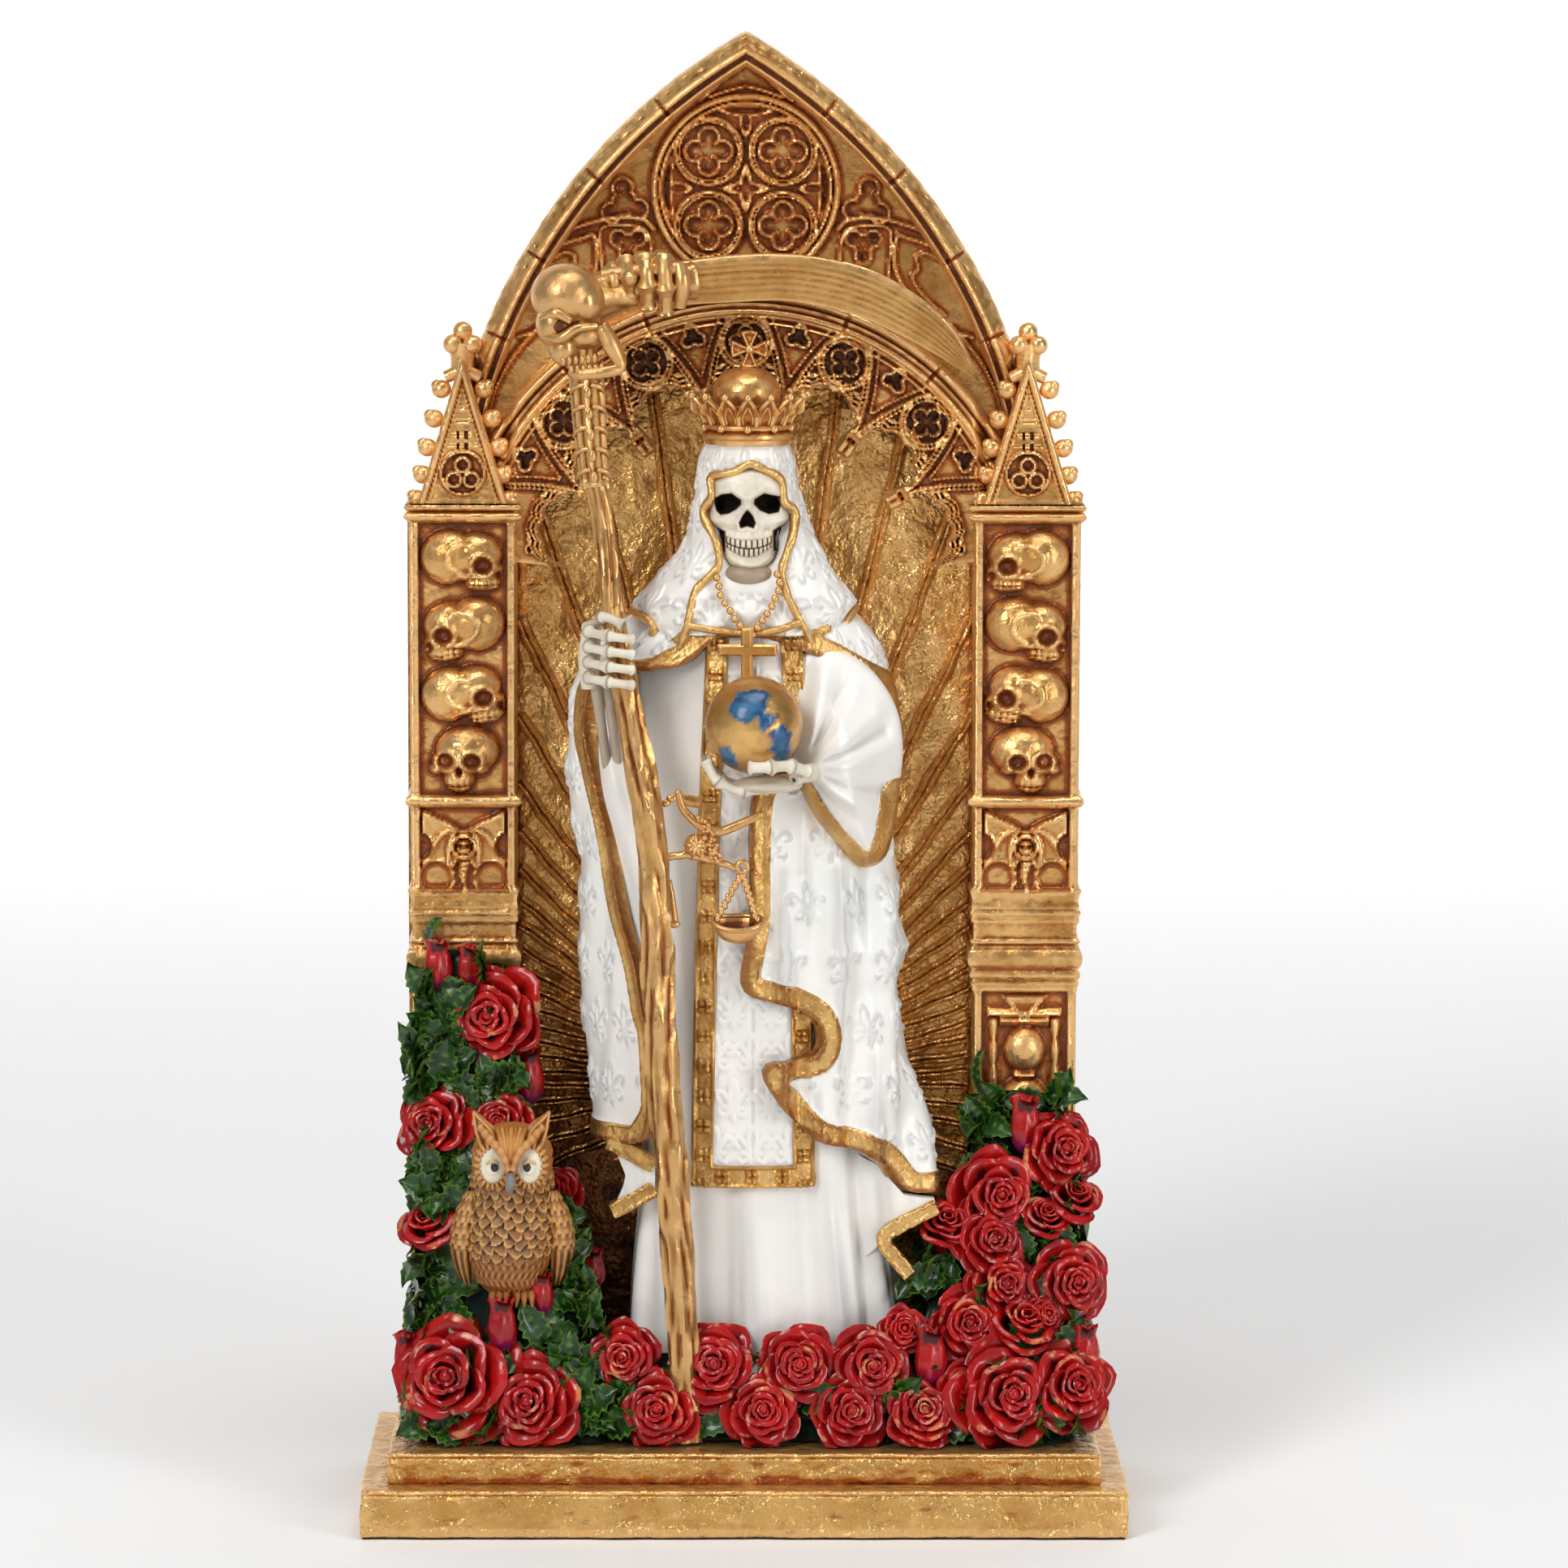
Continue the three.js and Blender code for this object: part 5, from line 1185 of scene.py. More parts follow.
def make_cloth(clay, table, angles, heights, opening, fold, relief, wall, band, power=0.85):
    """opening(x, z, front) is a signed distance, positive where the cloth is cut away."""

    def skin(u, z, lift=0.0):
        return ring_point(table, u, z, fold(u, z) + lift, power)

    def cut(u, z):
        p = skin(u, z)
        return opening(p[..., 0], z, p[..., 1] < 2)

    def hem(u, z):
        return band(ring_point(table, u, z, 0.0, power)[..., 0], z)

    trimmed(
        clay,
        lambda u, z: skin(u, z, relief(u, z, cut(u, z), hem(u, z))),
        angles,
        heights,
        cut,
        back=lambda u, z: skin(u, z, -wall),
        paint=lambda u, z: {"trim": edge_mark(cut(u, z) + hem(u, z))},
    )


def half_turns(front_steps, back_steps):
    """Angles round a ring, closer together at the front."""
    return np.concatenate([np.linspace(-math.pi, 0, front_steps), np.linspace(0, math.pi, back_steps)[1:]])


# %% Cloak
MANTLE = np.array([
    [58, -29, 40, -15.5, 19], [66, -30.8, 39.1, -16.5, 19], [77, -30.8, 36.9, -17, 19],
    [88, -31.4, 34.8, -17, 19], [98, -32, 32.8, -17, 19], [106.4, -32.4, 31.5, -17, 19],
    [114.7, -32.8, 33.4, -17, 19], [121.4, -33.2, 31.1, -17, 19], [131.6, -33.6, 29.5, -17, 19],
    [140, -35.4, 29.2, -16, 19], [150, -36.2, 30.6, -15, 19], [158, -35.8, 31.6, -14, 19],
    [167, -35.2, 30.2, -13, 18], [175, -31.6, 27.4, -12, 17], [181, -24, 23.5, -11, 15],
    [188, -15, 15, -9, 13],
])
MANTLE_OPENING = smooth_loop([
    (-0.5, 178.3), (-6.0, 177.7), (-12.3, 172.6), (-21.1, 171.1), (-30.0, 168.8), (-31.8, 159.1),
    (-30.1, 150.4), (-27.3, 138.5), (-25.1, 124.4), (-21.9, 112.4), (-20.3, 102.8), (-18.9, 96.5),
    (-19.4, 77.2), (-30.7, 75.8), (-42, 74.5), (-42, 50), (46, 50), (46, 62), (41.3, 64.4), (38.8, 65.2),
    (32.6, 65.8), (27.7, 71.7), (23.3, 74.4), (13.8, 77.6), (5.2, 87.0), (4.1, 92.3), (14.0, 94.4),
    (14.7, 100.5), (9.0, 104.2), (-0.6, 108.0), (0.8, 121.6), (2.1, 148.2), (12.9, 153.4), (36, 161),
    (36, 164.4), (29.1, 165.7), (15.5, 173.6), (5.0, 177.7),
], 260)


def mantle_opening(x, z, front):
    cut = -shape_distance(x, z, MANTLE_OPENING)
    cut = np.where(z > 130, np.minimum(cut, 27.6 - x), cut)
    neck = np.minimum(z - 179.6 - 0.012 * x * x, 13 - np.abs(x))
    return np.where(front, np.maximum(cut, neck), 60.5 + 16 * smooth_step(-x, 5, 16) - z)


def mantle_fold(u, z):
    x, y, _ = np.moveaxis(ring_point(MANTLE, u, z), -1, 0)
    right = smooth_step(x, 0, 8) * (y < 2) * smooth_step(-z, -152, -120)
    left = smooth_step(-x, 22, 30) * smooth_step(-z, -160, -110)
    back = smooth_step(y, 8, 14) * smooth_step(-z, -185, -120)
    f = 0.7 * np.sin(5 * u + z * 0.05) * smooth_step(-z, -165, -90)
    f = f + right * (1.3 * np.sin(x * 0.62 - z * 0.035 + 0.5) + 0.5 * np.sin(x * 1.15 + z * 0.05))
    f = f + left * 0.6 * np.sin(x * 0.9 - z * 0.06)
    return f + back * 0.9 * np.sin(x * 0.5 + 0.4 * np.sin(z * 0.03)) - 0.2


def mantle_relief(u, z, d, band):
    """A gold band along the edge, d being the distance outwards from it, and lilies elsewhere."""
    s = u * 29
    border = np.maximum(roll(d + 0.55, 0.5), roll(d + band - 0.5, 0.45))
    gold_part = 0.45 + 0.3 * border + 0.22 * pebbles(s, z) * (1 - border)
    lilies = (d < -band - 0.2) * 0.6 * pressed_lilies(s, z)
    return (d > -band) * gold_part * smooth_step(d, -band, -band + 0.35) + lilies


def mantle_band(x, z):
    return 4.1 - 1.7 * smooth_step(-x, 14, 20) * smooth_step(z, 78, 84)


mantle = Clay()
turn = 0.02 * math.pi
front_angles = np.linspace(turn - math.pi, -turn, 192)
angles = np.concatenate([[-math.pi, turn / 2 - math.pi], front_angles, np.linspace(-turn, math.pi, 44)[1:]])
heights = np.arange(59, 187.6, 0.62)
make_cloth(mantle, MANTLE, angles, heights, mantle_opening, mantle_fold, mantle_relief, 2.2, mantle_band)
piece("cloak", mantle, "figure", white_cloth, rounds=4, reach=0.35)

# %% Robe
ROBE = np.array([
    [16.6, -24.5, 33, -14, 15], [41, -23.3, 31.8, -13, 15], [62, -21.8, 29, -12, 16], [100, -20, 26, -11.5, 17],
    [156, -22.5, 22, -11, 17], [171, -22.5, 20, -10.5, 17], [180, -15, 15, -9.5, 14], [192, -7, 7, -7, 9],
])


def robe_fold(u, z):
    low = smooth_step(-z, -92, -40)
    high = smooth_step(-z, -176, -150) * smooth_step(z, 80, 110)
    f = low * (1.25 * np.sin(11 * u + 0.4 * np.sin(z * 0.05)) + 0.55 * np.sin(23 * u + 1.0 + z * 0.02))
    return f + high * 0.45 * np.sin(9 * u + z * 0.03) - 0.35


robe = Clay()
heights = np.concatenate([np.arange(16.7, 80, 1.3), np.arange(80, 191, 2.6)])
trimmed(robe, lambda u, z: ring_point(ROBE, u, z, robe_fold(u, z)), half_turns(130, 15), heights)
piece("robe", robe, "figure", white_cloth, rounds=6, reach=0.8)

# %% [markdown]
# ## The panel down the front
# A narrow panel hangs from the chest with a gold border on three sides. Small four-leaved studs sit in
# the border every 6 mm, and the white middle is pressed all over. It is flat enough to be one height
# field.

# %% Front panel
PANEL_Z, PANEL_FOOT, STUD_PITCH = [66.5, 110, 143, 168, 180], 66.9, 6.1


def panel_edges(x, z):
    """How far a point lies inside the nearer side of the panel, and inside its nearest edge."""
    left = np.interp(z, PANEL_Z, [-10.9, -10.2, -9.4, -8.3, -7.8])
    right = np.interp(z, PANEL_Z, [14.3, 13.6, 12.8, 12.0, 11.2])
    side = np.minimum(x - left, right - x)
    return side, np.minimum(side, z - PANEL_FOOT)


def stud(across, up):
    return lobes(across, up, (0, 0), 4, 0.95, 0.72, math.pi / 4)


def panel_depth(x, z):
    side, band = panel_edges(x, z)
    h = np.where(band < 4.3, 0.5 + 0.12 * pebbles(x, z), 0.0)
    h = np.max([h, roll(band - 0.45, 0.45) + 0.1, roll(band - 4.1, 0.4) + 0.1], 0)
    upright = stud(np.where(side < 4.3, side - 2.3, 9), off_row(z, STUD_PITCH))
    low = np.where(side > 4.3, stud(off_row(x - 1.5, STUD_PITCH), np.where(z < 71.2, z - 69.2, 9)), 9)
    h = h + 0.85 * smooth_step(-np.minimum(upright, low), 0, 0.3)
    h = h + (band > 4.6) * 0.35 * (pressed_lilies(x - 1.6, z, 7.6, 9.4) - bell(x - 1.7, 0.35))
    hang = 0.012 * (x - 1.6) ** 2 + 0.25 * np.sin(z * 0.07) + 0.15 * np.maximum(z - 165, 0)
    return hang - 13.1 - h


panel = Clay()
pressed(
    panel,
    panel_depth,
    (-11.4, 14.7, 0.38),
    (66.4, 178.5, 0.46),
    lambda x, z: -np.minimum(panel_edges(x, z)[1], 178 - z),
    back=-10.2,
    paint=lambda x, z: {"trim": edge_mark(4.5 - panel_edges(x, z)[1])},
)
piece("front_panel", panel, "figure", white_cloth, rounds=4, reach=0.3)

# %% [markdown]
# ## Veil
# The veil frames the skull with a wavy gold cord, and its lining closes the neck below the chin. The
# shell is a ring of cloth like the cloak. The lining is a height field behind the opening, as only its
# front is ever seen.

# %% Veil
VEIL = np.array([
    [173.4, -15, 16, -12, 12], [176.4, -21, 18, -13.5, 15], [180.4, -23.6, 21.4, -13.5, 15],
    [184.4, -22.4, 22.5, -13.4, 15], [190.4, -17.6, 18, -12.6, 14], [194.4, -13.8, 16, -12.4, 13],
    [200.4, -11.6, 13.1, -12.4, 12], [208.4, -10, 10.6, -12, 11], [213.4, -9, 9.6, -11, 10],
    [216.6, -7.7, 8.6, -8, 8],
])
VEIL_PLACES = [
    (1.3, 212.8), (-1.0, 212.1), (-2.5, 211.1), (-6.3, 210.5), (-7.0, 209.4), (-6.8, 206.4), (-7.5, 205),
    (-8.5, 203.6), (-8.3, 201.8), (-6.6, 198.8), (-5.5, 196), (-5.3, 193.4), (-6.0, 191.6), (-8.8, 189),
    (-10.4, 186.4), (-11.3, 182.3), (-12.9, 176.8), (-15.6, 174.8), (-18.6, 177.2), (-18.6, 180.6),
    (-22.7, 182.6), (-30, 183), (-30, 160), (30, 160), (30, 185), (22.2, 183.5), (15.5, 175.2),
    (10.5, 182.6), (8.1, 187.4), (7.3, 191.6), (8.0, 194.5), (9.5, 198.5), (10.0, 201.6), (9.6, 203.8),
    (7.6, 205.4), (7.4, 208.6), (6.6, 210.1), (4.4, 211.4),
]
CORD = smooth_path(VEIL_PLACES[25:] + VEIL_PLACES[:21], 150)
VEIL_OPENING = smooth_loop(VEIL_PLACES, 190)
veil = Clay()
make_cloth(
    veil,
    VEIL,
    half_turns(185, 24),
    np.arange(173.6, 216.5, 0.38),
    lambda x, z, front: np.where(front, -shape_distance(x, z, VEIL_OPENING), 176 - z),
    lambda u, z: 0.35 * np.sin(4 * u + 0.12 * z) - 0.25,
    lambda u, z, d, band: np.where(d > -0.8, 0.1, 0.5 * pressed_lilies(u * 13, z, 8.4, 9.2)),
    1.6,
    lambda x, z: 0.6 + 1.6 * smooth_step(-z, -181, -176),
    power=0.9,
)

# %% Lining of the veil, and its cord
SKULL_OUTLINE = [
    (1.2, 212.6), (-2.1, 211.9), (-4.4, 210.9), (-6.3, 209.6), (-6.4, 207), (-7.0, 205.4), (-7.3, 203.4),
    (-7.3, 201.6), (-6.6, 200.6), (-5.5, 199.8), (-5.0, 198.0), (-4.7, 196), (-4.4, 194.6), (-2.8, 193),
    (-1.0, 192.3), (0.9, 192.0), (3.0, 192.3), (4.6, 193.3), (5.8, 194.3), (6.1, 196.2), (6.1, 198.4),
    (6.8, 200.4), (8.2, 201.2), (8.8, 202.2), (8.5, 203.6), (7.5, 205), (7.3, 207), (6.8, 209),
    (5.0, 210.8), (3.4, 211.9),
]
FACE_MIDDLE, FACE_TOP, FACE_WIDER, FACE_TALLER = 0.65, 212.6, 1.075, 1.035


def veil_front(x, z):
    """Depth of the veil's front, as if it weren't cut open."""
    left, right, front, back = widths_at(VEIL, z)
    share = np.clip(np.abs(x - (left + right) / 2) / ((right - left) / 2), 0, 1) ** (1 / 0.9)
    return (front + back) / 2 - (back - front) / 2 * np.sqrt(1 - share**2) ** 0.9


def lining_depth(x, z):
    inward = -shape_distance(x, z, VEIL_OPENING)
    hood = smooth_step(z, 187, 196)
    flat_x = FACE_MIDDLE + (x - FACE_MIDDLE) / FACE_WIDER
    behind_face = -shape_distance(flat_x, FACE_TOP + (z - FACE_TOP) / FACE_TALLER, SKULL_OUTLINE)
    y = hood * (veil_front(x, z) + 1.1 + 2.6 * smooth_step(inward, -0.2, 2.6)) - 11.9 * (1 - hood)
    y = y + 4.2 * smooth_step(behind_face, 0.4, 1.2) * hood
    drape = 0.5 * np.sin(0.9 * z + 0.05 * x * x) * smooth_step(-z, -190, -186)
    return y - 0.5 * pressed_lilies(x - 1, z, 7.4, 7) * smooth_step(-z, -188, -185) - drape


def lining_edge(x, z):
    return np.maximum(shape_distance(x, z, VEIL_OPENING) - 0.9, 178.6 - z)


pressed(veil, lining_depth, (-13, 14, 0.45), (178.2, 215, 0.45), lining_edge)
collar = [
    (-11.4, -12.6, 180.6), (-5.5, -12.9, 179.6), (0, -13.1, 179.3), (5.5, -13.0, 179.6),
    (11.2, -12.8, 181.4),
]
rod(veil, collar, 60, [0.75], trim=1.0)
cord = at(CORD[:, 0], veil_front(*CORD.T) - 0.1, CORD[:, 1])
add_tube(veil, cord, [0.85], 10, swell=lambda t, a: 1 + 0.12 * np.sin(150 * t + 2 * a), trim=1.0, bright=1.0)
piece("veil", veil, "figure", white_cloth, rounds=4, reach=0.3)

# %% [markdown]
# ## Sleeves
# One sleeve bulges and hangs open below the wrist, with folds that fan out from the elbow. The other is
# pulled up round the arm that holds the staff, so a thick rod with soft ridges is enough. Short hems and
# scraps of cloth close the gaps beside the cloak.

# %% Hanging sleeve and raised arm
SLEEVE_PLACES = [
    (8.4, 150.5), (10.4, 147), (12.7, 143.1), (17.4, 137), (22.6, 131.8), (27.6, 132.9), (29.9, 139),
    (31.2, 149), (31.6, 157), (30, 164.5), (25.6, 171), (19.8, 175), (13.4, 176), (8.6, 172), (6.6, 164),
    (8.0, 157.5),
]
SLEEVE = smooth_loop(SLEEVE_PLACES, 90)
SLEEVE_WALL = -4.0


def from_hem(x, z):
    return line_distance(x, z, SLEEVE_PLACES[:7] + [(30.8, 146)])


def sleeve_depth(x, z):
    d = -shape_distance(x, z, SLEEVE)
    puff = np.sqrt(np.clip(d / 11, 0, 1))
    y = -8.5 - 13.5 * smooth_step(-z, -176, -146) * puff * smooth_step(-x, -36, -18) - 5 * puff
    fan, far = np.arctan2(z - 153, x - 11.5), np.hypot(x - 11.5, z - 153)
    ridge = np.sin(fan * 9.5 + 0.10 * far + 0.5 * np.sin(far * 0.3)) + 0.45 * np.sin(fan * 17 - 0.12 * far)
    ridge = ridge * smooth_step(far, 2, 8) * smooth_step(d, 0.3, 4)
    y = y - 1.25 * ridge * (0.55 + 0.45 * smooth_step(-far, -24, -12))
    hem = from_hem(x, z)
    gold_part = 0.45 + 0.22 * pebbles(x, z) + 0.3 * roll(hem - 3.5, 0.4) + 0.3 * roll(hem - 0.5, 0.45)
    return y - (hem < 3.9) * gold_part


sleeve = Clay()
trimmed(
    sleeve,
    lambda x, z: at(x, sleeve_depth(x, z), z),
    np.arange(5.6, 33.2, 0.42),
    np.arange(130.5, 177.5, 0.42),
    lambda x, z: shape_distance(x, z, SLEEVE),
    back=lambda x, z: at(x * 0.98 + 0.3, SLEEVE_WALL, z),
    paint=lambda x, z: {"trim": edge_mark(3.9 - from_hem(x, z))},
)
wall_foot = sleeve.points[-1][:, 1] > SLEEVE_WALL - 0.1
sleeve.marks[-1]["trim"] = np.where(wall_foot, -2, sleeve.marks[-1]["trim"])


def arm_folds(t, a):
    return 1 + 0.07 * np.sin(5 * a + 6 * t) + 0.05 * np.sin(3 * a - 9 * t)


limb = [(-25, 2, 171), (-25.6, -3, 156), (-24.6, -6, 147), (-22, -7, 135), (-19.6, -6.5, 122), (-18.5, -5, 104)]
rod(sleeve, limb, 70, [3.5, 4.7, 5.4, 5.2, 4.6, 2.5], 40, swell=arm_folds)


# %% Short hems and scraps of cloth
def ribbon(clay, places, y, half):
    """A flat gold hem along a path, cut square at both ends."""
    path = smooth_path(places, 40)
    low, high = path.min(0) - half - 0.4, path.max(0) + half + 0.4

    def edge(x, z):
        d = line_distance(x, z, path) - half
        for end, before in ((path[0], path[3]), (path[-1], path[-4])):
            way = (end - before) / np.hypot(*(end - before))
            d = np.maximum(d, (x - end[0]) * way[0] + (z - end[1]) * way[1])
        return d

    def depth(x, z):
        return y - 0.35 - 0.35 * roll(line_distance(x, z, path) - half + 0.4, 0.4) - 0.2 * pebbles(x, z)

    pressed(clay, depth, (low[0], high[0], 0.4), (low[1], high[1], 0.4), edge, back=y + 2.5, trim=1.0)


def flap(clay, outline, depth):
    low, high = np.min(outline, 0) - 0.5, np.max(outline, 0) + 0.5
    pressed(
        clay,
        lambda x, z: depth(x) + 0.35 * np.sin(x * 1.2 + z * 0.1),
        (low[0], high[0], 0.6),
        (low[1], high[1], 0.6),
        lambda x, z: shape_distance(x, z, outline),
        back=lambda x, z: depth(x) + 3,
    )


LEFT_FLAP = [
    (-27.2, 77), (-25.6, 72.6), (-24.0, 68.6), (-24.6, 66), (-26.8, 61.2), (-20, 62.8), (-18, 66.5),
    (-18, 72),
]
RIGHT_FLAP = [(22, 73), (27.2, 70.4), (32.2, 65.0), (38.4, 64.2), (38.6, 63), (30, 58.4), (28, 55), (24, 51)]
flap(sleeve, LEFT_FLAP, lambda x: -9.2)
ribbon(sleeve, [(-27.6, 75.6), (-23.4, 73.6), (-18.2, 70.8)], -9.6, 1.6)
ribbon(sleeve, [(-26.8, 61.4), (-23.6, 62.9), (-18.2, 66.0)], -9.6, 1.6)
flap(sleeve, RIGHT_FLAP, lambda x: -6.6 - 4.6 * smooth_step(x, 23, 34))
ribbon(sleeve, [(38.8, 62.8), (34, 60.4), (28.8, 57.2), (28.4, 55), (30.4, 52.4), (33.4, 48.8)], -12.0, 1.5)
piece("sleeves", sleeve, "figure", white_cloth, rounds=6, reach=0.6)

# %% [markdown]
# ## Skull
# Bone is painted ivory, then washed brown: the wash stays in the sockets and between the teeth. The face
# is a height field as well, because it looks straight ahead. Sockets, nose and cheeks are drawn outlines,
# sunk with soft edges, and the same drawing says where the wash lies.

# %% Bone paint
bone = Brush("washed bone")
wash = bone.total(bone.wash_and_shade(0.9), bone.centred(bone.noise(2.2), 0.35))
ivory = bone.mottled(5, (0.66, 0.59, 0.46), (0.80, 0.74, 0.62), 0.3, 0.7)
ivory = bone.blend(bone.rise(wash, 0.02, 0.6), ivory, (0.30, 0.22, 0.13))
ivory = bone.blend(bone.rise(wash, 0.45, 1.1), ivory, (0.06, 0.04, 0.025))
# the socket mark holds dark wash in sockets and creases, and painted shade under the chin and on the forearm
# bones
sunk = bone.mark("socket")
ivory = bone.blend(bone.rise(sunk, 0.0, 0.55), ivory, (0.22, 0.14, 0.07))
ivory = bone.blend(bone.rise(sunk, 0.45, 0.9), ivory, (0.024, 0.016, 0.011))
bone.set(Base_Color=ivory, Roughness=bone.rise(bone.noise(3), 0.3, 0.7, 0.32, 0.5), Coat_Roughness=0.25)
bone.set(Coat_Weight=bone.rise(sunk, 0.2, 0.6, 0.25, 0), Specular_IOR_Level=bone.rise(sunk, 0.2, 0.8, 0.4, 0.02))
bone.bump((bone.noise(1.6, 3), 0.1), (bone.noise(0.4), 0.03))
bone_paint = bone.material

# %% Drawing of the face
SOCKETS = [
    [(-5.6, 206.1), (-4.4, 206.9), (-2.6, 207.2), (-1.8, 206.5), (-1.0, 206), (-0.9, 205.2), (-1.8, 204.2),
     (-3.1, 203.4), (-4.6, 203.1), (-5.3, 203.8), (-5.6, 205)],
    [(1.8, 206.1), (3.5, 207.2), (4.9, 206.8), (6.5, 206.4), (6.5, 205.2), (6.1, 203.6), (4.4, 203.3),
     (2.8, 204.0), (1.7, 205.2)],
]
NOSE = [
    (0.35, 204), (1.3, 202.9), (1.85, 201.5), (1.5, 200.5), (0.35, 200.9), (-0.9, 200.5), (-1.15, 201.5),
    (-0.5, 202.9),
]
CHEEK_HOLLOWS = [
    [(-5.3, 200.2), (-3.9, 199.6), (-3.9, 197.6), (-4.0, 196.0), (-4.5, 196.4), (-4.9, 198.6)],
    [(6.4, 200.4), (5.3, 199.9), (5.3, 198), (5.4, 196.2), (5.9, 196.4), (6.0, 198.6)],
]
FACE_Z = [191.8, 193, 195, 197, 199, 201, 203.5, 205.5, 207.4, 209.5, 211, 212.6]
FACE_PROFILE = [5.6, 6.9, 6.8, 7.4, 6.6, 6.3, 6.2, 6.4, 7.6, 7.5, 6.8, 5.4]


def teeth_relief(x, z):
    """Height and wash of the two rows of teeth, the gums and the roots above them."""
    m = x - FACE_MIDDLE
    bite, top_gum, low_gum = 196.6 + 0.06 * m**2, 198.0 + 0.035 * m**2, 195.2 + 0.11 * m**2
    mouth = smooth_step(z, low_gum - 0.35, low_gum + 0.1) * smooth_step(-z, -top_gum - 0.3, -top_gum + 0.1)
    mouth = mouth * smooth_step(-np.abs(m), -4.4, -4.0)
    turn = np.arcsin(np.clip(m / 5.0, -1, 1))
    number = np.where(z > bite, turn / 0.215 + 0.5, turn / 0.185)
    gap, off_bite = np.abs(off_row(number, 1)), np.abs(z - bite)
    tooth = smooth_step(gap, 0.0, 0.3)
    h = mouth * (0.9 * tooth * np.minimum(off_bite / 0.45, 1) ** 0.6 - 0.35)
    between = 0.55 * (1 - smooth_step(gap, 0.02, 0.2)) + 0.75 * (1 - smooth_step(off_bite, 0.05, 0.25))
    gum = bell(z - top_gum - 0.2, 0.22) + bell(z - low_gum + 0.1, 0.25)
    for k in range(-4, 5):
        h = h + 0.16 * bell(m - 1.12 * k, 0.3) * smooth_step(z, 198.4, 198.9) * smooth_step(-z, -200.4, -199.4)
    return h, mouth * (between - 0.25 * tooth) + 0.3 * gum * (np.abs(m) < 4.4)


def face_relief(x, z):
    """Depth of the face towards the viewer in mm, and how much brown wash lies there."""
    m = x - FACE_MIDDLE
    rim = shape_distance(x, z, SKULL_OUTLINE)
    h, wash = teeth_relief(x, z)
    h = h + np.interp(z, FACE_Z, FACE_PROFILE) * np.sqrt(np.clip(1 - (m / 8.3) ** 2, 0.02, 1))
    h = h - 1.7 * smooth_step(rim, -1.3, 0.1)
    wash = wash + 0.2 * smooth_step(rim, -1.8, 0) + 0.25 * smooth_step(rim, -0.7, 0)
    wash = wash + 0.3 * smooth_step(np.abs(m), 3.4, 5.2) * smooth_step(-z, -201, -199.6)
    for socket in SOCKETS:
        gap = shape_distance(x, z, socket)
        rim_roll = (0.35 + 0.5 * smooth_step(z, 204.6, 206)) * bell(gap - 0.55, 0.6)
        h = h + rim_roll - 3.8 * smooth_step(-gap, -0.2, 0.7)
        wash = wash + 1.6 * smooth_step(-gap, -0.25, 0.25) + 0.16 * bell(gap, 0.7)
    gap = shape_distance(x, z, NOSE)
    h = h + 0.35 * bell(gap - 0.4, 0.4) - 2.2 * smooth_step(-gap, -0.2, 0.5)
    wash = wash + 1.2 * smooth_step(-gap, -0.2, 0.25)
    h = h + 0.9 * bell(x - 0.4, 0.9) * smooth_step(z, 203.2, 204.6) * smooth_step(-z, -207.6, -206)
    for side, cx in ((-1, -5.3), (1, 6.7)):
        h = h + 1.15 * bell(x - cx, 1.9) * bell(z - 201.9 - 0.15 * side * (x - cx), 0.85)
        h = h - 0.7 * bell(m - side * 3.2, 1.2) * bell(z - 200.2, 0.8)
    for cheek in CHEEK_HOLLOWS:
        gap = shape_distance(x, z, cheek)
        h = h - 2.4 * smooth_step(-gap, -0.35, 0.35)
        wash = wash + 0.8 * smooth_step(-gap, -0.4, 0.3)
    h = h + 0.7 * bell(x - 0.8, 1.9) * bell(z - 193.3, 0.9)
    return h + 0.12 * ripple(x * 2, z * 2, 1.3), wash


# %% Skull
def face_place(x, z, depth):
    """The face is drawn a little narrow and short, and is widened from its top middle."""
    return at(FACE_MIDDLE + (x - FACE_MIDDLE) * FACE_WIDER, depth, FACE_TOP + (z - FACE_TOP) * FACE_TALLER)


skull = Clay()
trimmed(
    skull,
    lambda x, z: face_place(x, z, -5.2 - face_relief(x, z)[0]),
    np.arange(-7.8, 9.4, 0.155),
    np.arange(191.4, 213.2, 0.155),
    lambda x, z: shape_distance(x, z, SKULL_OUTLINE),
    back=lambda x, z: face_place(x, z, -5.4),
    paint=lambda x, z: {"socket": np.clip(face_relief(x, z)[1], 0, 1) * 0.98 + 0.02},
)
# a flat egg under the jaw, painted brown, is painted shade: the shadow under the chin
egg(skull, (0.6, -9.2, 190.6), (5.2, 3.4, 2.6), 34, 14, socket=0.36)
piece("skull", skull, "figure", bone_paint, rounds=3, reach=0.4)

# %% [markdown]
# ## Hands
# Each finger is one rod that swells at its knuckles, with wash in the creases. One hand closes round the
# staff in four bent fingers and a thumb, and the other lies open, palm up, with the globe on it.

# %% Hands
def finger(clay, places, radius, count=44, sides=16, knuckles=3):
    def swell(t, a):
        part = (t * knuckles) % 1
        thick = 0.8 + 0.34 * bell(part - 1, 0.2) + 0.3 * bell(part - 0.02, 0.13) + 0.22 * bell(part - 0.98, 0.13)
        return thick * (1 - 0.6 * smooth_step(t, 0.95, 1))

    joint = np.abs((np.linspace(0, 1, count) * knuckles) % 1 - 0.5) * 2
    wash = np.append(np.repeat(0.5 * smooth_step(joint, 0.86, 0.99), sides), [0.2, 0.2])
    rod(clay, places, count, [radius], sides, swell=swell, socket=wash)


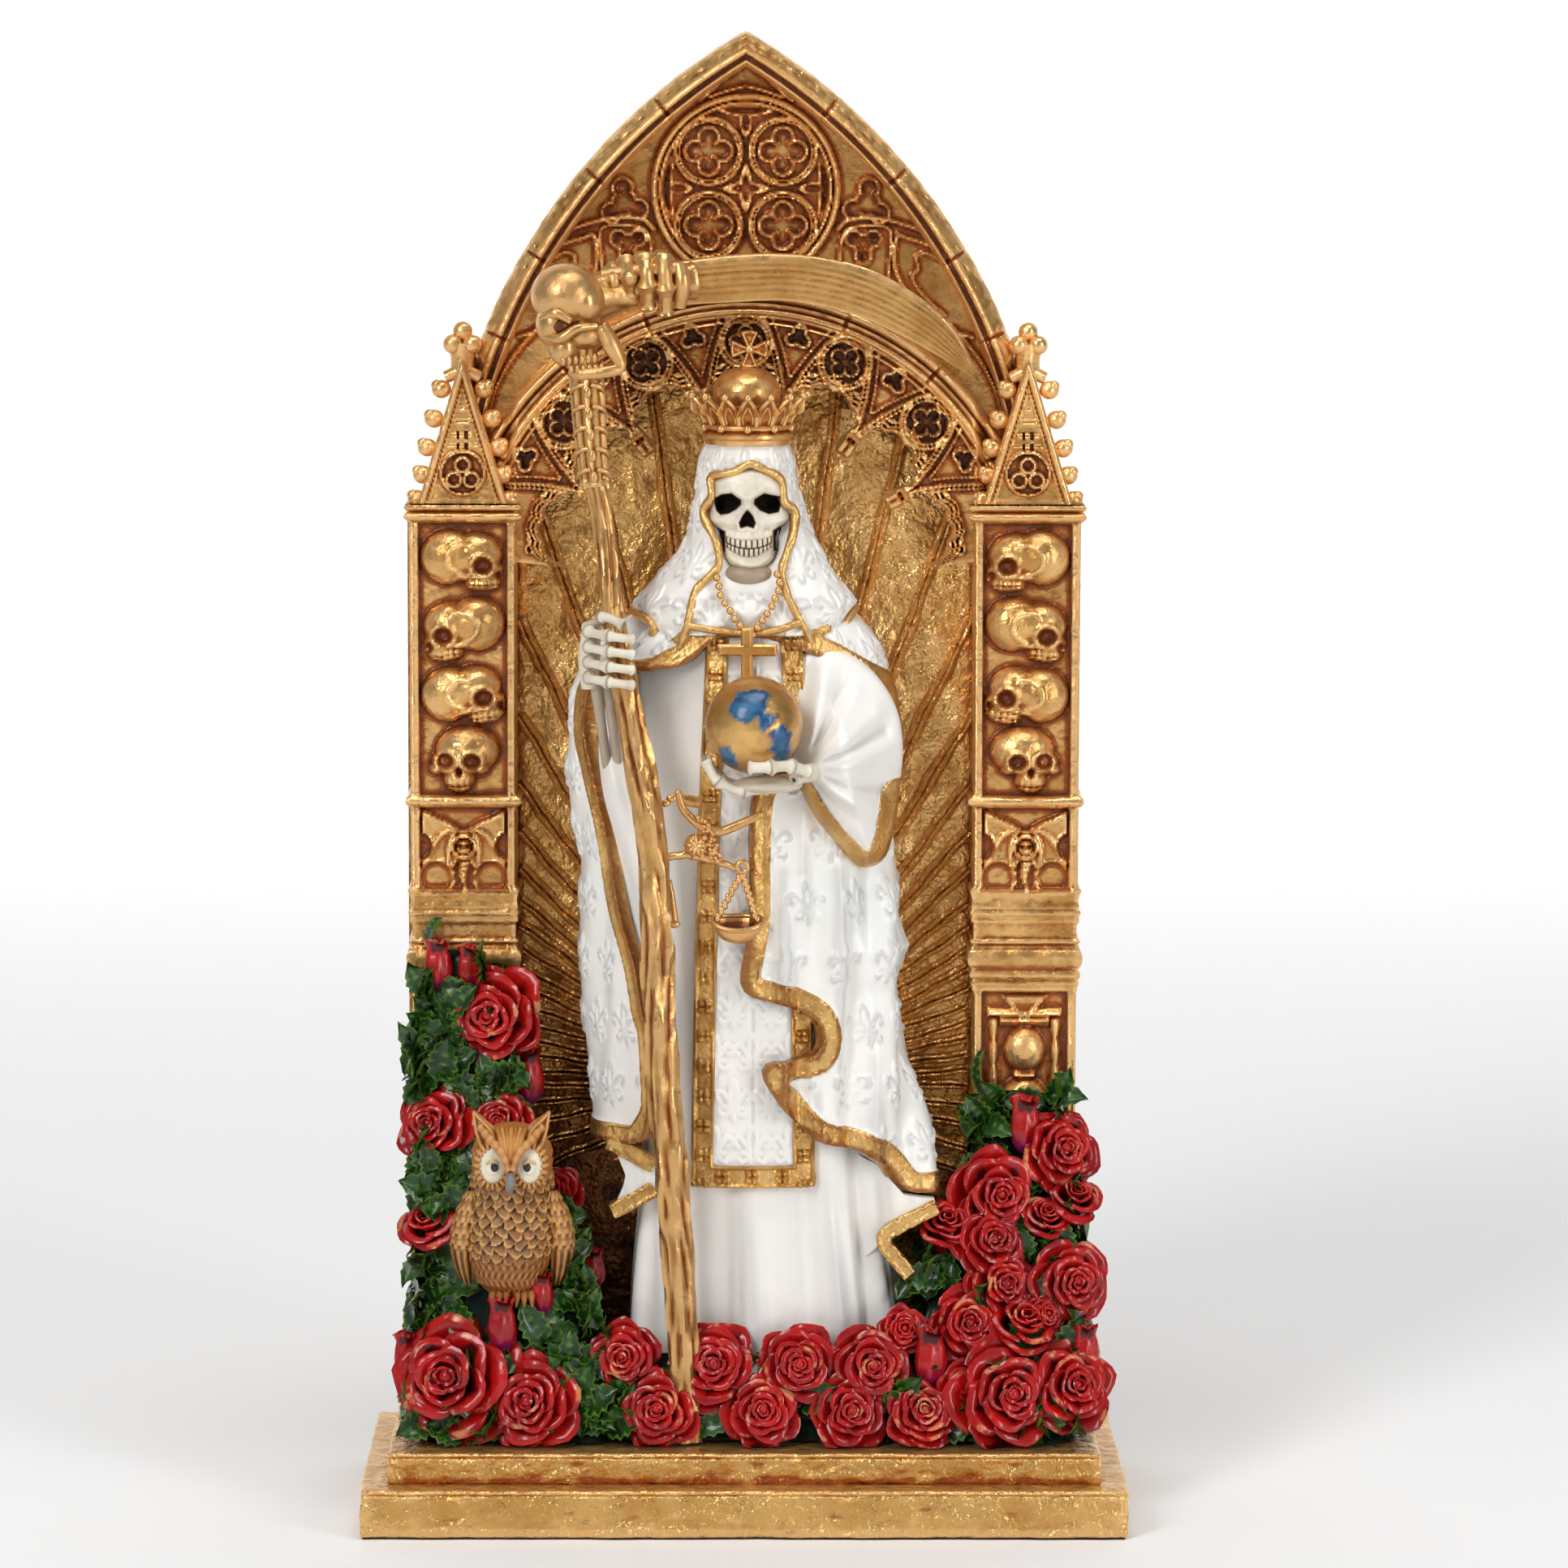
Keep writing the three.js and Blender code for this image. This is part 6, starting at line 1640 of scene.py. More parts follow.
hands = Clay()
for k in range(4):
    z = 170.0 + 3.05 * k
    bones = [(-31.6, -13, z + 1.2), (-30.6, -19.8, z + 0.8), (-26.0, -23.4, z + 0.3), (-21.9, -21.6, z - 0.4)]
    finger(hands, bones, 1.12)
rod(hands, [(-31, -12.6, 168), (-31.2, -12.6, 174), (-30.6, -12.8, 181)], 24, [1.8, 2.3, 1.8], 20)
finger(hands, [(-30.5, -14.5, 180.6), (-28, -20, 183), (-24, -22.5, 181.6)], 1.15, knuckles=2)
# the forearm bones are painted darker as painted shade: they lie in the sleeve behind the staff
for x0, x1 in ((-29.9, -27.4), (-27.5, -25.2)):
    forearm = [(x0, -12.6, 170), ((x0 + x1) / 2 - 0.2, -11.6, 161), (x1, -7.4, 149)]
    rod(hands, forearm, 30, [1.45, 1.05, 0.95, 0.9], 14, socket=0.3)
for k in range(4):
    f = -3.6 + 2.5 * k
    root = (4.5, -22.6 + f * 0.5, 149.2)
    finger(hands, [root, (-1, -22.6 + f, 149.2), (-5.6, -22.6 + f, 151.2), (-8.2, -22.6 + f, 155.4)], 1.15)
    rod(hands, [root, (9, -20.5 + f * 0.4, 150.4), (13.5, -17.6 + f * 0.25, 153)], 20, [0.95, 0.7, 1.05])
finger(hands, [(12.4, -27.6, 153.2), (8.6, -30.6, 154.6), (4.6, -32.6, 154.6), (0.2, -33.2, 154.6)], 1.35)
egg(hands, (4.4, -22.8, 150.0), (7.0, 6.4, 1.7), 34, 14, socket=0.15)
rod(hands, [(13.6, -19, 152), (11.6, -24, 152.2), (9.6, -27, 151.4)], 16, [2.0, 1.9, 1.2], 14, socket=0.1)
piece("hands", hands, "figure", bone_paint, rounds=3, reach=0.3)

# %% [markdown]
# ## Crown
# The crown is turned like a cup: a rolled rim, a flared band with sixteen pointed teeth, and a round cap
# in it. Ribs and little windows are thin rods laid on the flare, and a flat cross with broad ends stands
# on top.

# %% Crown
crown_gold = gold_paint(
    "crown gold", (0.70, 0.40, 0.13), (0.54, 0.25, 0.06), (0.33, 0.10, 0.02), BROWN_WASH, 0.3, 0.12, 0.0
)
CROWN_X, TEETH, FLARE_FOOT = 0.4, 16, 220.1
CROSS_X, CROSS_Z = 0.7, 235.1
RIM = [
    (6, 217.2), (8.6, 217.2), (9.2, 217.6), (9.2, 218.2), (8.6, 218.6), (8.4, 219.0), (9.0, 219.3),
    (9.2, 219.7), (9.0, 220.1), (8.2, 220.3), (6, 220.3),
]
crown = Clay()
turned(crown, RIM, 96, (CROWN_X, 0, 0))
turned(crown, [(5.6, 215.4), (7.8, 215.4), (8.3, 216.2), (8.3, 217.6), (5.6, 217.6)], 72, (CROWN_X, 0, 0))


def flare_radius(up):
    return 8.2 + 3.3 * up**1.2


def toothed(a, t, radius, z):
    tooth = np.abs(np.cos(TEETH / 2 * (a + np.pi / 2))) ** 1.2
    up = smooth_step(t, 0.12, 0.5) * smooth_step(-t, -0.88, -0.5)
    return radius, z + up * 2.6 * (tooth - 0.5)


def on_flare(angle, up, out=0.35):
    r = flare_radius(up) + out
    return (CROWN_X + r * math.cos(angle), r * math.sin(angle), FLARE_FOOT + 5.6 * up)


flare_line = [(flare_radius(t), FLARE_FOOT + 4.0 * t) for t in np.linspace(0, 1, 12)]
inner_line = [(r - 0.9, z) for r, z in flare_line[::-1]]
turned(crown, flare_line + inner_line, 192, (CROWN_X, 0, 0), toothed, shade=0.35)
for k in range(TEETH):
    a = 2 * math.pi * k / TEETH + math.pi / 2
    for side in (-1, 1):
        rib = [on_flare(a + side * turn, up) for turn, up in ((0.185, 0.0), (0.18, 0.4), (0.1, 0.76), (0, 1.02))]
        rod(crown, rib, 12, [0.46, 0.4], 8)
        window = [on_flare(a + side * turn, up, 0.2) for turn, up in ((0.105, 0.04), (0.105, 0.36), (0, 0.72))]
        rod(crown, window, 8, [0.24], 6)
    egg(crown, on_flare(a, 1.06, 0.3), 0.8, 14, 10)
for k in range(10):
    a = 2 * math.pi * k / 10 - math.pi / 2
    egg(crown, (CROWN_X + 9.1 * math.cos(a), 9.1 * math.sin(a), 219.6), 0.85, 12, 8)
cap = [(6.8 * math.sin(v) + 0.01, 226.5 - 5.2 * math.cos(v)) for v in np.linspace(0.3, math.pi, 28)]
turned(crown, cap, 60, (0.2, 0, 0), lambda a, t, r, z: (r * (1 + 0.012 * np.sin(9 * a) * np.sin(30 * t)), z))


def cross_outline(x, z):
    across, up = np.abs(x - CROSS_X), np.abs(z - CROSS_Z)
    arm, off_arm = np.maximum(across, up), np.minimum(across, up)
    return np.maximum(arm - 3.75 + 0.12 * off_arm**2, off_arm - 0.25 - 0.44 * arm)


def cross_front(x, z):
    inward = -cross_outline(x, z)
    return -1.1 - 0.5 * roll(inward - 0.35, 0.3) + 0.35 * smooth_step(inward, 0.7, 1.1)


pressed(crown, cross_front, (-3.5, 4.9, 0.16), (230.9, 239.3, 0.16), cross_outline, back=0.6)
egg(crown, (CROSS_X, -1.2, CROSS_Z), (0.95, 0.9, 0.95), 14, 10)
piece("crown", crown, "figure", crown_gold, rounds=3, reach=0.3)

# %% [markdown]
# ## Rosary
# Two strings of gold beads meet under the chin, and a plain cross hangs from them. On the cast the beads
# are half sunk in the cloth, so whole balls are simply pushed into it.

# %% Rosary
LEFT_BEADS = [
    (-5.8, 190.3), (-5.3, 188.6), (-5.0, 186.8), (-4.1, 185.2), (-3.1, 183.8), (-2.1, 182.0), (-1.0, 180.7),
    (-0.2, 179.0), (0.1, 177.4),
]
RIGHT_BEADS = [
    (6.3, 191.0), (6.8, 189.2), (6.5, 187.5), (5.8, 186.0), (5.0, 184.2), (4.0, 182.8), (2.6, 180.8),
    (1.4, 179.0),
]
CROSS = [
    (-0.9, 180.6), (1.5, 180.6), (1.5, 177.2), (6.4, 177.2), (6.4, 174.8), (1.5, 174.8), (1.5, 166),
    (-0.9, 166), (-0.9, 174.8), (-5.6, 174.8), (-5.6, 177.2), (-0.9, 177.2),
]
rosary = Clay()
for string in (LEFT_BEADS, RIGHT_BEADS):
    for x, z in smooth_path(string, 9):
        egg(rosary, (x, -13.2 - 0.09 * (190 - z), z), 0.8, 14, 10)


def rosary_cross(x, z):
    return shape_distance(x, z, CROSS)


def rosary_front(x, z):
    return -16.2 + 0.5 * smooth_step(rosary_cross(x, z), -0.5, 0)


pressed(rosary, rosary_front, (-5.9, 6.8, 0.22), (165.8, 181, 0.22), rosary_cross, back=-14.4)
piece("rosary", rosary, "figure", crown_gold, rounds=3, reach=0.3)

# %% [markdown]
# ## Scythe
# The staff is cast like gnarled wood: long bark ridges that wander round it, with knots between. At its
# head sits a small skull made of balls and rods, mirrored so that it also looks right from behind. A bony
# hand clasps the socket of the blade. The blade is a sheet that thins from its back to its edge.

# %% Staff
STAFF = [
    (-32.2, -12.6, 238), (-30.4, -14, 216), (-28.2, -14.5, 200), (-26.4, -16.4, 183), (-23.2, -18.4, 165),
    (-20.4, -20, 150), (-18.4, -21, 134), (-17.4, -21.2, 112), (-16.4, -21.4, 94), (-14.6, -21.6, 70),
    (-12.8, -21.4, 44), (-11.4, -20.6, 16.6),
]
STAFF_SHARES = (0.86, 0.8, 0.76, 0.8, 1.02, 1.08, 1.12, 1.14, 1.16, 1.12, 1.08, 1.1)
KNOTS = [
    (0.31, 4.6), (0.36, 1.0), (0.43, 4.2), (0.5, 5.2), (0.55, 3.4), (0.62, 4.8), (0.68, 0.6), (0.74, 4.3),
    (0.8, 5.4), (0.87, 3.9),
]


def bark(t, a):
    ridges = 0.10 * np.sin(5 * a + 3 * np.sin(13 * t)) + 0.07 * np.sin(9 * a - 5 * np.sin(19 * t + 1))
    rings = 0.05 * np.sin(95 * t + 4 * np.sin(3 * a + 8 * t)) + 0.03 * np.sin(70 * t + 2 * a)
    knots = sum(0.22 * bell(t - place, 0.012) * bell(np.sin((a - way) / 2), 0.35) for place, way in KNOTS)
    return 1 + ridges + rings + knots + 0.03 * np.sin(3 * a + 22 * t)


def cuff(t, a):
    flutes = 0.1 * np.cos(9 * a) * smooth_step(t, 0.05, 0.12)
    return 1 + flutes + 0.12 * bell(t - 0.03, 0.03) + 0.1 * bell(t - 0.97, 0.03)


scythe = Clay()
rod(scythe, STAFF, 270, [2.7 * share for share in STAFF_SHARES], 32, swell=bark)
rod(scythe, [(-31.6, -13.6, 232), (-30.9, -14, 220), (-30, -14.1, 208.6)], 60, [3.4, 3.1, 2.5], 36, swell=cuff)
for k in range(5):
    x, z = -31.4 + 0.32 * k, 229 - 4.2 * k
    for side in (-1, 1):
        hook = [(x + side * 0.6, -17.2, z), (x + side * 2.6, -16.4, z - 0.6), (x + side * 3.3, -14.6, z - 2.0)]
        rod(scythe, hook, 14, [0.5, 0.6, 0.35], 8)
    egg(scythe, (x, -17.1, z - 1.6), (0.8, 0.5, 1.2), 10, 8)

# %% Skull at the head of the staff
HEAD_BALLS = (
    ((-35.6, -13, 246.4), (7.1, 6.3, 6.4)), ((-32.2, -13, 245.2), (4.2, 5.4, 5.2)),
    ((-38.2, -13.6, 240.8), (3.5, 4.9, 4.6)), ((-36.0, -13.6, 236.0), (3.1, 4.0, 3.6)),
    ((-31.8, -13.8, 238.6), (3.8, 4.2, 2.9)),
)
BROW = [(-40.6, -16.4, 242.0), (-37.6, -18.4, 243.2), (-34.6, -18.4, 241.6)]
CHEEK = [(-39.6, -16.6, 238.6), (-36.8, -18.4, 238.2), (-33.4, -18.6, 240.2), (-29.6, -17.2, 240.6)]
JAW = [
    (-28.8, -16.6, 240.6), (-26.6, -17.0, 236.4), (-25.0, -16.4, 232.6), (-28.4, -17.2, 231.4),
    (-33.0, -16.6, 231.0),
]


def on_side(places, near):
    """Places on the near side of the staff's skull, or mirrored to its far side."""
    return [(x, y if near else -26 - y, z) for x, y, z in places]


for centre, radii in HEAD_BALLS:
    egg(scythe, centre, radii, 34, 20)
for near in (True, False):
    rod(scythe, on_side(BROW, near), 20, [0.6, 1.1, 0.8])
    rod(scythe, on_side(CHEEK, near), 26, [0.7, 1.1, 0.9, 0.7])
    # the eye socket is a dark egg: painted shade for a hollow that is not cut
    egg(scythe, *on_side([(-37.1, -17.4, 240.6)], near), (2.3, 1.2, 1.6), 18, 10, shade=2.2)
    rod(scythe, on_side(JAW, near), 50, [1.3, 1.7, 1.3, 1.2, 1.3], 16, squash=0.7)
    for k in range(6):
        upper_tooth = (-36.2 + 1.25 * k, -16.9 - 0.1 * k, 233.6 + 0.12 * k)
        lower_tooth = (-34.6 + 1.2 * k, -17.2, 232.0 + 0.1 * k)
        egg(scythe, *on_side([upper_tooth], near), (0.55, 0.5, 0.95), 10, 8)
        egg(scythe, *on_side([lower_tooth], near), (0.5, 0.45, 0.8), 10, 8)


# %% Socket and the hand that clasps it
def socket_folds(t, a):
    return 1 + 0.06 * np.sin(6 * a + 3 * np.sin(8 * t)) + 0.08 * bell(t - 0.97, 0.02)


socket_line = [(-33, -10, 245.5), (-24, -6, 247.5), (-10, -3.4, 249.2)]
rod(scythe, socket_line, 60, [4.6, 3.8, 3.7], 30, squash=0.8, swell=socket_folds)
GRIP = (
    (-26.4, 251.4, 247.6, 1.2), (-23.6, 252.6, 246.6, 1.6), (-20.0, 253.4, 243.4, 1.8),
    (-16.4, 253.6, 242.0, 1.8),
)
for x, top, low, thick in GRIP:
    bent = [(x - 0.8, -3.4, top - 0.4), (x - 0.2, -7.0, top), (x + 0.2, -10.3, top - 2.4)]
    finger(scythe, bent + [(x + 0.4, -9.4, (top + low) / 2 - 1), (x + 0.3, -7.4, low)], thick, 40, 14)
rod(scythe, [(-28.6, -8.0, 250.2), (-19, -8.6, 251.4), (-12.6, -8.0, 251.6)], 20, [1.4, 1.5, 1.5])
rod(scythe, [(-13.2, -8.2, 252.2), (-12.6, -9.2, 248.6), (-13.2, -7.6, 244.0)], 16, [1.5, 1.6, 1.3])

# %% Blade
BLADE_BACK = [
    (-14, 252.8), (-3, 254.1), (6.7, 254.4), (16.4, 253.4), (26.2, 250.6), (35.9, 244.9), (42.4, 238.4),
    (46.8, 229.2),
]
BLADE_EDGE = [
    (-14, 244), (-3, 244.6), (6.7, 245), (14.8, 244), (22.9, 241.7), (31, 238.1), (39.1, 233.6),
    (46.6, 228.8),
]
upper, lower = smooth_path(BLADE_BACK, 100), smooth_path(BLADE_EDGE, 100)
s, t = np.linspace(0, 1, 26), np.linspace(0, 1, 100)[:, None]
thick = np.interp(s, [0, 0.05, 0.12, 0.3, 0.36, 0.42, 0.97, 1], [0.5, 1.1, 1.25, 1.15, 0.95, 0.9, 0.16, 0.03])
thin = thick * (1 - 0.6 * t) * 1.15 + 0.05 * np.sin(s * 46 + 3 * t) * (s < 0.9)
x, z = (upper[:, [k]] * (1 - s) + lower[:, [k]] * s for k in (0, 1))
scythe.add(np.concatenate([at(x, -3 - thin, z), at(x, -3 + thin, z)[:, ::-1]], 1), grid(100, 52, wrap=True))
scythe_gold = gold_paint(
    "scythe gold", (0.60, 0.34, 0.11), (0.42, 0.20, 0.05), (0.28, 0.075, 0.016), BROWN_WASH, 0.32, 0.16, -0.06
)
piece("scythe", scythe, "scythe", scythe_gold, rounds=5, reach=0.3)

# %% [markdown]
# ## Globe
# A gold ball with raised blue land. Each land is a round spot on the ball whose coast is broken up by
# ripples, and the same number raises the land and chooses its paint, so the two always agree.

# %% Globe
LANDS = [
    ((-0.12, -0.85, 0.52), 0.42), ((0.22, -0.95, 0.2), 0.2), ((0.55, -0.78, -0.2), 0.3),
    ((0.6, -0.66, -0.46), 0.26), ((-0.48, -0.6, -0.64), 0.24), ((0.2, 0.9, 0.2), 0.5),
]
GLOBE, GLOBE_RADIUS = np.array([1.7, -22.6, 161.9]), 9.7


def unit(vector):
    vector = np.asarray(vector, float)
    return vector / np.linalg.norm(vector)


globe = Clay()
ball = ball_shell(100, 55, pole=0.001)
bx, by, bz = np.moveaxis(ball, -1, 0)
coast = 0.13 * ripple(bx * 9 + by * 4, bz * 9, 0.9) + 0.08 * ripple(bx * 22, bz * 22, 1.0, 3)
land = np.max([size - np.linalg.norm(ball - unit(centre), axis=-1) for centre, size in LANDS], 0) + coast
surface = ball * (GLOBE_RADIUS + 0.22 * smooth_step(land, 0, 0.05))[..., None] + GLOBE
globe.add(surface, grid(56, 100, wrap=True), land=smooth_step(land, -0.01, 0.03).ravel())
b = Brush("gold sea and blue land")
sea = b.mottled(5, (0.50, 0.27, 0.075), (0.74, 0.45, 0.15), 0.3, 0.7)
earth = b.mottled(2.2, (0.006, 0.045, 0.15), (0.018, 0.13, 0.26))
b.set(Base_Color=b.blend(b.mark("land"), sea, earth), Metallic=b.rise(b.mark("land"), 0.3, 0.7, 0.9, 0.1))
b.set(Roughness=0.36, Coat_Weight=0.3, Coat_Roughness=0.12)
b.bump((b.noise(3.5), 0.3), (b.noise(0.9), 0.06))
piece("globe", globe, "globe", b.material)

# %% [markdown]
# ## Scales
# Thin bronze, so most of it is rods and balls: a leafed beam, a pivot with a leaf boss, and two chains. The
# boat-shaped pan is turned round and then pressed flat, which is easier than drawing an oval bowl.

# %% Beam, pivot and arm
SCALES_Y = -18.2


def in_plane(*places):
    return [(x, SCALES_Y, z) for x, z in places]


scales = Clay()
beam = in_plane(
    (-13.3, 147.4), (-12.5, 144.6), (-9.9, 141.8), (-7.6, 140.4), (-5, 140), (-2.5, 140.8), (2.8, 143.2)
)
rod(scales, beam, 70, [0.6, 0.8, 0.9, 0.85, 0.65], 14, swell=lambda t, a: 1 + 0.12 * np.cos(2 * a))
BEAM_BALLS = ((-13.4, 147.7, (0.7, 0.6, 0.7)), (-14.7, 146.6, (1.1, 0.5, 0.8)), (-15.9, 145.6, (1.0, 0.5, 0.7)))
for x, z, radii in BEAM_BALLS + ((3, 143.4, 0.8),):
    egg(scales, (x, SCALES_Y, z), radii, 14, 10)
leaf = [(-13.4, SCALES_Y, 147), (-11.2, SCALES_Y + 0.3, 146.1), (-9.2, SCALES_Y + 0.6, 145.8)]
rod(scales, leaf, 14, [0.7, 1.1, 1.2], squash=0.5, shade=0.5)
boss = np.array([-9.8, SCALES_Y, 137.1])
egg(scales, boss, (2.5, 1.5, 2.5), 30, 18)
for k in range(9):
    a = 2 * math.pi * k / 9
    out = np.array([math.sin(a), 0, math.cos(a)])
    middle = boss + (0, -1.5, 0)
    rod(scales, [middle, middle + 1.2 * out, boss + (0, -0.7, 0) + 2.4 * out], 10, [0.25, 0.5, 0.3], 8)
shake = np.random.default_rng(3)
for k in range(46):
    t = k / 45
    shaken = shake.uniform(-1, 1, 3) * (1.0, 0.5, 0.5)
    centre = np.array([-8.6 + 3.0 * t, SCALES_Y - 0.9, 142.6 - 8.4 * t]) + shaken
    egg(scales, centre, shake.uniform(0.42, 0.62), 9, 6)
arm = in_plane((-16.6, 134.5), (-15, 134.8), (-12, 135.3), (-9, 134.9), (-6.2, 134.2), (-1.9, 132.6))
rod(scales, arm, 60, [0.75, 0.85, 1.0, 0.85, 0.65], swell=lambda t, a: 1 + 0.1 * np.sin(34 * t + a))

# %% Ring, pan and chains
RING_X, PAN_X, PAN_Z = -0.6, -1.5, 120.9
BOWL = [
    (0.05, -3.3), (1.6, -3.1), (3.3, -2.3), (4.6, -0.9), (5.2, 0.5), (4.9, 0.6), (4.1, -0.7), (2.6, -1.8),
    (0.05, -2.5),
]
a = np.linspace(0, 2 * math.pi, 24)
add_tube(scales, at(RING_X + 1.05 * np.sin(a), SCALES_Y - 0.3, 132.9 + 1.05 * np.cos(a)), [0.5], 10)
turned(scales, BOWL, 48, (PAN_X, SCALES_Y / 0.5, PAN_Z))
pan = scales.points[-1]
pan[:, 1] *= 0.5
pan[:, 2] += 0.45 * (pan[:, 1] - SCALES_Y)
a = np.linspace(0, 2 * math.pi, 60)
lip_z = PAN_Z + 0.6 + 1.15 * np.sin(a) + 0.5 * np.cos(a) ** 2
add_tube(scales, at(PAN_X + 5.2 * np.cos(a), SCALES_Y + 2.6 * np.sin(a), lip_z), [0.5], 10)
for side in (-4.3, 3.8):
    for k in range(15):
        t = (k + 0.6) / 15
        x = RING_X + (PAN_X + side - RING_X) * t + 0.18 * (-1) ** k
        egg(scales, (x, SCALES_Y - 0.6 * t, 131.8 + (PAN_Z + 1.2 - 131.8) * t), (0.62, 0.55, 0.75), 9, 7)
# the far chain and the far pan are painted darker, as painted shade behind the beam
far_chain = [(-15.1, SCALES_Y + 1, 130), (-14.5, SCALES_Y + 0.8, 126), (-14.0, SCALES_Y + 0.6, 121.8)]
rod(scales, far_chain, 14, [0.4, 0.6, 0.7], 10, shade=0.4)
egg(scales, (-14.3, SCALES_Y + 0.6, 121.2), (1.4, 0.7, 0.8), 12, 8, shade=0.4)
bronze = gold_paint(
    "dark bronze", (0.66, 0.37, 0.12), (0.46, 0.20, 0.05), (0.34, 0.07, 0.02), (0.05, 0.015, 0.006),
    0.3, 0.15, 0.0,
)
piece("scales", scales, "scales", bronze, rounds=3)

# %% [markdown]
# ## Owl
# Feathers are pressed as staggered scallops, longer on the wings, and head and legs are fluffy. Cream discs
# ring the eyes. The paint is dark brown with ochre brushed dry over the tips. Body, wings, ears and claws are
# placed by shares of the owl's height, which is how they were read off the bird.

# %% Feathers and body
OWL, OWL_H = (-47.4, -12, 43.4), 37.0
OWL_ROWS = np.array([
    [0.0, -0.06, 0.05, -0.04, 0.06], [0.03, -0.13, 0.11, -0.11, 0.13], [0.12, -0.24, 0.2, -0.2, 0.2],
    [0.3, -0.33, 0.29, -0.27, 0.28], [0.48, -0.34, 0.32, -0.27, 0.28], [0.62, -0.275, 0.27, -0.22, 0.24],
    [0.74, -0.26, 0.26, -0.25, 0.2], [0.86, -0.26, 0.26, -0.25, 0.2], [0.95, -0.19, 0.19, -0.15, 0.13],
    [0.985, -0.09, 0.09, -0.06, 0.06], [1.0, -0.01, 0.01, -0.01, 0.01],
])


def owl_at(across, deep, up):
    return at(OWL[0] + across * OWL_H, OWL[1] + deep * OWL_H, OWL[2] + up * OWL_H)


def feather_rows(s, z, width, tall, long=1.7):
    """Feathers that lie like tiles, upper rows on top: how high each point is, and how light its brushed rim."""
    height = np.zeros(np.broadcast(s, z).shape)
    light = np.zeros(height.shape)
    for k in range(3):
        row = np.floor(z / tall) + k
        x = off_row(s / width + 0.5 * (row % 2), 1) * 2 * 0.97
        down = (row * tall + 0.5 * tall - z) / (long * tall)
        edge = 1 - np.hypot(x, np.maximum(down - 0.4, 0) / 0.6)
        on = (edge > 0) & (down > 0)
        height = np.where(on, 0.2 + 0.6 * np.clip(down, 0, 1) + 0.3 * bell(edge - 0.14, 0.12), height)
        light = np.where(on, 0.1 + 0.75 * down + 0.35 * bell(edge - 0.14, 0.16) * down, light)
    return height, light


def mixed(first, second, share):
    return first * (1 - share) + second * share


owl = Clay()
up = np.concatenate([[0], np.linspace(0.02, 0.985, 115), [1.0]])[:, None]
a = np.linspace(-np.pi, np.pi, 132, endpoint=False)[None, :]
a = a - 0.4 * np.sin(a)
left, right, fore, aft = widths_at(OWL_ROWS, up)
wander = 0.5 * np.sin(2.3 * a) + 0.25 * np.sin(9 * a)
feather, light = feather_rows(a * 9.4 + 0.35 * np.sin(up * 60), up * OWL_H + wander, 2.5, 1.85)
tuft = 0.5 + 0.5 * np.sin(a * 34 + 1.5 * np.sin(up * 50)) * np.sin(up * 62)
head, legs = smooth_step(up, 0.7, 0.76), smooth_step(-up, -0.3, -0.2)
fuzzy = np.maximum(head, legs)
light = mixed(light * (0.85 + 0.2 * np.sin(a * 13 + up * 41)), 0.15 + 0.45 * tuft, fuzzy)
feather = mixed(feather, 0.35 + 0.45 * tuft, fuzzy) * smooth_step((right - left) / 2 * OWL_H, 1.5, 5)
wide = (right - left) / 2 + feather / OWL_H - 0.02
deep = (aft - fore) / 2 + feather / OWL_H - 0.02
body = owl_at((left + right) / 2 + wide * np.sin(a), (fore + aft) / 2 - deep * np.cos(a), up)
orange = (smooth_step(up, 0.66, 0.8) + 0.5 * legs) * np.ones_like(a)
owl.add(body, grid(len(up), 132, wrap=True), tip=light.ravel(), orange=orange.ravel())


# %% Wings, ears, face and claws
def owl_rod(side, places, count, radii, sides, **options):
    """A rod on one side of the owl, through places given as shares of its height."""
    rod(owl, [owl_at(side * across, deep, up) for across, deep, up in places], count, radii, sides, **options)


def add_wing(side):
    v = np.linspace(0, 1, 54)[:, None]
    w = np.linspace(0, 2 * np.pi, 40, endpoint=False)[None, :]
    spread = np.sin(np.pi * np.clip(v * 0.94 + 0.04, 0, 1)) ** 0.6
    short, short_light = feather_rows(w * 4.2, (1 - v) * 19, 2.6, 2.2)
    long_part = smooth_step(v, 0.54, 0.6)
    quill = 0.5 + 0.5 * np.cos(w * 11 + 1.2 * v)
    feather = mixed(short, 0.25 + 0.7 * quill**0.5, long_part)
    light = mixed(short_light, 0.15 + 0.7 * quill**3, long_part)
    out = 0.25 + 0.05 * np.sin(np.pi * v) + 0.03 * v + (0.075 * spread + 0.018 * feather) * np.cos(w)
    y = -0.06 + 0.1 * v + (0.15 * spread + 0.018 * feather) * np.sin(w)
    owl.add(owl_at(side * out, y, 0.63 - 0.56 * v), grid(54, 40, wrap=True), tip=light.ravel(), orange=0.25)


def add_eye(side):
    cx, cy, cz = owl_at(side * 0.117, -0.235, 0.795)
    egg(owl, (cx, cy, cz), (3.2, 1.5, 3.9), 40, 20, cream=1.0)
    egg(owl, (cx, cy - 1.25, cz), (1.75, 0.6, 1.9), 30, 12, cream=0.9)
    for k in range(20):
        c, s = math.cos(2 * math.pi * k / 20), math.sin(2 * math.pi * k / 20)
        steps = ((2.9, -0.9, 3.5), (3.7, -0.5, 4.3), (4.5, 0.7, 5.0))
        ray = [(cx + wide * c, cy + deep, cz + tall * s) for wide, deep, tall in steps]
        rod(owl, ray, 6, [0.3, 0.5, 0.3], 6, tip=0.75, orange=0.6)
    egg(owl, (cx - side * 0.5, cy - 1.7, cz - 0.1), (0.95, 0.5, 0.95), 18, 10, eye=1.0)
    lid = [(cx - 1.5, cy - 1.6, cz + 0.5), (cx, cy - 2.0, cz + 1.15), (cx + 1.5, cy - 1.6, cz + 0.6)]
    rod(owl, lid, 14, [0.25, 0.45, 0.25], 8, cream=0.35, tip=0.9)


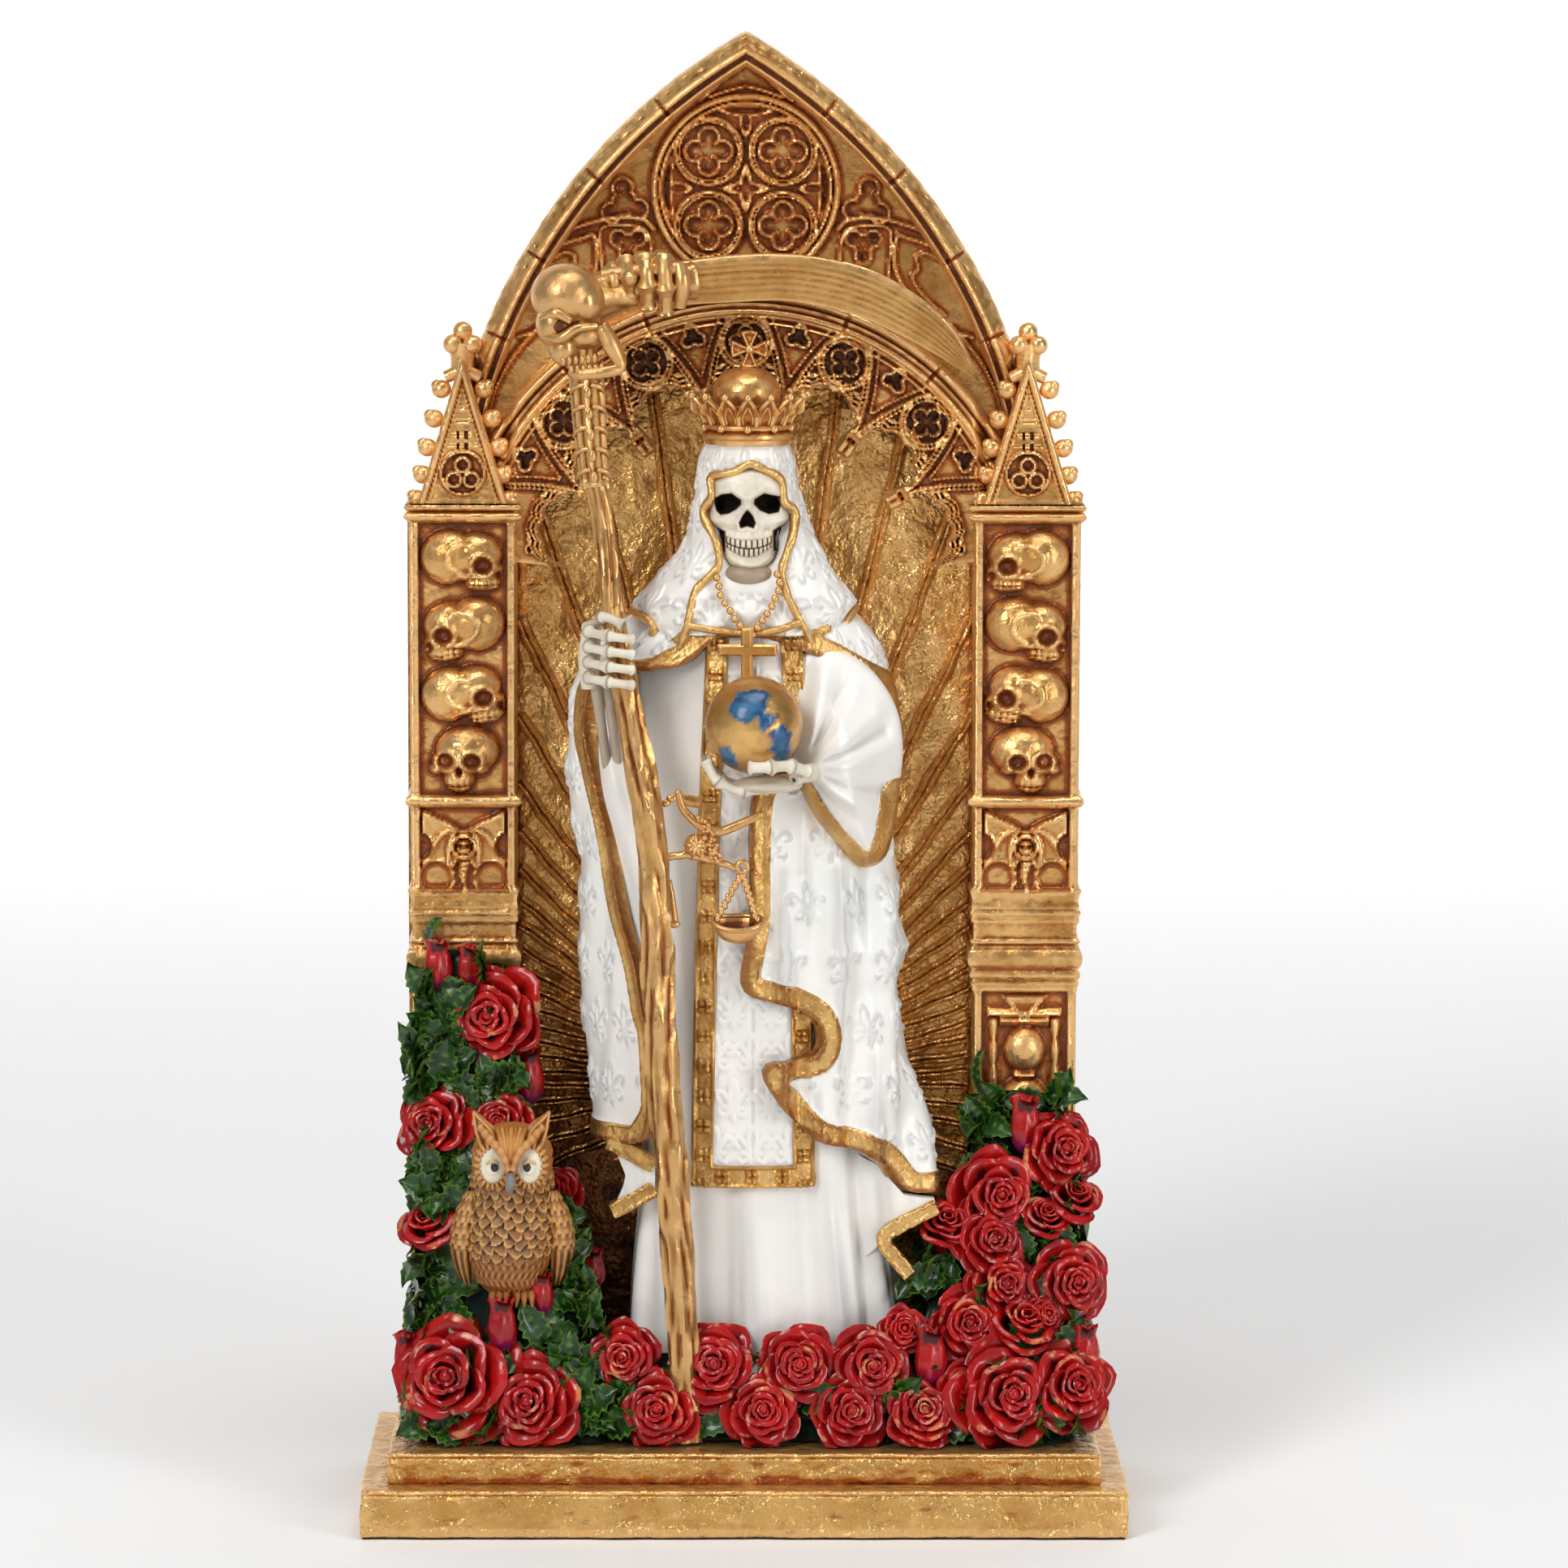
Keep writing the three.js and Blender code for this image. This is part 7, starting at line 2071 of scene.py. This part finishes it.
EAR = [(0.10, -0.16, 0.86), (0.17, -0.15, 0.97), (0.245, -0.12, 1.075)]
EYEBROW = [(0.012, -0.325, 0.78), (0.05, -0.32, 0.87), (0.12, -0.27, 0.93), (0.2, -0.2, 1.0)]
for side in (-1, 1):
    add_wing(side)
    ear_swell = {"swell": lambda t, g: 1 + 0.1 * np.sin(5 * g + 8 * t)}
    owl_rod(side, EAR, 26, [2.6, 2.2, 0.25], 24, squash=0.55, tip=0.35, orange=0.8, **ear_swell)
    for lean in (-0.05, 0.05):
        rim = [(0.13 + lean, -0.2, 0.875), (0.175 + lean * 0.9, -0.19, 0.97), (0.243, -0.15, 1.07)]
        owl_rod(side, rim, 20, [0.5, 0.45, 0.25], 10, tip=0.95, orange=0.7)
    add_eye(side)
    brow_swell = {"swell": lambda t, g: 1 + 0.12 * np.sin(40 * t)}
    owl_rod(side, EYEBROW, 30, [0.6, 0.95, 0.95, 0.7], 14, tip=0.6, orange=1.0, **brow_swell)
    for toe in (-0.035, 0, 0.035):
        root, bend, nail = 0.08 + side * toe, 0.08 + side * toe * 1.3, 0.08 + side * toe * 1.5
        claw = [(root, -0.08, 0.06), (bend, -0.16, 0.055), (nail, -0.19, 0.0)]
        owl_rod(side, claw, 16, [1.1, 0.95, 0.3], 12, tip=0.1, orange=0.5)
for k in range(7):
    fluff = [(0.012 * (k - 3), -0.31, 0.83), (0.02 * (k - 3), -0.29, 0.92), (0.03 * (k - 3), -0.18, 0.985)]
    owl_rod(1, fluff, 12, [0.4, 0.7, 0.5], 8, tip=0.25 + 0.4 * (k % 2), orange=1.0)
owl_rod(1, [(0, -0.30, 0.765), (0, -0.345, 0.715), (0, -0.32, 0.645)], 20, [0.75, 1.15, 0.3], 18, beak=1.0)
for part in owl.points:
    part[:, 0] = OWL[0] + 0.6 + 0.85 * (part[:, 0] - OWL[0])

# %% Feather paint
b = Brush("dry-brushed feathers")
tip = b.total(b.mark("tip"), b.times(b.mark("hollow"), -0.6), b.centred(b.noise(1.4), 0.4))
plain = b.blend(b.rise(tip, 0.0, 0.5), (0.035, 0.012, 0.004), (0.30, 0.12, 0.028))
plain = b.blend(b.rise(tip, 0.45, 1.1), plain, (0.60, 0.33, 0.10))
warm = b.blend(b.rise(tip, -0.1, 0.4), (0.12, 0.035, 0.008), (0.42, 0.14, 0.025))
warm = b.blend(b.rise(tip, 0.4, 1.0), warm, (0.60, 0.29, 0.08))
feathers = b.blend(b.rise(b.mark("orange"), 0.1, 0.9), plain, warm)
feathers = b.blend(b.rise(b.mark("cream"), 0.2, 0.7), feathers, (0.80, 0.74, 0.58))
feathers = b.blend(b.mark("eye"), feathers, (0.012, 0.016, 0.012))
feathers = b.blend(b.mark("beak"), feathers, (0.20, 0.20, 0.19))
b.set(Base_Color=feathers, Roughness=b.rise(b.mark("eye"), 0, 1, 0.5, 0.1), Coat_Weight=0.2, Coat_Roughness=0.25)
b.bump((b.noise(1.1, 4, 0.6), 0.1), (b.noise(0.35), 0.04))
piece("owl", owl, "owl", b.material, rounds=3, reach=0.4)

# %% [markdown]
# ## Roses
# A moulded rose is a set of cupped petals that lean on one another. Each petal is a patch of a bowl: it
# rises from the middle, its rim rolls outwards, and its ends tuck in under the next one. Rings of two to
# five petals grow wider and flatter towards the outside. The `rim` mark tells the paint where a little
# gold was brushed on.

# %% Where the flowers are: x, y, height and radius
OPEN_ROSES = [
    (-51.2, -1, 83.4, 8.8), (-63.2, -6, 62, 7.0), (-49.3, -6, 62.6, 5.6), (-58.6, -20, 12.8, 11.8),
    (-42.9, -24, 8.6, 9.0), (-24.3, -20, 17.2, 6.8), (-38.3, -2, 47.8, 4.6), (-6.2, -20, 15.4, 8.6),
    (-17.3, -24.5, 7.4, 8.0), (3.7, -24.5, 7.0, 7.2), (10.9, -21, 15.6, 8.0), (21.4, -24.5, 6.9, 7.4),
    (25.6, -21, 15.5, 8.2), (35.7, -24.5, 7.0, 7.0), (52.9, -23, 9.8, 10.0), (66.0, -21, 11.4, 7.8),
    (32, -18, 22.5, 4.2), (44.9, -16, 23.2, 6.6), (61.1, -15, 25.0, 3.4), (52.4, -13, 30.6, 6.2),
    (49.8, -10.5, 39.2, 6.6), (51.2, -6, 47.7, 8.0), (64.6, -2, 56.4, 7.0), (66.4, -11, 30.7, 7.2),
    (-12, -17, 9.5, 6), (15.5, -17, 8.5, 6), (44.2, -20, 11, 6.2),
]
CUP_ROSES = [
    (-63.9, -10, 42.6, 5.4), (40.9, -9, 42.4, 5.2), (61.1, -8, 43.8, 4.4), (67.2, -5, 47.4, 4.7),
    (56.4, -16, 23.4, 6.4),
]
BUDS = [
    (-62.3, 3, 93.9, 2.9), (-55.9, 3, 93.2, 2.5), (-44, 1, 71.4, 3.2), (-48.8, -19, 24.2, 3.0),
    (-41, -15, 29.5, 2.5), (-30.6, -7, 33, 2.3), (57, 0, 61.6, 3.2), (37.4, -19, 17.5, 3.4),
    (68.9, -16, 18.6, 2.7), (-68.4, -15, 17, 2.4),
]

# %% One petal, and a rose of them
PETAL_STEPS = np.array([[0], [0.22], [0.45], [0.66], [0.83], [0.95]])
PETAL_RIM = [0, 0, 0, 0, 0, 0.25, 1, 0.8, 0.2, 0]
OPEN_RINGS = [
    (0.12, 230, 2, 0.40, 0.0, 0.0), (0.24, 165, 3, 0.44, 0.0, 0.02), (0.39, 150, 3, 0.42, -0.05, 0.03),
    (0.57, 125, 4, 0.31, -0.15, 0.045), (0.79, 112, 4, 0.12, -0.32, 0.06), (0.99, 95, 5, -0.16, -0.5, 0.06),
]
CUP_RINGS = [
    (0.16, 230, 2, 0.5, -0.2, 0.0), (0.34, 165, 3, 0.5, -0.4, 0.03), (0.55, 150, 3, 0.42, -0.7, 0.06),
    (0.80, 140, 3, 0.2, -1.3, 0.12), (0.98, 130, 3, 0.0, -1.9, 0.2),
]


def facing_frame(x, lift=0.34):
    """Directions of a flower that looks forwards, upwards by lift, and a little away from the middle."""
    n = unit([0.006 * x, -1, lift])
    side = unit(np.cross([0, 0, 1.0], n))
    return np.stack([side, np.cross(n, side), n], 1)


def petal(middle, width, radius, top, low, curl, across):
    """One cupped petal in shares of the rose's radius: its inside, the rolled rim, and a strip of its back."""
    a = np.linspace(-1, 1, across)[None, :]
    ruffle = 0.06 * bell(a, 0.2) + 0.11 * a + 0.035 * np.sin(5 * a + 9 * middle)
    reach = radius * (1 - 0.24 * np.abs(a) ** 2.4 + ruffle)
    lip = top - 0.16 * radius * np.abs(a) ** 3 + 0.035 * np.sin(6 * a + 5 * middle)
    thick = 0.055 * (1 - np.abs(a) ** 4) + 0.004
    inner = 0.3 * radius

    def bowl(q):
        return inner + (reach - inner) * q**0.8, low + (lip - low) * (1 - (1 - q) ** 1.7)

    r, z = bowl(PETAL_STEPS)
    back_r, back_z = bowl(0.5)
    rolled = [reach + curl * 0.5, reach + curl + thick, reach + curl * 0.6 + thick * 0.6]
    r = np.vstack([r] + rolled + [back_r + thick * 1.3])
    z = np.vstack([z, lip + 0.01, lip - curl * 0.35, lip - curl - thick, back_z - thick])
    theta = middle + a * width / 2
    return at(r * np.cos(theta), r * np.sin(theta), z)


def add_rose(clay, rng, place, radius, rings, lift):
    turn = facing_frame(place[0], lift)
    start = rng.uniform(0, 2 * np.pi)
    for share, width, count, top, low, curl in rings:
        start += rng.uniform(0.5, 1.3)
        across = 8 if share < 0.3 else 11
        for k in range(count):
            middle = start + 2 * np.pi * k / count + rng.normal(0, 0.08)
            size = share * (1 + rng.normal(0, 0.035))
            height, roll_out = top + rng.normal(0, 0.03), curl * rng.uniform(0.6, 1.5)
            points = petal(middle, math.radians(width), size, height, low, roll_out, across)
            world = (points * radius @ turn.T + place).reshape(-1, 3)
            world[:, 2] = np.maximum(world[:, 2], FOOT - 0.1)
            faces = grid(len(points), across)
            inside = faces[: (len(PETAL_STEPS) - 2) * (across - 1)]
            away = face_normals(world, inside).sum(0) @ turn[:, 2] <= 0
            clay.gather(world, [faces[:, ::-1] if away else faces], {"rim": np.repeat(PETAL_RIM, across)})


# %% Roses and buds
rng_roses = np.random.default_rng(11)
roses = Clay()
for x, y, up, radius in OPEN_ROSES:
    place = np.array([x, y, FOOT + up])
    rings = OPEN_RINGS if radius > 5 else OPEN_RINGS[1:]
    grown = radius * (1.0 if up < 18 and abs(x) < 50 else 1.1)
    add_rose(roses, rng_roses, place, grown, rings, rng_roses.uniform(0.15, 0.5))
    egg(roses, place + facing_frame(x)[:, 2] * 0.3 * radius, 0.16 * radius, 8, 5, rim=0.5)
    # a dark egg behind and under each rose is painted nearly black: painted shade between the flowers
    low = 0.15 * radius
    stem_radii = (0.72 * radius, 0.5 * radius, min(0.72 * radius, up - low))
    egg(roses, place + (0, 0.45 * radius, -low), stem_radii, 16, 7, deepened=1.0)
for x, y, up, radius in CUP_ROSES:
    add_rose(roses, rng_roses, np.array([x, y, FOOT + up]), radius, CUP_RINGS, 1.3)
BUD_LINE = [
    (0.05, -2.1), (0.5, -1.9), (0.92, -1.2), (1.0, -0.4), (0.86, 0.5), (0.74, 1.0), (0.92, 1.5), (1.02, 1.62),
    (0.84, 1.55), (0.55, 1.15), (0.5, 1.55), (0.4, 1.6), (0.25, 1.3), (0.02, 1.2),
]
BUD_MARKS = {
    "rim": np.repeat([0, 0, 0, 0, 0, 0.1, 0.6, 1, 0.6, 0, 0.7, 0.4, 0, 0], 28),
    "violet": np.repeat([1, 1, 0.6, 0.2, 0, 0, 0, 0, 0, 0, 0, 0, 0, 0], 28),
}


def bud_shape(a, t, r, z):
    lobe = 1 + 0.1 * np.sin(3 * a + 9 * t) + 0.05 * np.sin(7 * a)
    return r * lobe, z + 0.16 * np.sin(3 * a + 2) * smooth_step(t, 0.4, 0.55)


for x, y, up, radius in BUDS:
    turned(roses, BUD_LINE, 28, shape=bud_shape, **BUD_MARKS)
    roses.points[-1] = roses.points[-1] * radius + np.array([x, y, FOOT + up])

# %% Rose paint
b = Brush("glossy rose")
red = b.mottled(6, (0.29, 0.003, 0.004), (0.46, 0.007, 0.006))
# near-black in the hollows between the petals is painted shade
red = b.blend(b.rise(b.wash_and_shade(0.7), 0.0, 0.55, 0, 0.95), red, (0.04, 0.001, 0.003))
# the dark egg behind each rose takes painted shade
red = b.blend(b.mark("deepened"), red, (0.07, 0.002, 0.02))
red = b.blend(b.rise(b.mark("violet"), 0.2, 1, 0, 0.8), red, (0.10, 0.01, 0.09))
brushed = b.times(b.mark("rim"), b.rise(b.noise(5, 3, 0.6), 0.5, 0.68))
b.set(Base_Color=b.blend(b.rise(brushed, 0.3, 1.0, 0, 0.55), red, (0.80, 0.38, 0.16)), Specular_IOR_Level=0.25)
b.set(Roughness=b.rise(b.noise(2.5), 0.3, 0.7, 0.24, 0.38), Coat_Weight=0.45, Coat_Roughness=0.06)
b.bump((b.noise(2.4, 2), 0.16), (b.noise(0.6), 0.02))
piece("roses", roses, "roses", b.material, rounds=3, reach=0.5, sharp=75)

# %% [markdown]
# ## Leaves and the green banks
# Behind the roses the bed is a dark green mass, painted nearly black as painted shade between the leaves.
# Serrated leaves lie over it in all directions, each with a folded midrib, veins and a brighter wiped edge.
# They are scattered by chance with a fixed seed, so that they fall the same way each time, and on the front
# few are spent where a flower hides them.

# %% One leaf
LEAF_ACROSS = np.array([[-1, -0.5, -0.16, 0.16, 0.5, 1, 0]])
LEAF_FACE = np.array([[1, 1, 1, 1, 1, 1, 0]])


def add_leaf(clay, base, direction, normal, length, width, bend=0.25):
    along = unit(direction)
    normal = unit(normal - along * np.dot(normal, along))
    side = np.cross(along, normal)
    t, u = np.linspace(0, 1, 11)[:, None], LEAF_ACROSS
    teeth = 1 + 0.17 * np.where(np.arange(11) % 2 == 0, 1, -0.6)[:, None] * (t > 0.1) * (t < 0.95)
    half = width * np.sin(np.pi * np.clip(t * 0.97 + 0.02, 0, 1)) ** 0.65 * teeth * (1 - 0.35 * t)
    vein = 0.05 * np.cos(2 * np.pi * (t * 5.5 - np.abs(u) * 0.9)) * (np.abs(u) < 0.9) + 0.14 * bell(u, 0.16)
    lift = 0.32 * np.abs(u) ** 1.3 * width + bend * length * (t - t * t * 1.6)
    lift = lift + vein * 2.2 * LEAF_FACE - 0.55 * (1 - LEAF_FACE) * (1 - np.abs(u))
    points = base + along * (t * length)[..., None] + side * (u * half)[..., None] + normal * lift[..., None]
    mark = LEAF_FACE * (0.8 * bell(u, 0.2) + 0.5 * smooth_step(vein, 0.0, 0.05))
    clay.add(points, grid(*lift.shape, wrap=True), vein=mark.ravel())


# %% Green banks
BANKS = {
    "left": np.array([
        [0.2, -68.5, -21, -24, 17], [14, -68, -24, -20, 16], [26, -67, -30, -15, 14], [44, -66.5, -37, -10, 12],
        [66, -66.5, -46, -4, 12], [84, -66, -48, 0, 12], [95, -64, -54, 3, 12],
    ]),
    "right": np.array([
        [0.2, 36, 69, -24, 17], [22, 34, 69, -15, 16], [40, 37, 69, -6, 14], [52, 44, 68, 0, 12],
        [66, 48, 64, 4, 12],
    ]),
    "front": np.array([[0.2, -66, 66, -22, -14], [8, -66, 66, -21, -13], [16, -60, 60, -18, -13]]),
}
leaves = Clay()
around = np.linspace(-np.pi, np.pi, 72, endpoint=False)[None, :]
for table in BANKS.values():
    ups = np.linspace(0.15, table[-1, 0], 32)[:, None]
    lumps = 1.3 * ripple(around * 14, ups, 1.5) + 0.8 * ripple(around * 14, ups, 0.8, 4) - 1.6
    x, y, up = np.moveaxis(ring_point(table, around, ups, lumps, 0.45), -1, 0)
    shell = at(x, np.minimum(y, np.where(np.abs(x) > 45.5, 7.0, 20.5)), FOOT + up)
    top = shell[-1:]
    roof = top.mean(1, keepdims=True) + 0 * top
    shell = np.concatenate([shell, 0.5 * top + 0.5 * roof + [0, 0, 1], roof + [0, 0, 1.2]])
    leaves.add(shell, grid(34, 72, wrap=True), ground=1.0)

# %% Scattered leaves
FLOWERS = [(x, FOOT + up, 0.75 * radius) for x, _, up, radius in OPEN_ROSES + CUP_ROSES]
FLOWERS += [(x, FOOT + up, 1.6 * radius) for x, _, up, radius in BUDS]
LEAF_PLAN = [
    ("left", 210, -0.8, -0.1), ("left", 90, -1.06, -0.8), ("right", 90, -0.9, -0.2), ("right", 70, -0.2, 0.06),
    ("front", 90, -0.8, -0.2),
]


def hidden(x, z):
    """True where a flower or the owl stands in front of the bank."""
    behind_flower = any(math.hypot(x - fx, z - fz) < reach for fx, fz, reach in FLOWERS)
    return behind_flower or (abs(x - OWL[0]) < 6.5 and 52 < z < 78)


def scatter_leaf(table, first, last):
    """Lays one leaf on a bank, between two angles. Returns False where it would be hidden."""
    up = pick.uniform(1.5, table[-1, 0] + 1)
    angle = pick.uniform(first, last) * math.pi
    x, y, _ = ring_point(table, angle, up, -0.4, 0.45)
    at_side = abs(math.cos(angle)) > 0.78
    if hidden(x, FOOT + up) and not at_side:
        return False
    if at_side:
        out = np.array([0.9 * np.sign(math.cos(angle)), -0.35, 0.3])
        way = np.array([0.1 * pick.normal(), pick.normal(-0.2, 1), pick.normal(-0.1, 1)])
    else:
        out = np.array([0.6 * math.cos(angle), min(-0.6, math.sin(angle)), 0.3])
        way = np.array([pick.normal(0, 1), -0.3, pick.normal(-0.1, 1)])
    length = pick.uniform(6.5, 10)
    base = np.array([x, min(y, 5) if abs(x) > 45 else y, FOOT + up])
    tip = base + unit(way) * length
    too_low = tip[2] < FOOT + 1.5 and way[2] < 0
    way = way * np.where([abs(tip[0]) > 70, tip[1] > 6.5, too_low], -1, 1)
    add_leaf(leaves, base, way, out, length, pick.uniform(2.6, 3.8))
    return True


pick = np.random.default_rng(5)
for name, count, first, last in LEAF_PLAN:
    made = 0
    while made < count:
        made += scatter_leaf(BANKS[name], first, last)
for part in leaves.points:
    part[:, 2] = np.maximum(part[:, 2], FOOT + 0.05)
    part[:, 0] = np.clip(part[:, 0], -72, 72)

# %% Leaf paint
b = Brush("glossy leaf")
green = b.mottled(5, (0.004, 0.018, 0.003), (0.014, 0.064, 0.008))
wiped = b.total(b.maths("SUBTRACT", b.mark("vein"), b.mark("hollow")), b.centred(b.noise(3)))
green = b.blend(b.rise(wiped, 0.4, 1.2, 0, 0.8), green, (0.12, 0.24, 0.025))
ground = b.mark("ground")
# the bank's near-black is painted shade between the leaves
b.set(Base_Color=b.blend(ground, green, (0.004, 0.012, 0.008)))
b.set(Roughness=b.rise(b.noise(2), 0.3, 0.7, 0.24, 0.42))
b.set(Coat_Weight=b.rise(ground, 0, 1, 0.35, 0.1), Specular_IOR_Level=b.rise(ground, 0, 1, 0.3, 0.1))
b.set(Coat_Roughness=0.08)
b.bump((b.noise(1.2), 0.12))
piece("leaves", leaves, "roses", b.material, rounds=2, reach=0.4, sharp=60)

# %% [markdown]
# ## Floor, light and camera
# A pale floor, a curved sweep and a backdrop, as in a product photograph. They glow a little, so that the
# white ground stays even without more lamps. Metal shows what it mirrors, so the three lights are wide
# enough to run along the rolls, and the hammered gold breaks them into sparks.

# %% Floor and backdrop
PALE, WHITE, GLOW = (0.95, 0.95, 0.95, 1), (1, 1, 1, 1), 0.62


def card(name, corners, faces, finish, location=(0, 0, 0), turn=(0, 0, 0)):
    mesh = bpy.data.meshes.new(name)
    mesh.from_pydata(corners, [], faces)
    mesh.polygons.foreach_set("use_smooth", [True] * len(faces))
    mesh.materials.append(finish.material)
    made = bpy.data.objects.new(name, mesh)
    made.location = location
    made.rotation_euler = turn
    bpy.context.scene.collection.objects.link(made)


square = [(-4.5, -4.5, 0), (4.5, -4.5, 0), (4.5, 4.5, 0), (-4.5, 4.5, 0)]
near_floor = Brush("floor that brightens away from the figure")
depth = near_floor.make("ShaderNodeSeparateXYZ", Vector=near_floor.place).outputs[1]
near_floor.set(Base_Color=PALE, Roughness=0.9, Emission_Color=WHITE)
near_floor.set(Emission_Strength=near_floor.rise(depth, 0.05, 1.7, 0.0, GLOW))
card("floor", square, [(0, 1, 2, 3)], near_floor)
glowing = Brush("backdrop paint")
glowing.set(Base_Color=PALE, Roughness=0.9, Emission_Color=WHITE, Emission_Strength=GLOW)
card("backdrop", square, [(0, 1, 2, 3)], glowing, (0, 2.6, 0), (math.pi / 2, 0, 0))
bend = [(0.9 * math.sin(a), 0.9 * (1 - math.cos(a))) for a in np.linspace(0, math.pi / 2, 25)]
corners = [(side * 4.5, 1.69 + y, z + 0.0005) for y, z in bend for side in (-1, 1)]
card("sweep", corners, [(2 * k, 2 * k + 1, 2 * k + 3, 2 * k + 2) for k in range(24)], glowing)


# %% Lights
def soft_light(name, location, target, size, energy):
    lamp = bpy.data.lights.new(name, "AREA")
    lamp.shape = "RECTANGLE"
    lamp.size, lamp.size_y = size
    lamp.energy = energy
    made = bpy.data.objects.new(name, lamp)
    made.location = location
    made.rotation_euler = (Vector(target) - Vector(location)).to_track_quat("-Z", "Y").to_euler()
    bpy.context.scene.collection.objects.link(made)


soft_light("key from the left", (-0.75, -1.2, 0.95), (0, 0, 0.16), (0.4, 0.8), 11.0)
soft_light("fill from the right", (1.1, -1.1, 0.45), (0, 0, 0.15), (0.3, 1.0), 7.8)
soft_light("top", (0.1, -0.35, 1.4), (0, 0, 0.1), (0.9, 0.4), 6)
world = bpy.data.worlds.new("studio")
world.use_nodes = True
background = world.node_tree.nodes["Background"]
background.inputs["Color"].default_value = WHITE
background.inputs["Strength"].default_value = 0.24
bpy.context.scene.world = world

# %% Camera
lens = bpy.data.cameras.new("camera")
lens.lens, lens.sensor_width = 154.5, 36
camera = bpy.data.objects.new("camera", lens)
camera.location = (-0.0048, -1.3491, 0.3146)
camera.rotation_euler = (math.radians(90 - 7.07), math.radians(-0.14), math.radians(-0.521))
bpy.context.scene.collection.objects.link(camera)
bpy.context.scene.camera = camera
bpy.context.scene.view_settings.view_transform = "Standard"
print("camera at", tuple(camera.location))
